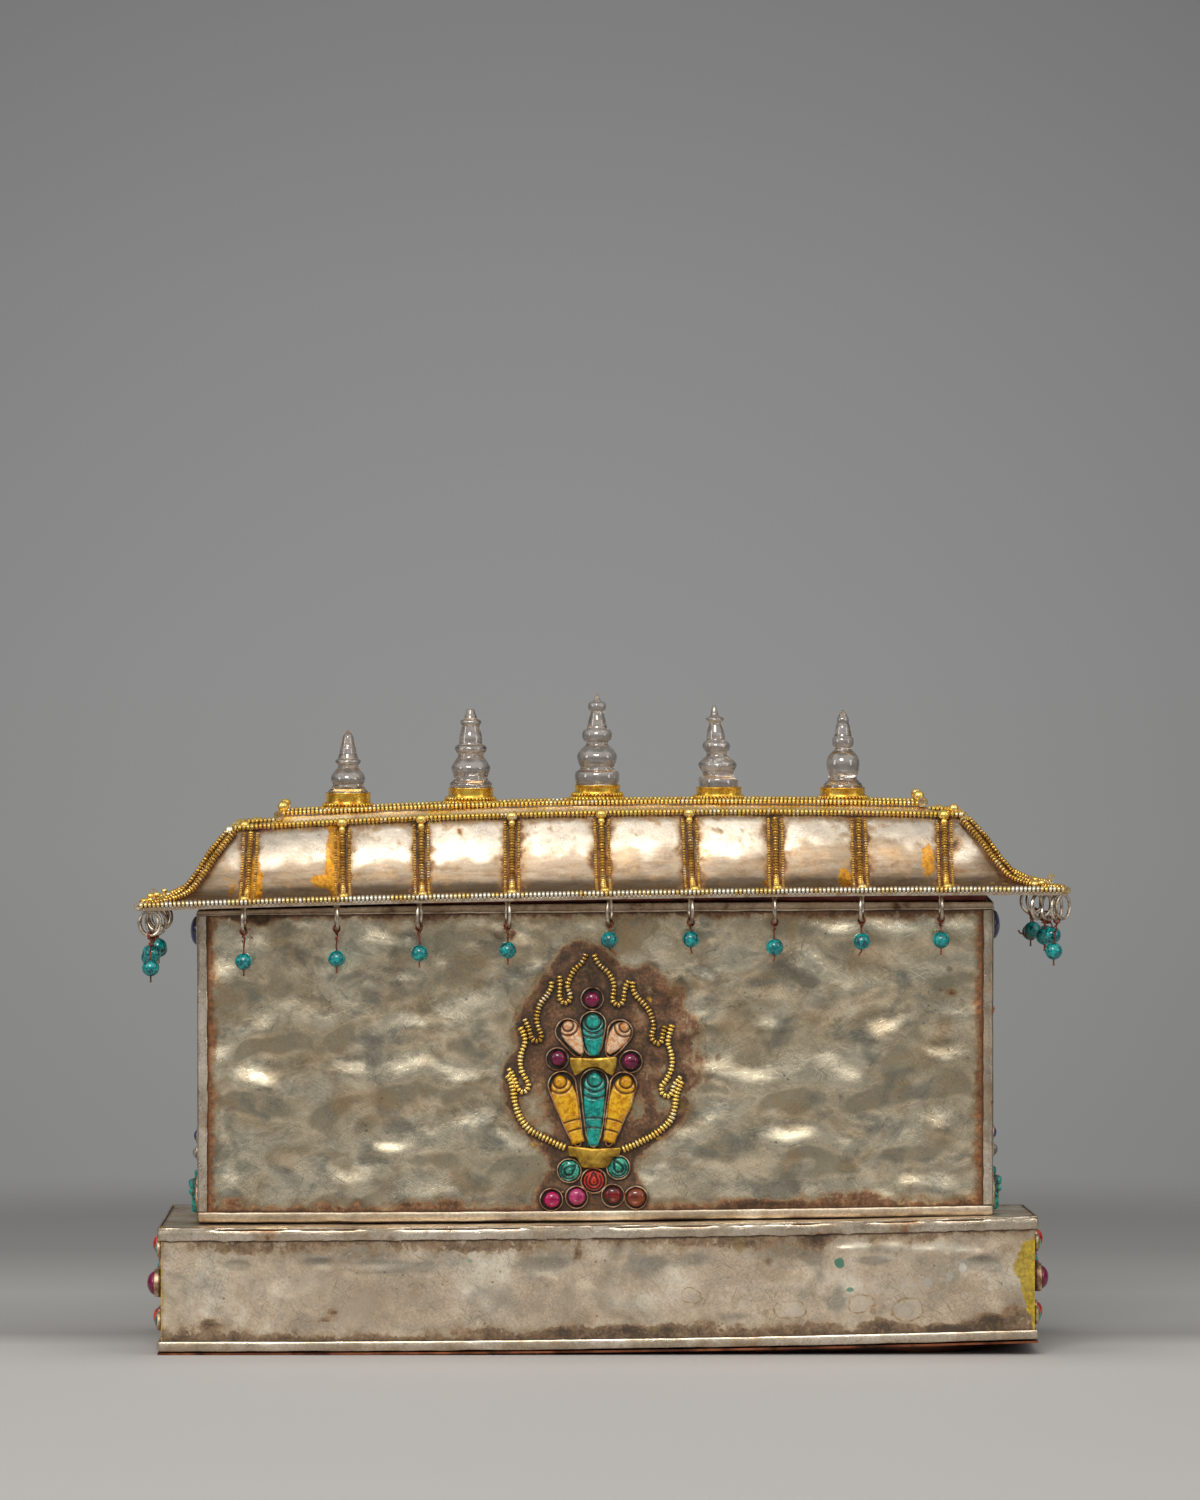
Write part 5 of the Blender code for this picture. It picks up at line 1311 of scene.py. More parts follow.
def make_body():
    part = Part()
    w, d = BODY_W - 2.0, BODY_D - 2.0

    def low(x, y):
        return base_top(x, y) + GAP + 0.05

    nx, ny, nz = 200, 34, 82
    outer, sides, (x, y, side, out) = sheet_walls(
        part, BODY_CX, w, d, 1.0, nx, ny, nz, low, body_head, body_relief, body_marks)
    n = len(x)
    xi = np.clip(x, BODY_CX - w / 2 + 1, BODY_CX + w / 2 - 1)
    yi = np.clip(y, -d / 2 + 1, d / 2 - 1)
    rim = np.stack([xi, yi, body_head(x)], -1)
    inner = []
    for v in np.linspace(1, 0, 7):
        z = (low(x, y) + 1.0) * (1 - v) + (body_head(x) - 0.02) * v
        p = np.stack([xi, yi, z], -1)
        if 0.001 < v < 0.999:
            push = body_relief(np.stack([x, y, z], -1), side) * smooth(
                0, 3.5, np.minimum(np.abs(x - (BODY_CX - w / 2)), np.abs(x - (BODY_CX + w / 2)))
                + np.minimum(np.abs(y + d / 2), np.abs(y - d / 2)))
            p[:, 0] += push * out[:, 0]
            p[:, 1] += push * out[:, 1]
        inner.append(p)
    rings = np.concatenate([outer, rim[None], np.array(inner)])
    verts, quads = loft(rings)
    marks = body_marks(outer, sides)
    more = (len(inner) + 1) * n
    values = {k: np.concatenate([v, np.full(more, 0.35 if k == "stain" else 0.0)])
              for k, v in marks.items()}

    def floor(first):
        """Quads between the front and back edge of one ring."""
        ids = np.arange(first, first + n)
        rows = [(ids[k], ids[k + 1], ids[2 * nx + ny - k - 1], ids[(2 * nx + ny - k) % n])
                for k in range(1, nx - 1)]
        right = [ids[k] for k in range(nx - 1, nx + ny + 2)]
        left = [ids[k % n] for k in range(2 * nx + ny - 1, n + 2)]
        return [np.array(rows), np.array(right), np.array(left)]

    part.add((verts, [quads] + floor(0) + floor(len(verts) - n)), **values)
    part.build("body_sheet", [SHEET_BODY], "silver", ["body_box"], sharp=50)


def strip_ring(name, cx, width, depth, thick, low, high, node, seed, stain=0.25, curl=0.12,
               torn=0.0, corner=0.9, step=2.2, seam=None, lip=0.0, finish=None):
    """A flat strip bent round a box, its edges slightly uneven."""
    x0, x1, y0, y1 = cx - width / 2, cx + width / 2, -depth / 2, depth / 2
    path, outs = [], []
    for (ax, ay, bx, by, dx, dy) in ((x0, y0, x1, y0, 0, -1), (x1, y0, x1, y1, 1, 0),
                                     (x1, y1, x0, y1, 0, 1), (x0, y1, x0, y0, -1, 0)):
        length = math.hypot(bx - ax, by - ay)
        ux, uy = (bx - ax) / length, (by - ay) / length
        m = int((length - 2 * corner) / step)
        for k in range(m + 1):
            t = corner + (length - 2 * corner) * k / m
            path.append((ax + ux * t, ay + uy * t))
            outs.append((dx, dy))
        for a in (22.5, 45, 67.5):
            c, s = math.cos(math.radians(a)), math.sin(math.radians(a))
            nx_, ny_ = dx * c + ux * s, dy * c + uy * s
            qx, qy = bx - ux * corner - dx * corner, by - uy * corner - dy * corner
            path.append((qx + nx_ * corner, qy + ny_ * corner))
            outs.append((nx_, ny_))
    path, outs = np.array(path), np.array(outs, float)
    x, y = path[:, 0], path[:, 1]
    q = np.stack([x, y, np.zeros(len(x))], -1)
    wob = cloud(q, 9.0, seed, 3)
    wob2 = cloud(q, 5.0, seed + 1, 3)
    lo = low(x, y) + 0.35 * wob - torn * np.clip(cloud(q, 4.0, seed + 3, 3), 0, 1)
    hi = high(x, y) - 0.25 * np.abs(wob2)
    face = 0.10 * cloud(q, 14.0, seed + 2, 2)
    section = ((thick, 0.0), (0.22, 0.0), (0.06, 0.07), (0.0, 0.16), (-curl, 0.5), (0.0, 0.84),
               (0.06, 0.94), (0.2, 1.0), (thick, 1.0))
    if lip:
        section = ((thick, 0.0), (0.22, -0.01), (-0.10 * lip, 0.02), (-0.9 * lip, 0.08),
                   (-lip, 0.14), (-0.75 * lip, 0.20), (-0.2 * lip, 0.25), (0.0, 0.29),
                   (-curl, 0.6), (0.0, 0.86), (0.06, 0.94), (0.2, 1.0), (thick, 1.0))
    if seam:
        section = ((thick, 0.0), (0.22, 0.0), (0.06, 0.06), (0.0, 0.12), (-curl, 0.40),
                   (-0.02, seam - 0.10), (0.10, seam - 0.03), (0.42, seam + 0.01),
                   (0.34, seam + 0.07), (0.05, seam + 0.09), (0.0, seam + 0.13), (0.10, 0.97),
                   (0.25, 1.0), (thick, 1.0))
    rings = []
    for inset, v in section:
        inset = inset - (face if inset < thick else 0)
        rings.append(np.stack([x - outs[:, 0] * inset, y - outs[:, 1] * inset,
                               lo + (hi - lo) * v], -1))
    rings = np.transpose(np.array(rings), (1, 0, 2))
    part = Part()
    v = np.array([s[1] for s in section])
    dirt = np.broadcast_to(np.clip(1 - np.minimum(v, 1 - v) / 0.12, 0, 1) * 0.35, rings.shape[:2])
    if lip:
        dirt = dirt * (v > 0.5) + 0.5 * np.exp(-((v - 0.27) / 0.03) ** 2)
    rust = np.zeros(rings.shape[:2])
    patch = np.clip(stain + 1.0 * cloud(rings, 12.0, seed + 5, 3), 0, 1)
    if seam:
        # the lap opens and closes along the strip
        opened = smooth(-0.16, 0.10, cloud(q, 13.0, seed + 7, 3))
        inset = np.array([s_[0] for s_ in section])
        deep = (inset > 0.07) & (v > 0.3) & (v < 0.9)
        for k in np.flatnonzero(deep):
            close = (1 - opened) * (inset[k] - 0.02)
            rings[:, k, 0] += outs[:, 0] * close
            rings[:, k, 1] += outs[:, 1] * close
        here = np.exp(-((v - seam - 0.02) / 0.045) ** 2)[None] * opened[:, None]
        dirt = np.maximum(dirt, here * 1.5)
        rust = np.exp(-((v - seam + 0.04) / 0.08) ** 2)[None] * opened[:, None] * 0.8
    # bright: a painted highlight along the lower lip of a lipped strip
    part.add(loft(rings, along=True), stain=np.maximum(patch, dirt * 0.5).ravel(),
             dark=(dirt * 0.66).ravel(), rust=rust.ravel(), shade=0.0, gild=0.0,
             bright=np.broadcast_to(0.8 * (v < 0.26) * (lip > 0), rings.shape[:2]).ravel())
    return part.build(name, [finish or STRIP], "silver", [node], sharp=50)


def make_strips():
    strip_ring("plinth_top_edge", BASE_CX, BASE_W, BASE_D, BASE_STRIP,
               lambda x, y: base_top(x, y) - TOP_STRIP_H, base_top, "base_top_strip", 51,
               stain=0.28, torn=1.0, seam=0.80, step=1.6, curl=0.07)
    strip_ring("plinth_foot_edge", BASE_CX, BASE_W, BASE_D, BASE_STRIP, base_foot,
               lambda x, y: base_foot(x, y) + FOOT_STRIP_H, "base_foot_strip", 61, stain=0.22)
    strip_ring("body_foot_edge", BODY_CX, BODY_W, BODY_D, BODY_STRIP,
               lambda x, y: body_foot(x, y) - 0.35,
               lambda x, y: body_foot(x, y) + BODY_FOOT_STRIP_H, "body_foot_strip", 71,
               stain=0.20, finish=STRIP_FOOT)
    strip_ring("body_head_edge", BODY_CX, BODY_W, BODY_D, BODY_STRIP,
               lambda x, y: head_line(x), body_head, "body_head_strip",
               81, stain=0.40, curl=0.05, lip=0.34, finish=STRIP_HEAD)
    w, t = CORNER_STRIP_W, BODY_STRIP
    for k, (sx, sy, tag) in enumerate(((-1, -1, "front_left"), (1, -1, "front_right"),
                                       (1, 1, "back_right"), (-1, 1, "back_left"))):
        cx, cy = BODY_CX + sx * BODY_W / 2, sy * BODY_D / 2
        z0 = float(body_foot(cx, cy)) + BODY_FOOT_STRIP_H + GAP
        z1 = float(head_line(cx)) - GAP
        shape = soften([(0, 0), (w, 0), (w, t), (t, t), (t, w), (0, w)], 2, closed=True)
        z = np.linspace(z0, z1, 46)
        q = np.stack([np.full(46, cx), np.full(46, cy), z], -1)
        wob, wob2 = cloud(q, 7.0, 90 + k), cloud(q, 10.0, 96 + k)
        rings = []
        for i in range(46):
            a, b = shape[:, 0], shape[:, 1]
            a2 = a + np.where(a > w * 0.7, 0.5 * wob[i], 0) - 0.12 * wob2[i]
            b2 = b + np.where(b > w * 0.7, 0.5 * wob2[i], 0) - 0.12 * wob[i]
            rings.append(np.stack([cx - sx * a2, cy - sy * b2, np.full(len(a), z[i])], -1))
        rings = np.array(rings)
        part = Part()
        patch = np.clip(0.3 + 1.1 * cloud(rings, 9.0, 105 + k, 3), 0, 1)
        part.add(capped(rings), stain=patch.ravel(), dark=0.0, shade=0.0, gild=0.0)
        part.build("corner_edge_" + tag, [STRIP], "silver", ["corner_strip_" + tag], sharp=50)


def make_plinth():
    part = Part()
    w, d = BASE_W - 2.0, BASE_D - 2.0
    nx, ny, nz = 200, 40, 42

    def low(x, y):
        return base_foot(x, y) + 0.1

    outer, sides, (x, y, side, out) = sheet_walls(
        part, BASE_CX, w, d, 1.0, nx, ny, nz, low, base_top, base_relief, base_marks)
    n = len(x)
    xi = np.clip(x, BASE_CX - w / 2 + 1, BASE_CX + w / 2 - 1)
    yi = np.clip(y, -d / 2 + 1, d / 2 - 1)
    inner = [np.stack([xi, yi, low(x, y)], -1),
             np.stack([xi, yi, base_top(x, y) - 1.0], -1)]
    rings = np.concatenate([np.array(inner)[::-1], outer])
    verts, quads = loft(rings)
    marks = base_marks(outer, sides)
    values = {k: np.concatenate([np.full(2 * n, 0.5 if k == "stain" else 0.0), v])
              for k, v in marks.items()}
    part.add((verts, quads), **values)
    # top sheet on the same outline, and its underside
    first = len(verts) - n
    for level, start in ((0.0, first), (-1.0, 0)):
        gx = np.linspace(BASE_CX - w / 2, BASE_CX + w / 2, nx + 1)
        gy = np.linspace(-d / 2, d / 2, ny + 1)
        if level:
            gx, gy = np.clip(gx, gx[0] + 1, gx[-1] - 1), np.clip(gy, gy[0] + 1, gy[-1] - 1)
        mx, my = np.meshgrid(gx, gy, indexing="ij")
        mz = base_top(mx, my) + level
        edge = np.minimum(np.minimum(mx - gx[0], gx[-1] - mx), np.minimum(my - gy[0], gy[-1] - my))
        p = np.stack([mx, my, mz], -1)
        p[..., 2] += smooth(0, 4, edge) * (0.22 * cloud(p, 22.0, 17, 2) - 0.12)
        index = np.zeros((nx + 1, ny + 1), int)
        ring = np.concatenate([[(i, 0) for i in range(nx)], [(nx, j) for j in range(ny)],
                               [(nx - i, ny) for i in range(nx)], [(0, ny - j) for j in range(ny)]])
        index[ring[:, 0], ring[:, 1]] = start + np.arange(n)
        inside = np.zeros((nx + 1, ny + 1), bool)
        inside[1:-1, 1:-1] = True
        index[inside] = part.count + np.arange(inside.sum())
        quads = np.stack([index[:-1, :-1], index[1:, :-1], index[1:, 1:], index[:-1, 1:]],
                         -1).reshape(-1, 4)
        pin = p[inside]
        under = np.clip(1 - np.maximum(np.abs(pin[:, 0] - BODY_CX) - BODY_W / 2,
                                       np.abs(pin[:, 1]) - BODY_D / 2) / 3.0, 0, 1)
        part.verts.append(pin)
        part.values.append((len(pin), {
            "stain": np.clip(0.30 + 0.9 * cloud(pin, 14.0, 19, 3) + 0.4 * under, 0, 1),
            "dark": 0.15 * under, "shade": 0.12 * cloud(pin, 30.0, 21), "gild": 0.0}))
        part.faces += quads.tolist()
        part.mats += [0] * len(quads)
        part.count += len(pin)
    part.build("plinth_sheet", [SHEET_BASE], "silver", ["base_box"], sharp=50)


# ---------------------------------------------------------------------------
# roof
# ---------------------------------------------------------------------------
def rib_share(side, run, out):
    """Where a rib crosses the given share of the way out, as s."""
    run_at = run[0] + (run[1] - run[0]) * out
    if side in (0, 2):
        half = SLOPE_HALF_X + out * (EAVE_HALF_X - SLOPE_HALF_X)
        return (run_at - SLOPE_CX * (1 - out)) / half * (1 if side == 0 else -1)
    half = SLOPE_HALF_Y + out * (EAVE_HALF_Y - SLOPE_HALF_Y)
    return run_at / half * (1 if side == 1 else -1)


ALL_RIBS = {0: FRONT_RIBS, 2: FRONT_RIBS[::2],
            1: tuple((y, y * 1.7) for y in SIDE_RIBS), 3: tuple((y, y * 1.7) for y in SIDE_RIBS)}


def make_roof():
    nl, ns, rows = 220, 60, 34
    outs = np.linspace(0, 1, rows + 1) ** 0.92
    blocks, side_of, s_of = [], [], []
    for side, n in ((0, nl), (1, ns), (2, nl), (3, ns)):
        s = -1 + 2 * np.arange(n) / n
        blocks.append(roof_point(side, s[None, :], outs[:, None]))
        side_of += [side] * n
        s_of.append(s)
    grid = np.concatenate(blocks, 1)
    side_of, s_of = np.array(side_of), np.concatenate(s_of)
    n = grid.shape[1]
    # panels stand up between ribs
    rise = np.zeros(grid.shape[:2])
    rib_near = np.full(grid.shape[:2], 1e9)
    for side in range(4):
        pick = side_of == side
        s = np.broadcast_to(s_of[pick], (rows + 1, pick.sum()))
        half = (SLOPE_HALF_X + outs * (EAVE_HALF_X - SLOPE_HALF_X)) if side in (0, 2) else \
            (SLOPE_HALF_Y + outs * (EAVE_HALF_Y - SLOPE_HALF_Y))
        half = half[:, None]
        lines = np.sort(np.array([rib_share(side, run, outs) for run in ALL_RIBS[side]]), axis=0)
        lines = np.concatenate([np.full((1, rows + 1), -1.0), lines, np.full((1, rows + 1), 1.0)])
        gap_rise = np.zeros(s.shape)
        for a, b in zip(lines[:-1], lines[1:]):
            u = (s - a[:, None]) / np.maximum(1e-6, (b - a)[:, None])
            inside = (u >= 0) & (u <= 1)
            bow = np.where(inside, (1 - np.abs(2 * u - 1) ** 3), 0)
            gap_rise = np.maximum(gap_rise, bow)
        rise[:, pick] = gap_rise
        rib_near[:, pick] = np.min(np.abs(s[None] - lines[1:-1][:, :, None]) * half[None], axis=0)
        hip = (1 - np.abs(s)) * half
        rib_near[:, pick] = np.minimum(rib_near[:, pick], hip + 0.8)
    t_around = np.roll(grid, -1, axis=1) - np.roll(grid, 1, axis=1)
    t_down = np.gradient(grid, axis=0)
    normal = np.cross(t_around, t_down)
    normal /= np.linalg.norm(normal, axis=2)[..., None]
    normal *= -np.sign(normal[..., 2:3])
    normal = -normal
    normal *= np.sign(normal[..., 2:3])
    o = outs[:, None]
    hold = smooth(-0.03, 0.03, o) * smooth(0, 0.10, 1 - o)
    relief = rise * (0.85 * hold + 0.1) + 0.24 * cloud(grid, 13.0, 40, 2) * hold * smooth(
        0.6, 3.5, rib_near) + 0.08 * cloud(grid, 6.0, 42, 2) * hold
    outer = grid + normal * (relief * 1.0)[..., None]
    inner = grid - normal * ROOF_T + normal * (relief * 0.6)[..., None]
    inner[-1] = grid[-1] - np.array([0, 0, ROOF_T])
    # free edge: the plate's rounded lip
    lip = grid[-1] + 0.18 * (normal[-1] * 0 + (grid[-1] - grid[-2]) / np.linalg.norm(
        grid[-1] - grid[-2], axis=1)[:, None]) - np.array([0, 0, ROOF_T / 2])
    inner_rows = inner[::-1][::6]
    if not np.allclose(inner_rows[-1], inner[0]):
        inner_rows = np.concatenate([inner_rows, inner[:1]])
    rings = np.concatenate([outer, lip[None], inner_rows])
    verts, quads = loft(rings)
    # marks
    x, y, z = grid[..., 0], grid[..., 1], grid[..., 2]
    wave, wave2 = cloud(grid, 6.0, 44), cloud(grid, 16.0, 46)
    low = smooth(0.16, 0.42, o + 0.16 * wave2 + 0.05 * wave)
    foot = smooth(0.50, 0.90, o)
    top = np.clip(1 - (o - 0.05) / np.maximum(0.03 + 0.22 * wave2 + 0.18 * wave, 0.02), 0, 1)
    blotch = np.clip(2.9 * cloud(grid, 3.6, 47, 3) - 0.16, 0, 1) * smooth(0.40, 0.10, o)
    stain = np.maximum.reduce([
        np.clip(1.42 - rib_near / np.maximum(4.2 + 3.4 * wave, 2.0), 0, 1.0),
        0.14 + 0.20 * low + 0.12 * foot + 0.4 * wave2 * low, top * 0.62, blotch * 0.72])
    dark = np.clip(np.maximum(1.1 - rib_near / 2.0, (o - 0.95) / 0.03), 0, 1) * 0.42
    front = side_of[None] == 0
    gild = np.zeros(grid.shape[:2])
    for (cx, cz, rx, rz, amount) in ((-81.4, 149.0, 2.6, 13.0, 1.15), (-104.6, 141.5, 2.6, 8.0, 1.1),
                                     (73.0, 142.0, 3.0, 6.0, .9), (98.0, 148.0, 2.6, 8.0, .9),
                                     (-52.0, 141.0, 2.0, 4.0, .6), (30.0, 150.0, 1.6, 6.0, .5),
                                     (-84.5, 141.6, 4.5, 3.0, .95), (49.0, 141.0, 2.0, 3.0, .6),
                                     (-112.5, 140.0, 5.0, 6.0, .55)):
        d = ((x - cx) / rx) ** 2 + ((z - cz) / rz) ** 2
        gild = np.maximum(gild, np.where(front, amount * np.exp(-d), 0))
    gild = np.maximum(gild, 0.40 * np.clip(1.1 - rib_near / 2.6, 0, 1))
    # painted reflection: the slopes' upper parts get bright (painted highlight), their lower parts shade (painted
    # shade), where brushed streaks also gather
    shade = 0.08 * wave2 - 0.12 - 0.10 * smooth(0.30, 0.10, o) + low * (0.70 - 0.26 * foot)
    bright = np.maximum(0.25 * (1 - low), 0.95 * smooth(0.30, 0.10, o)) * np.ones(grid.shape[:2])
    rust = 0.62 * np.clip(1.15 - rib_near / np.maximum(4.6 + 3 * wave2, 2.0), 0, 1) * (0.5 + low)
    extra = (1 + len(inner_rows)) * n
    values = {k: np.concatenate([v.ravel(), np.full(extra, 0.45 if k == "stain" else 0.0)])
              for k, v in (("stain", stain), ("dark", dark), ("gild", gild), ("shade", shade),
                           ("bright", bright), ("rust", rust))}

    def cover(first):
        ids = np.arange(first, first + n)
        rows_ = [(ids[k], ids[k + 1], ids[2 * nl + ns - k - 1], ids[(2 * nl + ns - k) % n])
                 for k in range(1, nl - 1)]
        right = [ids[k] for k in range(nl - 1, nl + ns + 2)]
        left = [ids[k % n] for k in range(2 * nl + ns - 1, n + 2)]
        return [np.array(rows_), np.array(right), np.array(left)]

    part = Part()
    part.add((verts, [quads] + cover(0) + cover(len(verts) - n)), **values)
    part.build("roof_sheet", [SHEET_ROOF], "silver", ["roof_shell"], sharp=50)


def along_roof(out, lift_mm, n_long=260, n_short=90, height=None):
    path = []
    for side, n in ((0, n_long), (1, n_short), (2, n_long), (3, n_short)):
        s = -1 + 2 * np.arange(n) / n
        path.append(roof_point(side, s, np.full(n, out), height))
    return np.concatenate(path) + np.array([0, 0, lift_mm])


def slope_line(side, s_of_out, outs, across=0.0, off=0.0):
    """A line down the slope; across shifts it sideways, off stands it out."""
    pts = np.array([roof_point(side, s_of_out(o), o) for o in outs]).reshape(-1, 3)
    t = np.gradient(pts, axis=0)
    t /= np.linalg.norm(t, axis=1)[:, None]
    flat = np.array([1.0, 0, 0]) if side in (0, 2) else np.array([0, 1.0, 0])
    if across is None:
        across = 0.0
    cross = np.broadcast_to(flat, pts.shape)
    if abs(s_of_out(0.5)) > 0.999:
        outward = pts[-1] - pts[0]
        cross = np.broadcast_to(np.array([-outward[1], outward[0], 0]) / math.hypot(
            outward[0], outward[1]), pts.shape)
    normal = np.cross(cross, t)
    normal /= np.linalg.norm(normal, axis=1)[:, None]
    normal *= np.sign(normal[:, 2:3])
    return pts + cross * across + normal * off, normal


def add_beads(part, path, pitch, radius, mat=0, **kw):
    shape, neck = beads(path, pitch, radius, **kw)
    part.add(shape, mat, neck=neck)


def make_wires():
    eave = Part()
    path = along_roof(0.986, 0.70)
    add_beads(eave, path, 1.26, 1.12, closed=True, sides=10, per=4, neck=0.50, seed=2, uneven=0.05,
              under=0.6)
    eave.build("eave_beaded_wire", [GILT_EAVE], "gilt", ["roof_wirework"])

    top = Part()
    add_beads(top, along_roof(0.02, 1.00, height=1.0), 1.26, 1.16, closed=True, sides=10, per=4,
              neck=0.32, seed=3, under=0.0)
    add_beads(top, along_roof(0.095, 0.42), 0.80, 0.36, closed=True, sides=5, per=2, neck=0.5,
              seed=4)
    top.build("slope_top_beaded_wire", [GILT_WIRE], "gilt")

    outs = np.linspace(0.035, 0.955, 70)
    for side in range(4):
        part = Part()
        fine = 3 if side != 2 else 2
        for k, run in enumerate(ALL_RIBS[side]):
            line = (lambda o, run=run, side=side: rib_share(side, run, o))
            mid, normal = slope_line(side, line, outs, 0, 0.30 + 0.74)
            add_beads(part, mid, 0.95, 0.98, ref=normal[0], sides=9, per=fine + 1, neck=0.42,
                      seed=10 + k, flat=(1.0, 0.85), under=0.0)
            for across in (-2.05, 2.05):
                thin, normal = slope_line(side, line, outs, across, 0.32 + 0.36)
                add_beads(part, thin, 0.82, 0.50, ref=normal[0], sides=6, per=fine, neck=0.42,
                          seed=30 + k, under=0.0)
        part.build("rib_strands_" + ("front", "right", "back", "left")[side], [GILT_RIB], "gilt")

    hips = Part()
    reach = np.linspace(0.03, 0.95, 100)
    for side in range(4):
        line = (lambda o: 1.0)
        mid, normal = slope_line(side, line, reach, 0.0, 0.0)
        run = mid[-1] - mid[0]
        cross = np.array([-run[1], run[0], 0]) / math.hypot(run[0], run[1])
        strands = ((-1.75, 0.92, 1.15), (1.75, 0.92, 1.15), (0.0, 0.42, 0.8))
        for across, radius, pitch in strands if side in (0, 3) else strands[:2]:
            spread = across * (1 - 0.40 * smooth(0.55, 0.95, reach))
            pts = mid + cross * spread[:, None] + normal * (0.35 + radius)
            add_beads(hips, pts, pitch, radius, ref=(0, 0, 1), sides=9, per=4 if side in (0, 3)
                      else 2, neck=0.38, seed=50 + side, under=0.2)
    hips.build("hip_strands", [GILT_RIB], "gilt")

    deck = Part()
    x, y, _, _ = around(-DECK_HALF_X, DECK_HALF_X, -DECK_HALF_Y, DECK_HALF_Y, 120, 12)
    add_beads(deck, np.stack([x, y, deck_wire_z(x) + 0.06], -1), 1.25, 0.94, closed=True, sides=9,
              per=4, neck=0.34, seed=7, under=0.0)
    deck.build("deck_beaded_wire", [GILT_WIRE], "gilt", ["deck_wire"])


def make_board():
    """Thin red board under the roof, resting on the body's rim."""
    half = BODY_W / 2 - 2.2
    x, y, _, _ = around(BODY_CX - half, BODY_CX + half, -BODY_D / 2 + 1.6, BODY_D / 2 - 1.6, 60, 18)
    lo = body_head(x) + 0.35 + 0.12 * np.sin(x / 17.0)
    hi = np.maximum(plate_top(x) - ROOF_T - 0.35, lo + 0.5)
    q = np.stack([x, y, lo], -1)
    rings = [np.stack([x, y, lo], -1), np.stack([x, y - 0.25 * np.sign(y), lo + 0.2], -1),
             np.stack([x, y + 0.1 * cloud(q, 5.0, 131), hi - 0.2], -1), np.stack([x, y, hi], -1)]
    verts, quads = loft(np.array(rings))
    n, nx, ny = len(x), 60, 18

    def cover(first):
        ids = np.arange(first, first + n)
        rows = [(ids[k], ids[k + 1], ids[2 * nx + ny - k - 1], ids[(2 * nx + ny - k) % n])
                for k in range(1, nx - 1)]
        right = [ids[k] for k in range(nx - 1, nx + ny + 2)]
        left = [ids[k % n] for k in range(2 * nx + ny - 1, n + 2)]
        return [np.array(rows), np.array(right), np.array(left)]

    part = Part()
    part.add((verts, [quads] + cover(0) + cover(len(verts) - n)))
    part.build("red_underboard", [BOARD], "board", ["roof_underboard"], sharp=40)


def make_deck():
    """Raised tray on the roof's flat top, its sides sloping to the wire."""
    part = Part()
    rows = ((0.0, 0.0, 0.0), (0.5, 0.12, 0.06), (1.4, 0.50, 0.28), (2.6, 1.00, 0.56),
            (4.2, 1.55, 0.84), (5.8, 2.40, 0.93), (7.4, 7.4, 0.98))
    rings = []
    for k, (spread, spread_y, fall) in enumerate(rows):
        x, y, side, out = around(-DECK_HALF_X - spread, DECK_HALF_X + spread,
                                 -DECK_HALF_Y - spread_y, DECK_HALF_Y + spread_y, 120, 16)
        z = deck_top(x) * (1 - fall) + (slope_top(x) + 0.35) * fall
        rings.append(np.stack([x, y, z], -1))
    rings = np.array(rings)
    rings[1:-1, :, 2] += 0.25 * cloud(rings[1:-1], 8.0, 120, 2)
    under = rings[::-1].copy()
    under[..., 2] -= 0.55
    under[..., 2] = np.maximum(under[..., 2], slope_top(under[..., 0]) + 0.1)
    allr = np.concatenate([rings, under])
    verts, quads = loft(allr)
    n, nx, ny = rings.shape[1], 120, 16

    def cover(first):
        ids = np.arange(first, first + n)
        r = [(ids[k], ids[k + 1], ids[2 * nx + ny - k - 1], ids[(2 * nx + ny - k) % n])
             for k in range(1, nx - 1)]
        right = [ids[k] for k in range(nx - 1, nx + ny + 2)]
        left = [ids[k % n] for k in range(2 * nx + ny - 1, n + 2)]
        return [np.array(r), np.array(right), np.array(left)]

    stain = np.clip(0.16 + 0.9 * cloud(verts, 9.0, 122, 3), 0, 1)
    gild = np.clip(0.42 + 0.8 * cloud(verts, 13.0, 124, 3), 0, 1)
    part.add((verts, [quads] + cover(0) + cover(len(verts) - n)), stain=stain, gild=gild,
             dark=0.0, shade=-0.1, bright=0.3)
    part.build("deck_sheet", [SHEET_DECK], "silver", ["roof_deck"], sharp=50)


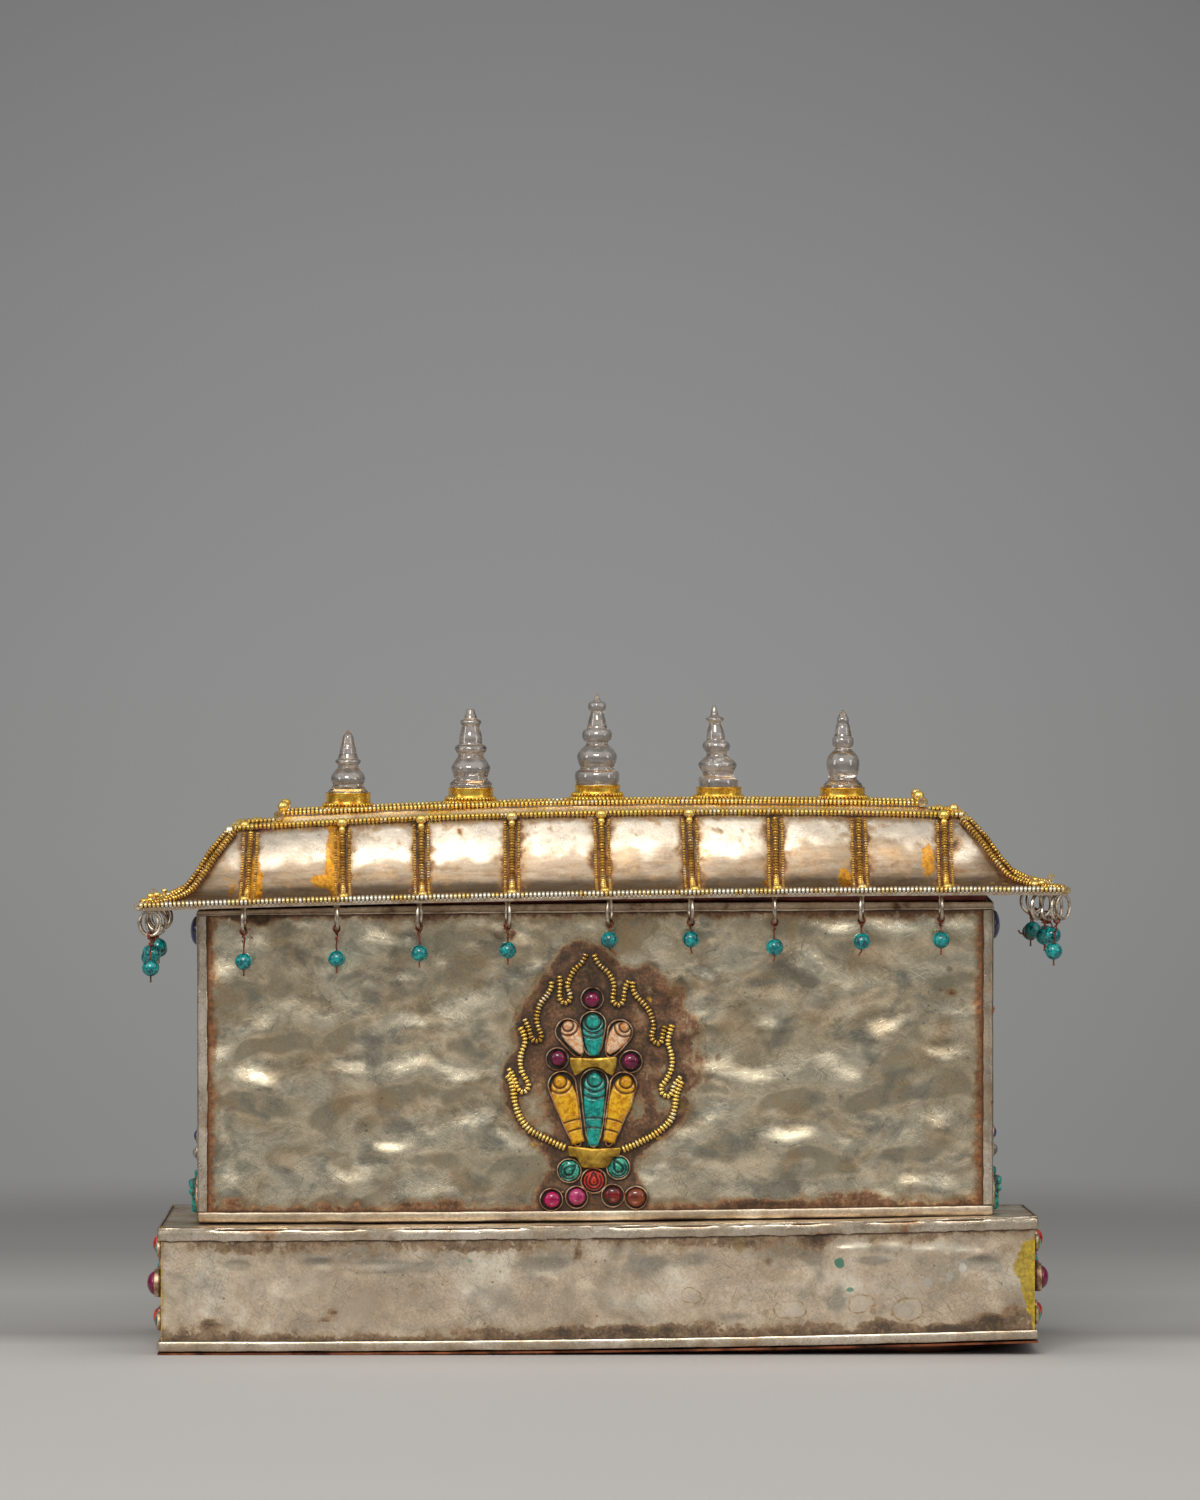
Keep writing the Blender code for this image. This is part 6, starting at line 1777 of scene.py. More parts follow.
def make_knobs():
    """Cast knobs soldered where ribs and wires meet."""
    part = Part()
    for k, run in enumerate(FRONT_RIBS):
        for side in ((0, 2) if k % 2 == 0 else (0,)):
            line = (lambda o, run=run, side=side: rib_share(side, run, o))
            low, _ = slope_line(side, line, np.array([0.93, 0.955, 0.98]), 0, 1.5)
            part.add(ball(low[1] + (0, 0, 0.2), (1.5, 1.3, 0.85), 14, 7), neck=0.0)
            if k not in (0, 6, 7) or side == 2:
                high, _ = slope_line(side, line, np.array([0.01, 0.03, 0.05]), 0, 1.5)
                h = high[1] + (0, 0.5 if side else -0.5, 0.85)
                part.add(ball(h + (0, 0, 0.1), (1.65, 1.5, 1.5), 16, 9), neck=0.0)
                part.add(ball(h + (0, 0, -2.0), (1.05, 1.0, 1.2), 12, 7), neck=0.2)
    for side in (1, 3):
        for run in ALL_RIBS[side]:
            line = (lambda o, run=run, side=side: rib_share(side, run, o))
            low, _ = slope_line(side, line, np.array([0.93, 0.955, 0.98]), 0, 1.5)
            high, _ = slope_line(side, line, np.array([0.04, 0.06, 0.08]), 0, 1.5)
            part.add(ball(low[1] + (0, 0, 0.2), (1.3, 1.5, 0.85), 14, 7), neck=0.0)
            part.add(ball(high[1], (1.3, 1.4, 1.35), 14, 9), neck=0.0)

    # clusters at the corners of the eave, the slope's top and the deck
    def corner(px, py, r, y, flat=1.0, back=False):
        f = 2950.0 / (2950.0 + y + 48.0)
        x = (px - 600) * 0.3 / f - 0.75
        z = 263 - (py - 480) * 0.3 / f
        part.add(ball((x, y, z), (r, r, r * flat), 14, 8), neck=0.0)
        if back:
            part.add(ball((x, -y, z - 2.5 * (y < -40)), (r, r, r * flat), 12, 6), neck=0.0)

    for px, py, r in ((143.7, 900, 1.3), (150, 894.5, 1.1), (150, 898.5, 1.0), (156.5, 893.3, 1.1),
                      (1035, 882.5, 1.2), (1042, 881.5, 1.1), (1044, 886.5, 1.1),
                      (1052.6, 885, 1.2), (1062, 887, 1.2)):
        corner(px, py + 1.5, r, -48.0, 0.8, px in (150, 1052.6))
    for px, py, r in ((230, 831, 1.8), (236, 829, 1.5), (244.4, 825.4, 1.5), (250.8, 828.4, 1.2),
                      (943.5, 814.5, 1.6), (954, 808.5, 1.5), (956, 815, 1.4), (963, 820, 1.3)):
        corner(px, py, r, -23.0, 1.0, px in (236, 956))
    for px, py, r in ((283, 806.5, 1.7), (919, 796, 1.7)):
        corner(px, py, r, -12.0, 1.0, True)
    part.build("cast_knobs", [GILT_WIRE], "gilt")

    # the deck wire's ends: short upright cylinders with a dished face
    ends = Part()
    for px, py in ((278.8, 815.5), (922.8, 801.7)):
        f = 2950.0 / (2950.0 + 36.0)
        x = (px - 600) * 0.3 / f - 0.75
        z = 263 - (py - 480) * 0.3 / f
        for sy in (-1, 1):
            prof = ((0.02, 0.9), (0.65, 0.9), (0.85, 1.3), (1.4, 1.35), (1.55, 1.1), (1.55, -1.0),
                    (0.4, -1.1), (0.02, -1.1))
            prof = [(r, h * -sy * -1) for r, h in prof]
            ends.add(turned(prof, 20, (x, sy * 12.6, z), axis="y"), neck=0.0)
    # silver end discs of the eave wire at the corners
    for sx in (-1, 1):
        for sy in (-1, 1):
            x = sx * 139.3
            z = float(eave_wire_z(x)) - 0.55
            prof = ((0.02, 0.75), (0.45, 0.75), (0.6, 1.0), (0.95, 1.0), (1.15, 0.7),
                    (1.15, -1.2), (0.02, -1.2))
            ends.add(turned([(r, h * sy) for r, h in prof], 20, (x, sy * 51.3, z), axis="y"),
                     neck=0.0)
    ends.build("wire_ends", [gilt("pale_wire_end", lin(226, 210, 176), lin(196, 168, 118),
                                  lin(232, 222, 204), wear=0.6)], "gilt")


# ---------------------------------------------------------------------------
# finials
# ---------------------------------------------------------------------------
# outlines in the picture's steps: (height mark, full width)
TURNINGS = (
    (347.9, ((730, 1.5), (733, 6), (736, 10.5), (741, 12), (746, 14), (748, 16), (753, 17),
             (757, 19.5), (759, 21), (760, 25), (762, 26), (763.6, 24), (765, 20.5), (767, 20),
             (770, 25), (774, 32), (779, 35), (782, 33.5), (785, 30), (788, 34), (791, 39.6),
             (793, 41), (800, 40))),
    (470.5, ((709, 6), (710, 8), (713, 9), (716, 12), (719, 13), (720, 20), (722, 21.6),
             (724, 20), (725.5, 17.5), (728, 18.5), (732, 20), (737, 23), (742, 23), (744.5, 24),
             (745.6, 30), (749, 32.6), (752, 30), (754, 25.5), (757, 25.5), (760, 31),
             (766.6, 38.9), (770, 38.9), (774, 36), (779, 33.5), (781, 36), (782.5, 41.5),
             (785, 42.4), (787, 41), (795, 40.5))),
    (597.0, ((694.4, 1.5), (697, 5), (701, 7.7), (702, 15), (704, 18), (708, 18.3), (710, 16.5),
             (711, 13), (714, 13.5), (720, 17), (726, 19), (729, 21), (730, 27), (735, 30.8),
             (740, 28), (742, 21.5), (745, 21.5), (748, 30), (753, 38), (757, 40), (761, 39),
             (765, 35.5), (768, 33.7), (770, 36), (771.5, 42), (774, 44.4), (781, 44.4),
             (783, 42), (792, 41))),
    (719.0, ((705, 1.8), (708, 4.5), (712, 7), (716, 8.5), (717, 16), (719, 18.7), (721, 17),
             (722.5, 12), (725, 12.5), (730, 16), (735, 18.3), (740, 18.5), (742, 25),
             (746, 28.5), (750, 26), (752, 20.8), (756, 21), (759, 30), (763.6, 38.8),
             (767, 38.5), (771, 33), (774, 30.8), (776.5, 34), (778, 39), (782, 40), (786, 39.5),
             (795, 40))),
    (842.8, ((710, 2.2), (713, 6), (717, 10.5), (719, 12.4), (722, 12.2), (723.5, 11.5),
             (726, 14.5), (731, 16), (737, 18), (738, 21.5), (741, 22.2), (745, 22), (747, 18),
             (750, 17.5), (751.6, 22), (755, 29), (760, 33), (765, 33.8), (770, 33), (775, 30),
             (778, 27.7), (780.5, 31), (783, 37), (785, 40), (790, 40.5), (795, 40))),
)


def make_finials():
    for i, (x, wall_lo, wall_hi, tip) in enumerate(FINIALS):
        px, marks = TURNINGS[i]
        tag = str(i + 1)
        f = 2950.0 / (2950.0 + 48.0)
        seat = wall_lo + 1.0
        prof = [(w * 0.5 * 0.3 / f, 263 - (m - 480) * 0.3 / f) for m, w in marks]
        prof = [(min(r, 6.25) if z < wall_hi + 0.4 else r, z) for r, z in prof if z > seat]
        prof.append((6.1, seat))
        prof = soften(prof[::-1], 2 if i == 0 else 1)
        prof[:, 0] = np.maximum(prof[:, 0], 0.05)
        verts, faces = turned(prof, 56, (x, 0, 0))
        lean = (-1.5 if i == 3 else 0.0) * np.clip((verts[:, 2] - wall_hi) / (tip - wall_hi), 0, 1)
        verts[:, 0] += lean
        # hand-cut: each is a little out of round
        turn = np.arctan2(verts[:, 1], verts[:, 0] - x)
        swell = 1 + 0.012 * np.sin(2 * turn + i) + 0.010 * np.sin(3 * turn + 2 * i)
        verts[:, 0] = x + lean + (verts[:, 0] - x - lean) * swell
        verts[:, 1] *= swell
        Part().add((verts, faces)).build("crystal_" + tag, [CRYSTAL], "crystal",
                                         ["crystal_finial_" + tag], sharp=60)
        # milky flaws inside
        flaw = Part()
        r = np.random.default_rng(40 + i)
        for _ in range(6):
            z = wall_hi + (tip - wall_hi) * r.uniform(0.05, 0.6)
            half = float(np.interp(z, prof[:, 1], prof[:, 0])) * 0.55
            a = r.uniform(0, 6.28)
            c = np.array([x + half * 0.5 * math.cos(a), half * 0.5 * math.sin(a), z])
            size = r.uniform(0.35, 0.8, 3) * np.array([half, half, 2.0]) * 0.6
            v, fc = ball(c, (1, 1, 1), 14, 7)
            d = (v - c) * size
            tilt = r.uniform(-0.9, 0.9)
            d = np.stack([d[:, 0] * math.cos(tilt) - d[:, 2] * math.sin(tilt), d[:, 1] * 0.35,
                          d[:, 0] * math.sin(tilt) + d[:, 2] * math.cos(tilt)], -1)
            v = c + d * (1 + 0.5 * perlin((v + i) / 0.8, 3)[:, None])
            flaw.add((v, fc))
        flaw.build("crystal_flaws_" + tag, [FLAW], "crystal")

        foot = float(deck_top(x)) + 0.35
        h = wall_lo - foot
        cup = [(5.9, wall_lo + 0.7), (6.55, wall_lo + 0.8), (6.62, wall_hi - 0.2),
               (6.7, wall_hi), (6.9, wall_hi + 0.04), (6.98, wall_hi - 0.18),
               (6.86, wall_hi - 0.5), (6.84, wall_lo + 0.5), (7.0, wall_lo + 0.1),
               (7.05, wall_lo - 0.2), (7.05, foot + h * 0.45), (7.3, foot + h * 0.4), (7.3, foot),
               (0.1, foot), (0.1, wall_lo + 0.7)]
        cup = soften(cup[:-1], 1)
        part = Part()
        a = np.arange(72) * 2 * math.pi / 72
        rings = np.stack([cup[:, 0][:, None] * np.cos(a) + x, cup[:, 0][:, None] * np.sin(a),
                          np.broadcast_to(cup[:, 1][:, None], (len(cup), 72))], -1)
        dent = 1 + 0.012 * np.sin(3 * a + i) + 0.008 * np.sin(5 * a)
        rings[..., 0] = x + (rings[..., 0] - x) * dent
        rings[..., 1] *= dent
        darkening = np.repeat(np.clip(1 - np.abs(cup[:, 1] - wall_lo) / 0.5, 0, 1) * 0.5, 72)
        part.add(capped(rings), neck=darkening)
        circle = np.stack([np.cos(a), np.sin(a), np.zeros(72)], -1)
        add_beads(part, circle * 7.30 + (x, 0, wall_lo - 0.30), 1.12, 0.64, closed=True, sides=9,
                  per=5, neck=0.30, seed=60 + i, under=0.1)
        add_beads(part, circle * 8.00 + (x, 0, max(wall_lo - 1.50, foot + 0.50)), 1.26, 0.72,
                  closed=True, sides=9, per=5, neck=0.30, seed=70 + i, under=0.1)
        part.build("cup_" + tag, [GILT_CUP], "gilt", ["finial_cup_" + tag])


# ---------------------------------------------------------------------------
# settings and stones on any face: shapes are (across, up, out) in mm
# ---------------------------------------------------------------------------
def on_front(p):
    return np.stack([p[..., 0], FACE - p[..., 2], p[..., 1]], -1)


def on_end(sign, x, p):
    """On the right (1) or left (-1) end; across is seen from outside."""
    return np.stack([x + sign * p[..., 2], sign * p[..., 0], p[..., 1]], -1)


def circle(c, r, n=48):
    a = np.arange(n) * 2 * math.pi / n
    return np.stack([c[0] + r * np.cos(a), c[1] + r * np.sin(a)], -1)


def leaf_outline(head, r, tail, w, n=72, grow=0.0):
    """Round head narrowing to a short straight tail."""
    head, tail = np.array(head, float), np.array(tail, float)
    axis = (head - tail) / np.linalg.norm(head - tail)
    side = np.array([-axis[1], axis[0]])
    r, w = r + grow, w + grow
    pts = [head + axis * r * math.cos(a) + side * r * math.sin(a)
           for a in np.radians(np.linspace(102, -102, 25))]
    pts += [tail - side * w - axis * grow * 0.5, tail + side * w - axis * grow * 0.5]
    return even(soften(np.array(pts), 2, closed=True), n, closed=True)


def bezel(part, outline, place, height=1.5, wall=0.42, base=0.30, seed=1, metal=0, cell=1):
    """A thin upright wall following an outline, with a tarnished floor."""
    n = len(outline)
    t = np.roll(outline, -1, axis=0) - np.roll(outline, 1, axis=0)
    t /= np.linalg.norm(t, axis=1)[:, None]
    out = np.stack([t[:, 1], -t[:, 0]], -1)
    if ((outline - outline.mean(0)) * out).sum() < 0:
        out = -out
    q = np.stack([outline[:, 0], outline[:, 1], np.zeros(n)], -1)
    wob = 0.16 * cloud(q, 2.6, 200 + seed, 2)
    rise = height + 0.22 * cloud(q, 4.0, 210 + seed, 2)
    rows = ((0.12, -0.25), (0.10, 0.35 * height), (0.06, 0.84), (-0.04, 0.98),
            (-wall * 0.5, 1.06), (-wall + 0.06, 0.96), (-wall - 0.04, 0.5), (-wall - 0.08, 0.0))
    rings, darkening = [], []
    for k, (off, h) in enumerate(rows):
        lift_ = h if k < 2 else base + (rise - base) * h
        pos = outline + out * (off + (wob if k > 1 else wob * 0.5))[:, None] \
            if np.ndim(wob) else outline + out * off
        rings.append(np.stack([pos[:, 0], pos[:, 1], np.broadcast_to(lift_, n)], -1))
        darkening.append(np.full(n, (0.95, 0.75, 0, 0, 0, 0.1, 0.95, 1.0)[k]))
    rings = np.array(rings)
    verts, quads = loft(rings)
    part.add((place(verts), quads), metal, groove=np.concatenate(darkening))
    floor = rings[-1]
    mid = np.broadcast_to(floor.mean(0), floor.shape)
    steps = np.array([floor * (1 - k) + mid * k for k in (0.0, 0.5, 0.96)])
    part.add((place(capped(steps, first=False)[0]), capped(steps, first=False)[1]), cell,
             groove=1.0)


def cabochon(part, c, r, place, rise=2.5, base=0.35, sides=40, rows=12, mat=0, **more):
    """A domed polished stone."""
    a = np.linspace(0.0, math.pi / 2, rows + 1)
    prof = [(r * 0.98, base)] + [(r * math.cos(t), base + 0.35 * rise + 0.65 * rise * math.sin(t))
                                 for t in a[:-1]]
    prof.append((0.03, base + rise))
    prof = np.array(prof)
    th = np.arange(sides) * 2 * math.pi / sides
    rings = np.stack([c[0] + prof[:, 0][:, None] * np.cos(th), c[1] + prof[:, 0][:, None]
                      * np.sin(th), np.broadcast_to(prof[:, 1][:, None], (len(prof), sides))], -1)
    verts, faces = capped(rings)
    part.add((place(verts), faces), mat, groove=0.0, **more)


def carved_round(part, c, r, tilt, place, kind, rise=1.9, base=0.35, n=30):
    """A round stone carved with a drop and a ring groove round it."""
    ux, uy = np.array(tilt) / np.linalg.norm(tilt)
    rho = np.linspace(0, 1, n + 1)[1:] ** 0.8
    th = np.arange(72) * 2 * math.pi / 72
    lx, ly = rho[:, None] * np.cos(th), rho[:, None] * np.sin(th)
    # local axes: v points to the drop's tip
    v = lx * ux + ly * uy
    u = lx * uy - ly * ux
    dome = np.sqrt(np.clip(1 - rho ** 2.4, 0, 1))[:, None] * np.ones_like(lx)
    drop = np.hypot(u / 0.34, np.where(v > -0.05, (v + 0.05) / 0.66, (v + 0.05) / 0.38))
    drop = drop + np.where(v > 0, np.abs(u) * v * 2.2, 0)
    ring = np.hypot(u / 0.76, (v + 0.04) / 0.80)
    g1 = np.exp(-((drop - 1.18) / 0.34) ** 2)
    g2 = np.exp(-((ring - 1.0) / 0.17) ** 2)
    if kind == "coral":
        g2 = g2 * smooth(0.75, 0.35, v)
        g3 = np.exp(-((np.hypot(u / 0.10, (v + 0.12) / 0.22)) / 0.9) ** 2)
    else:
        g2 = g2 * smooth(0.45, -0.25, v) * 0.8
        g3 = 0 * g1
    groove = np.clip(g1 + g2 + g3, 0, 1)
    edge = smooth(0.90, 1.0, rho)[:, None] * np.ones_like(lx)
    h = base + 0.35 + (rise - 0.35) * dome * 0.75 + 0.4 * np.clip(1 - drop, 0, 1) ** 0.5 \
        - 0.60 * groove * (1 - edge)
    h = np.where(rho[:, None] >= 0.999, base, h)
    rings = np.stack([c[0] + r * lx, c[1] + r * ly, h], -1)
    centre = np.array([[c[0], c[1], base + rise * 0.9]])
    verts, quads = loft(rings[::-1])
    count = len(verts)
    verts = np.vstack([verts, centre])
    tris = np.stack([np.arange(count - 72, count), np.roll(np.arange(count - 72, count), -1),
                     np.full(72, count)], -1)
    values = np.concatenate([np.maximum(groove, edge * 0.7)[::-1].ravel(), [0.0]])
    bottom = np.arange(72)[::-1]
    part.add((place(verts), [quads, tris, bottom]), 0, groove=values)


def petal(part, head, tail, place, widths, ball_at, ball_r, rings, bands, rise=2.2, base=0.35,
          rows=96, cols=26, bow=0.10):
    """A carved petal stone.  widths: (share along, half width); ball_at and
    ball_r place the bud at its head; rings are radii of the collar grooves
    round the bud; bands are shares along where cross grooves run."""
    head, tail = np.array(head, float), np.array(tail, float)
    length = np.linalg.norm(head - tail)
    axis = (tail - head) / length
    side = np.array([-axis[1], axis[0]])
    t = np.linspace(0, 1, rows + 1)
    half = monotone(*zip(*widths))(t)
    u = np.linspace(-1, 1, cols + 1)
    a = (t * length)[:, None] * np.ones_like(u)[None]
    b = half[:, None] * u[None]
    ends = np.sqrt(np.clip(np.minimum(t / 0.07, (1 - t) / 0.04), 0, 1))[:, None]
    dome = np.sqrt(np.clip(1 - np.abs(u[None]) ** 2.2, 0, 1)) * (0.25 + 0.75 * ends)
    h = base + 0.25 + (rise - 0.25) * dome * 0.82
    d = np.hypot(a - ball_at * length, b * 0.95)
    bud = np.clip(1 - (d / ball_r) ** 2, 0, 1)
    h = h + 0.75 * np.sqrt(bud)
    groove = np.zeros_like(h)
    below = smooth(-0.15 * ball_r, 0.25 * ball_r, a - ball_at * length)
    for k, r in enumerate((ball_r,) + tuple(rings)):
        cut = np.exp(-((d - r) / 0.36) ** 2) * (below if k else 1.0)
        groove = np.maximum(groove, cut)
    step = np.zeros_like(h)
    for k, at_ in enumerate(bands):
        line = a - (at_ * length + bow * b ** 2 / max(half.max(), 1e-6) * 1.6)
        groove = np.maximum(groove, np.exp(-(line / 0.36) ** 2))
        step = step + 0.26 * smooth(-0.7, 0.0, line) * smooth(1.2, 0.2, line)
    h = h + step * dome - 0.72 * groove * dome
    # painted shade: the groove value also darkens the petal towards its long edges, where its rounded sides turn
    # away from the light
    rim = np.abs(u[None]) ** 4.5 * np.ones_like(h)
    rows3 = np.stack([head[0] + axis[0] * a + side[0] * b, head[1] + axis[1] * a + side[1] * b,
                      h], -1)
    low = rows3.copy()
    low[..., 2] = base
    top_idx = np.arange((rows + 1) * (cols + 1)).reshape(rows + 1, cols + 1)
    q = np.stack([top_idx[:-1, :-1], top_idx[:-1, 1:], top_idx[1:, 1:], top_idx[1:, :-1]],
                 -1).reshape(-1, 4)
    loop = np.concatenate([top_idx[0, :], top_idx[1:, -1], top_idx[-1, -2::-1],
                           top_idx[-2:0:-1, 0]])
    verts = rows3.reshape(-1, 3)
    edge = verts[loop].copy()
    edge[:, 2] = base
    start = len(verts)
    m = len(loop)
    skirt = np.stack([loop, np.roll(loop, -1), start + (np.arange(m) + 1) % m,
                      start + np.arange(m)], -1)
    verts = np.vstack([verts, edge])
    values = np.concatenate([np.maximum(groove, rim * 0.66).ravel(), np.full(m, 0.8)])
    part.add((place(verts), [q, skirt, start + np.arange(m)]), 0, groove=values)


def plate(part, outline, place, low, high, bevel=0.25, bow=0.25, mat=0, **more):
    """A raised plate with soft edges and a slightly bowed face."""
    o = even(np.array(outline, float), 96, closed=True)
    for _ in range(2):
        o = 0.5 * o + 0.25 * (np.roll(o, 1, axis=0) + np.roll(o, -1, axis=0))
    mid = o.mean(0)
    rings = []
    for k, h in ((0.0, low), (0.0, high - bevel), (bevel * 0.4, high - bevel * 0.3),
                 (bevel, high), (1.4, high + bow * 0.4)):
        d = mid - o
        length = np.linalg.norm(d, axis=1)[:, None]
        rings.append(np.concatenate([o + d / length * np.minimum(k, length * 0.5),
                                     np.full((96, 1), h)], 1))
    verts, faces = capped(np.array(rings))
    part.add((place(verts), faces), mat, **more)


PETALS = {
    # name: head top, tail end, widths, bud place and radius, collars, bands, finish, slot
    "turquoise_petal_upper": (up(703, 480), up(718, 968),
                              ((0, .3), (.05, 1.7), (.14, 2.7), (.28, 3.25), (.45, 3.3),
                               (.62, 3.0), (1, 1.7)), 0.205, 2.35, (3.45, 4.95), (), TURQUOISE,
                              "turquoise"),
    "shell_petal_left": (up(398, 572), up(580, 945),
                         ((0, .3), (.06, 1.5), (.16, 2.5), (.30, 3.1), (.45, 3.0), (.7, 2.2),
                          (1, .7)), 0.15, 1.6, (2.9,), (), SHELL, "shell"),
    "shell_petal_right": (up(1092, 590), up(875, 940),
                          ((0, .3), (.06, 1.4), (.16, 2.4), (.30, 3.1), (.45, 3.1), (.7, 2.4),
                           (1, .8)), 0.15, 1.5, (2.9,), (), SHELL, "shell"),
    "turquoise_petal_lower": (at(598, 200), at(583, 895),
                              ((0, .3), (.04, 1.7), (.10, 2.7), (.2, 3.3), (.4, 3.3), (.62, 2.8),
                               (.8, 2.3), (1, 1.7)), 0.11, 2.15, (3.7, 5.6), (.615, .745),
                              TURQUOISE, "turquoise"),
    "yellow_petal_left": (at(256, 232), at(446, 868),
                          ((0, .3), (.04, 1.5), (.10, 2.6), (.2, 3.5), (.38, 3.85), (.62, 3.0),
                           (.8, 2.4), (1, 2.05)), 0.10, 1.95, (3.5,), (.665, .80), YELLOW,
                          "yellow_stone"),
    "yellow_petal_right": (at(906, 235), at(726, 862),
                           ((0, .3), (.04, 1.5), (.10, 2.6), (.2, 3.5), (.38, 3.8), (.62, 2.9),
                            (.8, 2.3), (1, 1.9)), 0.10, 1.9, (3.5,), (.665, .82), YELLOW,
                           "yellow_stone"),
}


def make_emblem():
    settings = Part()
    k = 0
    for name, (head, r, tail, w) in LEAF_BEZELS.items():
        bezel(settings, leaf_outline(head, r, tail, w), on_front, height=1.55, seed=k)
        k += 1
    for name, (c, r, sc, sr, finish, slot) in ROUND_STONES.items():
        bezel(settings, circle(c, r, 56), on_front, height=1.45, seed=k, wall=0.36)
        k += 1
    for name, (c, r, sr, tilt, finish, slot) in CARVED_ROUNDS.items():
        bezel(settings, circle(c, r, 60), on_front, height=1.4, seed=k)
        k += 1
    # lumps of solder between neighbours
    for (u, v, r) in ((305, 1190, 26), (240, 1115, 12), (560, 1150, 20), (650, 1150, 20),
                      (300, 1320, 16), (560, 1330, 22), (640, 1330, 20), (870, 1340, 14)):
        x, z = at(u, v)
        settings.add((on_front(ball((x, z, 0.35), (r * S_AT, r * S_AT * 0.8, 0.5), 12, 6)[0]),
                      ball((x, z, 0.35), (1, 1, 1), 12, 6)[1]), 0, groove=0.6)
    settings.build("emblem_bezels", [BEZEL, CELL], "silver", ["emblem_setting"], sharp=45)

    for name, (head, tail, widths, ba, br, collars, bands, finish, slot) in PETALS.items():
        part = Part()
        petal(part, head, tail, on_front, widths, ba, br, collars, bands)
        part.build("carved_" + name, [finish], slot, [name], sharp=70)
    for name, (c, r, sc, sr, finish, slot) in ROUND_STONES.items():
        part = Part()
        cabochon(part, sc, sr, on_front, rise=2.25)
        part.build("set_" + name, [finish], slot, [name], sharp=70)
    for name, (c, r, sr, tilt, finish, slot) in CARVED_ROUNDS.items():
        part = Part()
        carved_round(part, c, sr, tilt, on_front, slot)
        part.build("carved_" + name, [finish], slot, [name], sharp=70)

    band = Part()
    arch = [up(500 + 420 * t, 1195 - 104 * math.sin(math.pi * t) ** 0.75)
            for t in np.linspace(0, 1, 13)]
    plate(band, [up(440, 985), up(448, 1060)] + arch + [up(965, 1100), up(975, 975),
                                                       up(710, 992)], on_front, 0.3, 2.15)
    band.build("upper_gilt_band", [BAND], "gilt", ["gilt_band_upper"], sharp=60)
    band = Part()
    plate(band, [at(345, 888), at(358, 985), at(430, 992), at(482, 1092), at(712, 1092),
                 at(768, 996), at(824, 982), at(842, 905), at(590, 914)], on_front, 0.3, 2.3)
    band.build("lower_gilt_band", [BAND], "gilt", ["gilt_band_lower"], sharp=60)

    for side, runs in flame_paths.items():
        part = Part()
        for k, run in enumerate(runs):
            y = FACE - 0.86 - 0.05 * (k % 2)
            path = np.stack([run[:, 0], np.full(len(run), y), run[:, 1]], -1)
            # the lowest run has larger beads than the rest
            add_beads(part, path, 1.12, 1.00 if k < 3 else 1.12, 0 if k < 2 else 1,
                      ref=(0, -1, 0), sides=10, per=5, flat=(1.0, 0.8), neck=0.30,
                      seed=80 + k, uneven=0.07, under=0.0)
        part.build("flame_beads_" + side, [GILT_FLAME, GILT_WIRE], "gilt", ["flame_wires_" + side])


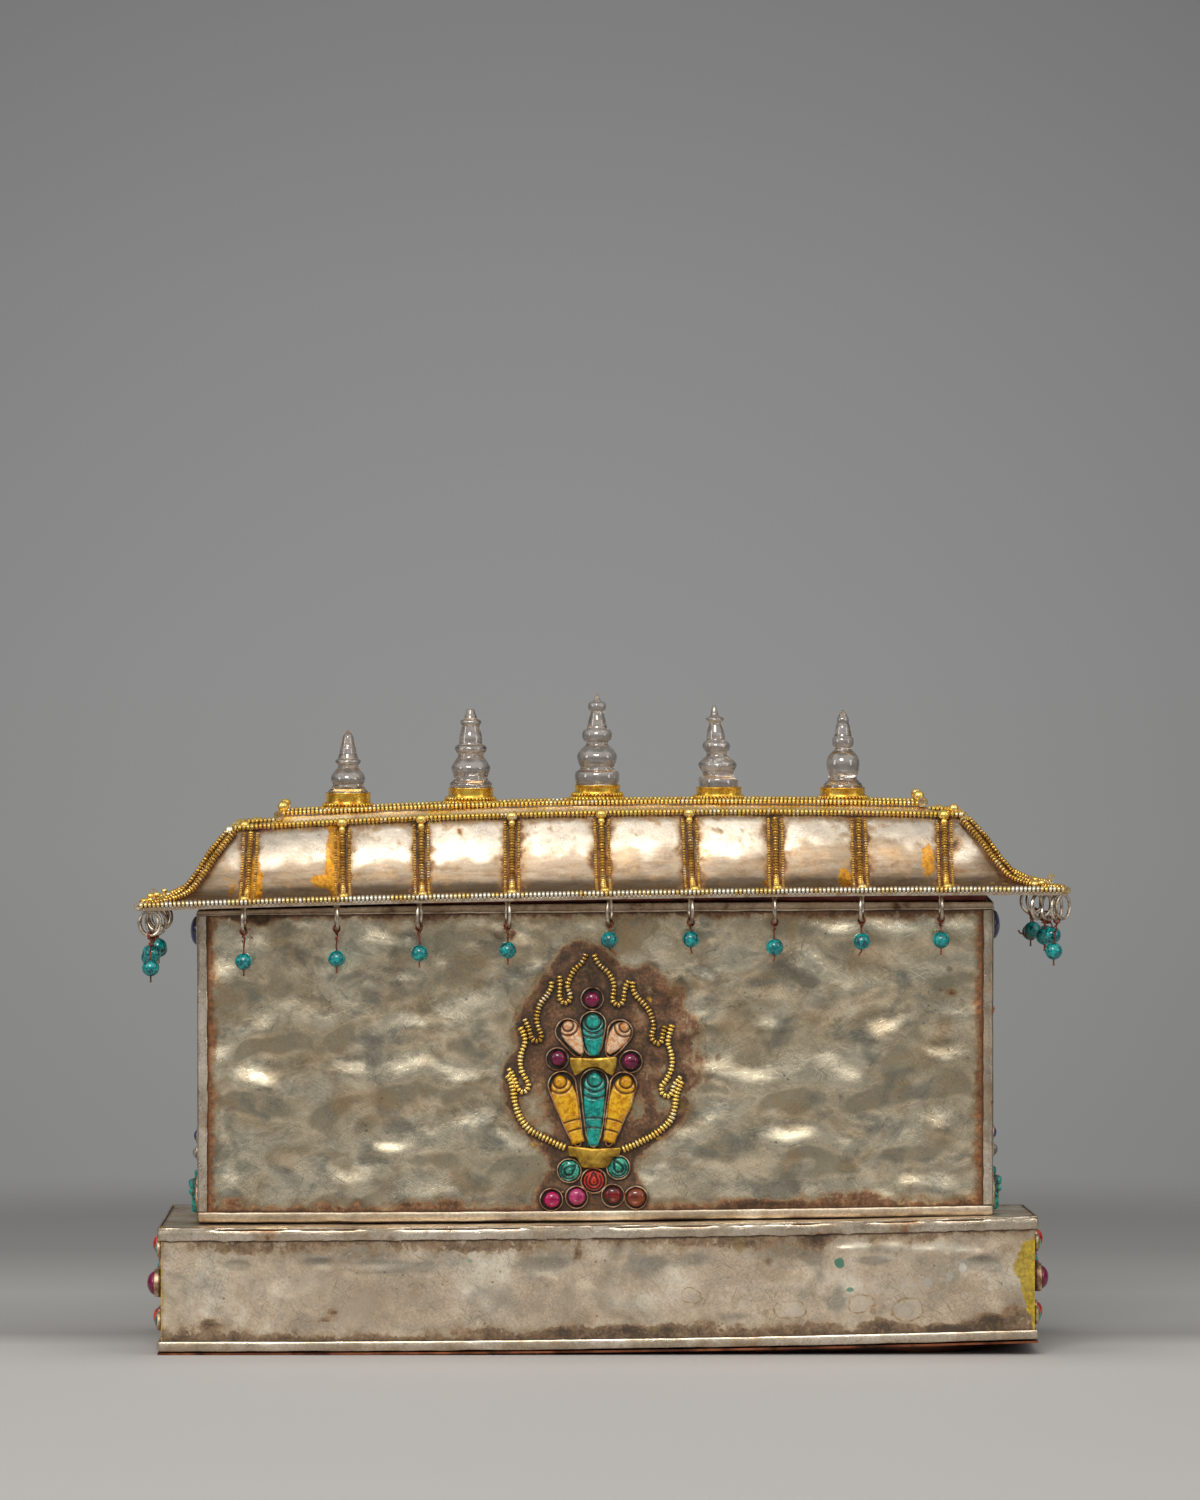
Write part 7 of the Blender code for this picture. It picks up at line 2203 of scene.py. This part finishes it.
# ---------------------------------------------------------------------------
# hanging drops
# ---------------------------------------------------------------------------
def make_drop(name, x, y, fall, turn, lean=(0, 0), node=None, seed=0, tail=1.6, bend=0.0,
              hook=None):
    """One drop: ring soldered under the plate, copper wire, turquoise bead."""
    r = np.random.default_rng(400 + seed)
    part = Part()
    low = float(plate_top(x)) - ROOF_T - 2.5 * float(
        smooth(55, 132, abs(x)) * smooth(0, 48, y))
    tall = 3.75 * (1 + 0.03 * r.normal())
    ring_z = low - tall - 0.05
    a = np.arange(30) * 2 * math.pi / 30
    c, s = math.cos(turn), math.sin(turn)
    rr = RING_R * (1.12 + 0.05 * r.normal())
    ring = np.stack([x + c * rr * np.cos(a), y + s * rr * np.cos(a), ring_z + tall * np.sin(a)],
                    -1)
    part.add(tube(ring, 0.50 + 0.03 * np.sin(3 * a + seed), 8, ref=(-s, c, 0.001),
                  closed=True), 0, groove=0.0)
    part.add(ball((x, y, low - 0.35), (1.0, 0.9, 0.5), 12, 6), 0, groove=0.0)
    bx, by, bz = x + lean[0], y + lean[1], low - fall
    loop_z = ring_z - tall
    # wire looped twice over the ring's lowest point
    turns = []
    for k in range(40):
        t = k / 39
        ang = t * 4.5 * math.pi + 0.6 + seed
        rad = 0.95 + 0.12 * math.sin(5 * t + seed)
        turns.append((x + rad * math.cos(ang) * (0.25 * abs(c) + 0.95 * abs(s))
                      + (t - 0.5) * 1.0 * c,
                      y + rad * math.cos(ang) * (abs(c) * 0.9 + 0.1) + (t - 0.5) * 1.0 * s,
                      loop_z + 0.1 + 1.1 * rad * math.sin(ang)))
    part.add(tube(np.array(turns), 0.25, 6, ref=(0.3, 0.2, 1)), 1, groove=0.0)
    gap = max(loop_z - bz - BEAD_R, 0.6)
    end = [(bx + bend * 0.5, by, bz - BEAD_R - tail * 0.5), (bx + bend, by, bz - BEAD_R - tail)]
    if hook:
        end = [(bx + u, by - 0.2, bz + v) for u, v in hook]
    hang = rounded([(x, y, loop_z - 0.1 * gap), (x + (bx - x) * 0.3 + 0.2 * r.normal(), y,
                                                loop_z - 0.35 * gap),
                    (bx + 0.12 * r.normal(), by, loop_z - 0.8 * gap),
                    (bx, by, bz + BEAD_R * 0.5), (bx, by, bz - BEAD_R)] + end, 5)
    part.add(tube(hang, 0.25, 6, ref=(0, 1, 0)), 1, groove=0.0)
    # a twist of wire above the bead
    tw = []
    for k in range(22):
        t = k / 21
        z = loop_z - 0.1 * gap - 0.45 * gap * t
        tw.append((x + (bx - x) * t * 0.5 + 0.36 * math.cos(t * 11 + seed), y
                   + 0.36 * math.sin(t * 11 + seed), z))
    part.add(tube(np.array(tw), 0.20, 5, ref=(0, 1, 0.1)), 1, groove=0.0)
    if not hook:
        part.add(ball((bx + bend, by, bz - BEAD_R - tail), (0.36, 0.36, 0.30), 8, 4), 1,
                 groove=0.0)
    v, f = ball((bx, by, bz), (BEAD_R * 1.04, BEAD_R * 1.04, BEAD_R * 1.01), 26, 15)
    d = v - (bx, by, bz)
    v = (bx, by, bz) + d * (1 + 0.03 * perlin(v / 1.6 + seed, 5)[:, None])
    pole = np.clip((np.abs(d[:, 2]) - 2.2) / 0.3, 0, 1)
    part.add((v, f), 2, groove=pole)
    part.build(name, [RING, COPPER_WIRE, TURQUOISE_BEAD], "drop", [node] if node else (),
               sharp=60)


def make_drops():
    k = 0
    for i, (x, fall) in enumerate(DROPS):
        y = -(EAVE_MID_Y - RING_R - 1.2)
        bend = (0, 0, 0, 0, 2.0, 0.3, -0.3, -0.8, 0.0)[i]
        make_drop(f"drop_front_{i + 1}", x, y, fall, math.radians((84, 96, 80, 100, 78, 98, 92,
                                                                   82, 95)[i]),
                  node=f"eave_drop_{i + 1}", seed=k, bend=bend)
        k += 1
    for i, (x, fall) in enumerate(DROPS[::2]):
        make_drop(f"drop_back_{i + 1}", -x, EAVE_MID_Y - RING_R - 1.2, fall, math.radians(
            90 + 8 * math.sin(i * 2.1)), seed=k)
        k += 1
    # the ends' drops hang close behind the front corners' ones in the picture
    for tag, rows in (("left", ((-134.8, -24.0, 15.2, -2.2, -20), (-135.2, 0.0, 15.0, -2.6, 8),
                                (-135.6, 23.0, 13.0, -1.0, -8))),
                      ("right", ((133.0, -22.0, 13.7, 0.9, 25), (132.0, 2.0, 12.8, -0.6, 40),
                                 (132.0, 24.0, 13.2, -0.3, 10)))):
        for j, (x, y, fall, out, turn) in enumerate(rows):
            hook = ((-0.6, -BEAD_R), (-2.6, -1.4), (-3.9, -0.9), (-4.4, 0.0)) \
                if tag == "right" and j == 1 else None
            make_drop(f"drop_{tag}_{j + 1}", x, y, fall, math.radians(turn), seed=k,
                      lean=(out, 0), hook=hook)
            k += 1
    for tag, node, x, y, fall, out, turn, x2, y2, fall2, out2, turn2 in (
            ("left", "eave_drop_10", -135.9, -47.5, 17.2, 0.2, 14, -134.4, -41.0, 13.4, -1.0, -28),
            ("right", "eave_drop_11", 136.4, -47.5, 16.9, -0.9, 62, 134.2, -40.0, 12.4, 1.2, 50)):
        make_drop("drop_corner_front_" + tag, x, y, fall, math.radians(turn), node=node,
                  seed=31 + len(tag), lean=(out, 0))
        make_drop("drop_corner_inner_" + tag, x2, y2, fall2, math.radians(turn2),
                  seed=41 + len(tag), lean=(out2, 0))
        make_drop("drop_corner_back_" + tag, x2 * 1.022, 44.0, 13.4, math.radians(-turn),
                  seed=51 + len(tag))
    rings = Part()
    for sx, places in ((-1, ((136.4, -45.0, -35),)),
                       (1, ((138.3, -46.0, 48), (130.6, -46.0, 58)))):
        for x, y, turn in places:
            x = sx * x
            low = float(plate_top(x)) - ROOF_T
            a = np.arange(30) * 2 * math.pi / 30
            c, s = math.cos(math.radians(turn)), math.sin(math.radians(turn))
            ring = np.stack([x + c * 3.2 * np.cos(a), y + s * 3.2 * np.cos(a),
                             low - 3.7 + 3.6 * np.sin(a)], -1)
            rings.add(tube(ring, 0.48, 8, ref=(-s, c, 0.001), closed=True), 0, groove=0.0)
    rings.build("corner_rings", [RING], "drop")


# ---------------------------------------------------------------------------
# stones on the two ends
# ---------------------------------------------------------------------------
def make_end_stones():
    for sign, tag in ((1, "right"), (-1, "left")):
        bx = BODY_CX + sign * (BODY_W / 2 - 1.0)
        px = BASE_CX + sign * (BASE_W / 2 - 1.0)
        # body end: pairs near the top and bottom, leaf shapes at the foot
        settings = Part()
        stones = {LAPIS.name: (Part(), LAPIS, "green_stone"),
                  GREY_STONE.name: (Part(), GREY_STONE, "shell"),
                  TURQUOISE.name: (Part(), TURQUOISE, "turquoise"),
                  CORAL.name: (Part(), CORAL, "coral"),
                  GREEN.name: (Part(), GREEN, "green_stone"),
                  RUBY.name: (Part(), RUBY, "ruby"),
                  AMBER.name: (Part(), AMBER, "yellow_stone")}
        top = float(head_line(bx))
        foot = float(body_foot(bx, 0)) + BODY_FOOT_STRIP_H
        on_body = (lambda p, s=sign, x=bx: on_end(s, x, p))
        on_base = (lambda p, s=sign, x=px: on_end(s, x, p))
        seed = 300 if sign > 0 else 340

        def put(c, r, finish, place, rise=2.0, height=1.5):
            nonlocal seed
            bezel(settings, circle(c, r, 30), place, height=height, seed=seed, base=0.3)
            cabochon(stones[finish.name][0], c, r - 0.5, place, rise=rise, sides=24, rows=7)
            seed += 1

        def drop_shape(head, r, tail, w, finish, place, rise=2.0):
            nonlocal seed
            bezel(settings, leaf_outline(head, r, tail, w, 44), place, height=1.6, seed=seed)
            axis = np.array(head, float) - np.array(tail, float)
            axis = axis / np.linalg.norm(axis)
            start = np.array(head) + axis * (r - 0.55)
            length = np.linalg.norm(start - np.array(tail))
            widths = ((0, .3), (.06, r * .45), (.18, r * .78), (r * .9 / length, r - .55),
                      (.8, (r + w) * .45), (1, max(w - .5, .4)))
            petal(stones[finish.name][0], start, tail, place, widths, 0.16, r * 0.45,
                  (r * 0.85,), (), rise=rise, rows=36, cols=12)
            seed += 1

        for sy in (-1, 1):
            put((sy * 20, top - 5.2), 4.9, LAPIS, on_body, rise=3.1)
            put((sy * 10, top - 6.0), 3.4, GREY_STONE, on_body, rise=2.8)
            put((sy * 24, foot + 22.6), 2.3, LAPIS, on_body, rise=2.0)
            put((sy * 24, foot + 17.4), 2.3, GREY_STONE, on_body, rise=2.4)
            drop_shape((sy * 20, foot + 6.6), 3.9, (sy * 16, foot - 0.6), 2.2, TURQUOISE,
                       on_body, rise=3.6)
            drop_shape((sy * 27, foot + 5.0), 2.9, (sy * 24.5, foot - 0.4), 1.8, TURQUOISE,
                       on_body, rise=3.2)
        if sign > 0:
            put((-16, (top + foot) / 2 + 14), 1.9, AMBER, on_body, rise=1.8)
        put((0, (top + foot) / 2 + 4), 5.0, LAPIS, on_body, rise=1.4, height=0.9)
        for sx, dz in ((-1, 0), (1, 0), (0, -1), (0, 1)):
            put((sx * 9.0, (top + foot) / 2 + 4 + dz * 9.0), 3.2, TURQUOISE, on_body, rise=1.2,
                height=0.8)
        # plinth end: a row of three stones at either corner, a large one between
        mid_z = 20.5 + (float(lift(px, 0)) if sign > 0 else 0)
        put((0, mid_z), 5.2, TURQUOISE, on_base, rise=3.2, height=2.0)
        for sy in (-1, 1):
            put((sy * 9.2, mid_z), 3.4, RUBY, on_base, rise=2.4)
            put((sy * 28, mid_z + 0.8), 4.0, TURQUOISE, on_base, rise=2.6, height=1.8)
            put((sy * 37.5, mid_z + 0.4), 4.2, RUBY, on_base, rise=4.2, height=2.2)
            put((sy * 28, mid_z + 11.4), 3.2, CORAL, on_base, rise=2.9)
            put((sy * 36, mid_z + 10.6), 2.6, GREEN, on_base, rise=1.9)
            put((sy * 28, mid_z - 10.6), 3.3, CORAL, on_base, rise=2.8)
            put((sy * 36, mid_z - 11.2), 2.8, GREEN, on_base, rise=2.0)
        settings.build("end_bezels_" + tag, [BEZEL, CELL], "silver", sharp=45)
        for key, (part, finish, slot) in stones.items():
            if part.count:
                part.build(f"end_{key}_{tag}", [finish], slot, sharp=70)


# ---------------------------------------------------------------------------
# make everything
# ---------------------------------------------------------------------------
make_plinth()
make_body()
make_strips()
make_roof()
make_deck()
make_wires()
make_knobs()
make_finials()
make_emblem()
make_drops()
make_end_stones()
make_board()
for node, finish, slot in (("bottom_sheet", COPPER, "copper"),):
    mesh = frame["nodes"][node].data
    mesh.materials.clear()
    mesh.materials.append(finish)


# ---------------------------------------------------------------------------
# stage, light and camera
# ---------------------------------------------------------------------------
def make_stage():
    n, rows = 96, 24
    r = np.linspace(0.0, 1.0, rows + 1)[1:] ** 1.3 * 1.15
    a = np.arange(n) * 2 * math.pi / n
    rings = np.stack([r[:, None] * np.cos(a), r[:, None] * np.sin(a),
                      np.zeros((rows, n))], -1)
    verts, quads = loft(rings)
    verts = np.vstack([verts, [[0, 0, 0]]])
    mesh = bpy.data.meshes.new("floor")
    fan = [(k, (k + 1) % n, len(verts) - 1) for k in range(n)]
    mesh.from_pydata(verts.tolist(), [], quads.tolist() + fan)
    floor = bpy.data.objects.new("floor", mesh)
    bpy.context.scene.collection.objects.link(floor)
    f = Finish("pale_paper_floor")
    split = f.new("ShaderNodeSeparateXYZ")
    f.tree.links.new(f.place, split.inputs[0])
    depth = split.outputs["Y"]
    # pale in front, greyer behind
    tone = f.ramp(f.span(depth, -500, 700), (0.0, (.446, .435, .434)), (0.36, (.446, .435, .434)),
                  (0.41, (.29, .287, .284)), (0.60, (.34, .337, .334)), (0.80, (.22, .22, .218)),
                  (1.0, (.19, .19, .189)))
    grain = f.noise(3.0, 3.0)
    tone = f.mix(f.math("MULTIPLY", grain, 0.05), tone, (0.3, 0.3, 0.3))
    f.put(f.shader.inputs["Base Color"], tone)
    f.shader.inputs["Roughness"].default_value = 0.75
    f.shader.inputs["Specular IOR Level"].default_value = 0.15
    radius = f.new("ShaderNodeVectorMath")
    radius.operation = "LENGTH"
    f.tree.links.new(f.place, radius.inputs[0])
    fade = f.span(radius.outputs["Value"], 520, 760)
    clear = f.new("ShaderNodeBsdfTransparent")
    blend = f.new("ShaderNodeMixShader")
    f.tree.links.new(fade, blend.inputs[0])
    f.tree.links.new(f.shader.outputs[0], blend.inputs[1])
    f.tree.links.new(clear.outputs[0], blend.inputs[2])
    f.tree.links.new(blend.outputs[0], f.tree.nodes["Material Output"].inputs["Surface"])
    mesh.materials.append(f.mat)
    return floor


def make_world():
    world = bpy.data.worlds.new("studio")
    bpy.context.scene.world = world
    world.use_nodes = True
    t = world.node_tree
    t.nodes.clear()
    out = t.nodes.new("ShaderNodeOutputWorld")
    coord = t.nodes.new("ShaderNodeTexCoord")
    split = t.nodes.new("ShaderNodeSeparateXYZ")
    t.links.new(coord.outputs["Generated"], split.inputs[0])

    def ramp(fac, stops):
        n = t.nodes.new("ShaderNodeValToRGB")
        t.links.new(fac, n.inputs[0])
        e = n.color_ramp.elements
        while len(e) > 1:
            e.remove(e[-1])
        for k, (at_, c) in enumerate(stops):
            x = e[0] if k == 0 else e.new(at_)
            x.position, x.color = at_, (*c, 1)
        return n.outputs[0]

    def mapped(value, a, b):
        n = t.nodes.new("ShaderNodeMapRange")
        t.links.new(value, n.inputs["Value"])
        n.inputs["From Min"].default_value, n.inputs["From Max"].default_value = a, b
        return n.outputs[0]

    # backdrop seen directly: mid grey, lightest low in the middle
    seen = ramp(mapped(split.outputs["Z"], -0.075, 0.05), (
        (0.0, lin(138, 138, 137)), (0.056, lin(139, 139, 138)), (0.14, lin(141, 141, 140)),
        (0.30, lin(144, 144, 142)), (0.45, lin(143, 143, 143)), (0.60, lin(140, 140, 140)),
        (0.75, lin(136, 136, 136)), (0.91, lin(129, 129, 129)), (1.0, lin(125, 125, 125))))

    def sums(op, a, b):
        n = t.nodes.new("ShaderNodeMath")
        n.operation = op
        for socket, v in zip(n.inputs, (a, b)):
            if isinstance(v, float):
                socket.default_value = v
            else:
                t.links.new(v, socket)
        return n.outputs[0]

    x = split.outputs["X"]
    fall = sums("ADD", sums("MULTIPLY", x, 0.5), sums("MULTIPLY", sums("MULTIPLY", x, x), 30.0))
    fall = sums("MAXIMUM", sums("SUBTRACT", 1.0, fall), 0.4)
    dim = t.nodes.new("ShaderNodeVectorMath")
    dim.operation = "SCALE"
    t.links.new(seen, dim.inputs[0])
    t.links.new(fall, dim.inputs["Scale"])
    seen = dim.outputs[0]
    # room as it lights and mirrors in the metal: a dim room at eye level,
    # a wide pale cloth overhead and in front, greyer behind
    lit = ramp(mapped(split.outputs["Z"], -1.0, 1.0), (
        (0.0, (0.34, 0.33, 0.315)), (0.44, (0.36, 0.35, 0.33)), (0.485, (0.12, 0.125, 0.125)),
        (0.525, (0.10, 0.105, 0.105)), (0.575, (0.42, 0.41, 0.395)), (0.65, (0.90, 0.88, 0.84)),
        (0.80, (1.15, 1.12, 1.06)), (0.93, (1.20, 1.17, 1.11)), (0.965, (0.40, 0.39, 0.375)),
        (1.0, (0.24, 0.235, 0.225))))
    lit_back = ramp(mapped(split.outputs["Z"], -1.0, 1.0), (
        (0.0, (0.34, 0.33, 0.32)), (0.47, (0.32, 0.31, 0.30)), (0.52, (0.20, 0.20, 0.20)),
        (0.70, (0.17, 0.17, 0.17)), (0.88, (0.18, 0.18, 0.175)), (1.0, (0.24, 0.235, 0.225))))
    both = t.nodes.new("ShaderNodeMix")
    both.data_type = "RGBA"
    t.links.new(mapped(split.outputs["Y"], -0.10, 0.25), both.inputs["Factor"])
    t.links.new(lit, both.inputs[6])
    t.links.new(lit_back, both.inputs[7])
    lit = both.outputs[2]
    wide = mapped(sums("ABSOLUTE", x, 0.0), 0.70, 0.92)
    level = mapped(split.outputs["Z"], 0.60, 0.25)
    shut = sums("SUBTRACT", 1.0, sums("MULTIPLY", sums("MULTIPLY", wide, level), 0.62))
    narrowed = t.nodes.new("ShaderNodeVectorMath")
    narrowed.operation = "SCALE"
    t.links.new(lit, narrowed.inputs[0])
    t.links.new(shut, narrowed.inputs["Scale"])
    lit = narrowed.outputs[0]
    back_a = t.nodes.new("ShaderNodeBackground")
    back_b = t.nodes.new("ShaderNodeBackground")
    t.links.new(seen, back_a.inputs["Color"])
    t.links.new(lit, back_b.inputs["Color"])
    path = t.nodes.new("ShaderNodeLightPath")
    mix = t.nodes.new("ShaderNodeMixShader")
    t.links.new(path.outputs["Is Camera Ray"], mix.inputs[0])
    t.links.new(back_b.outputs[0], mix.inputs[1])
    t.links.new(back_a.outputs[0], mix.inputs[2])
    t.links.new(mix.outputs[0], out.inputs["Surface"])
    fill = sums("SUBTRACT", 1.0, sums("MULTIPLY", path.outputs["Is Diffuse Ray"], 0.28))
    t.links.new(fill, back_b.inputs["Strength"])


def area(name, place, target, size, power, colour=(1, 1, 1), mirrored=True):
    light = bpy.data.lights.new(name, "AREA")
    light.shape = "RECTANGLE"
    light.size, light.size_y = size
    light.energy, light.color = power, colour
    obj = bpy.data.objects.new(name, light)
    obj.location = place
    obj.rotation_euler = (Vector(target) - Vector(place)).to_track_quat("-Z", "Y").to_euler()
    obj.visible_camera = False
    obj.visible_glossy = mirrored
    bpy.context.scene.collection.objects.link(obj)


make_stage()
make_world()
area("key", (-0.25, -1.45, 1.15), (0, 0, 0.09), (0.70, 0.42), 13.0, (1.0, 0.97, 0.92))
area("top", (0.0, 0.10, 1.5), (0, 0, 0.08), (1.0, 0.5), 8.0, (1.0, 0.985, 0.96), False)
area("left", (-1.5, -0.8, 0.55), (0, 0, 0.09), (0.35, 0.7), 2.5, (1.0, 0.98, 0.95))
area("right", (1.5, -0.9, 0.5), (0, 0, 0.09), (0.35, 0.7), 2.2, (1.0, 0.98, 0.96))

cam = bpy.data.cameras.new("camera")
cam.lens, cam.sensor_width = 236.0, 36.0
cam.clip_start, cam.clip_end = 0.05, 50
camera = bpy.data.objects.new("camera", cam)
camera.location = (-0.00075, -2.998, 0.263)
camera.rotation_euler = (Vector((-0.00075, -0.048, 0.182)) - camera.location).to_track_quat(
    "-Z", "Y").to_euler()
bpy.context.scene.collection.objects.link(camera)
bpy.context.scene.camera = camera
bpy.context.scene.view_settings.view_transform = "Standard"
bpy.context.scene.view_settings.look = "None"

bpy.context.view_layer.update()
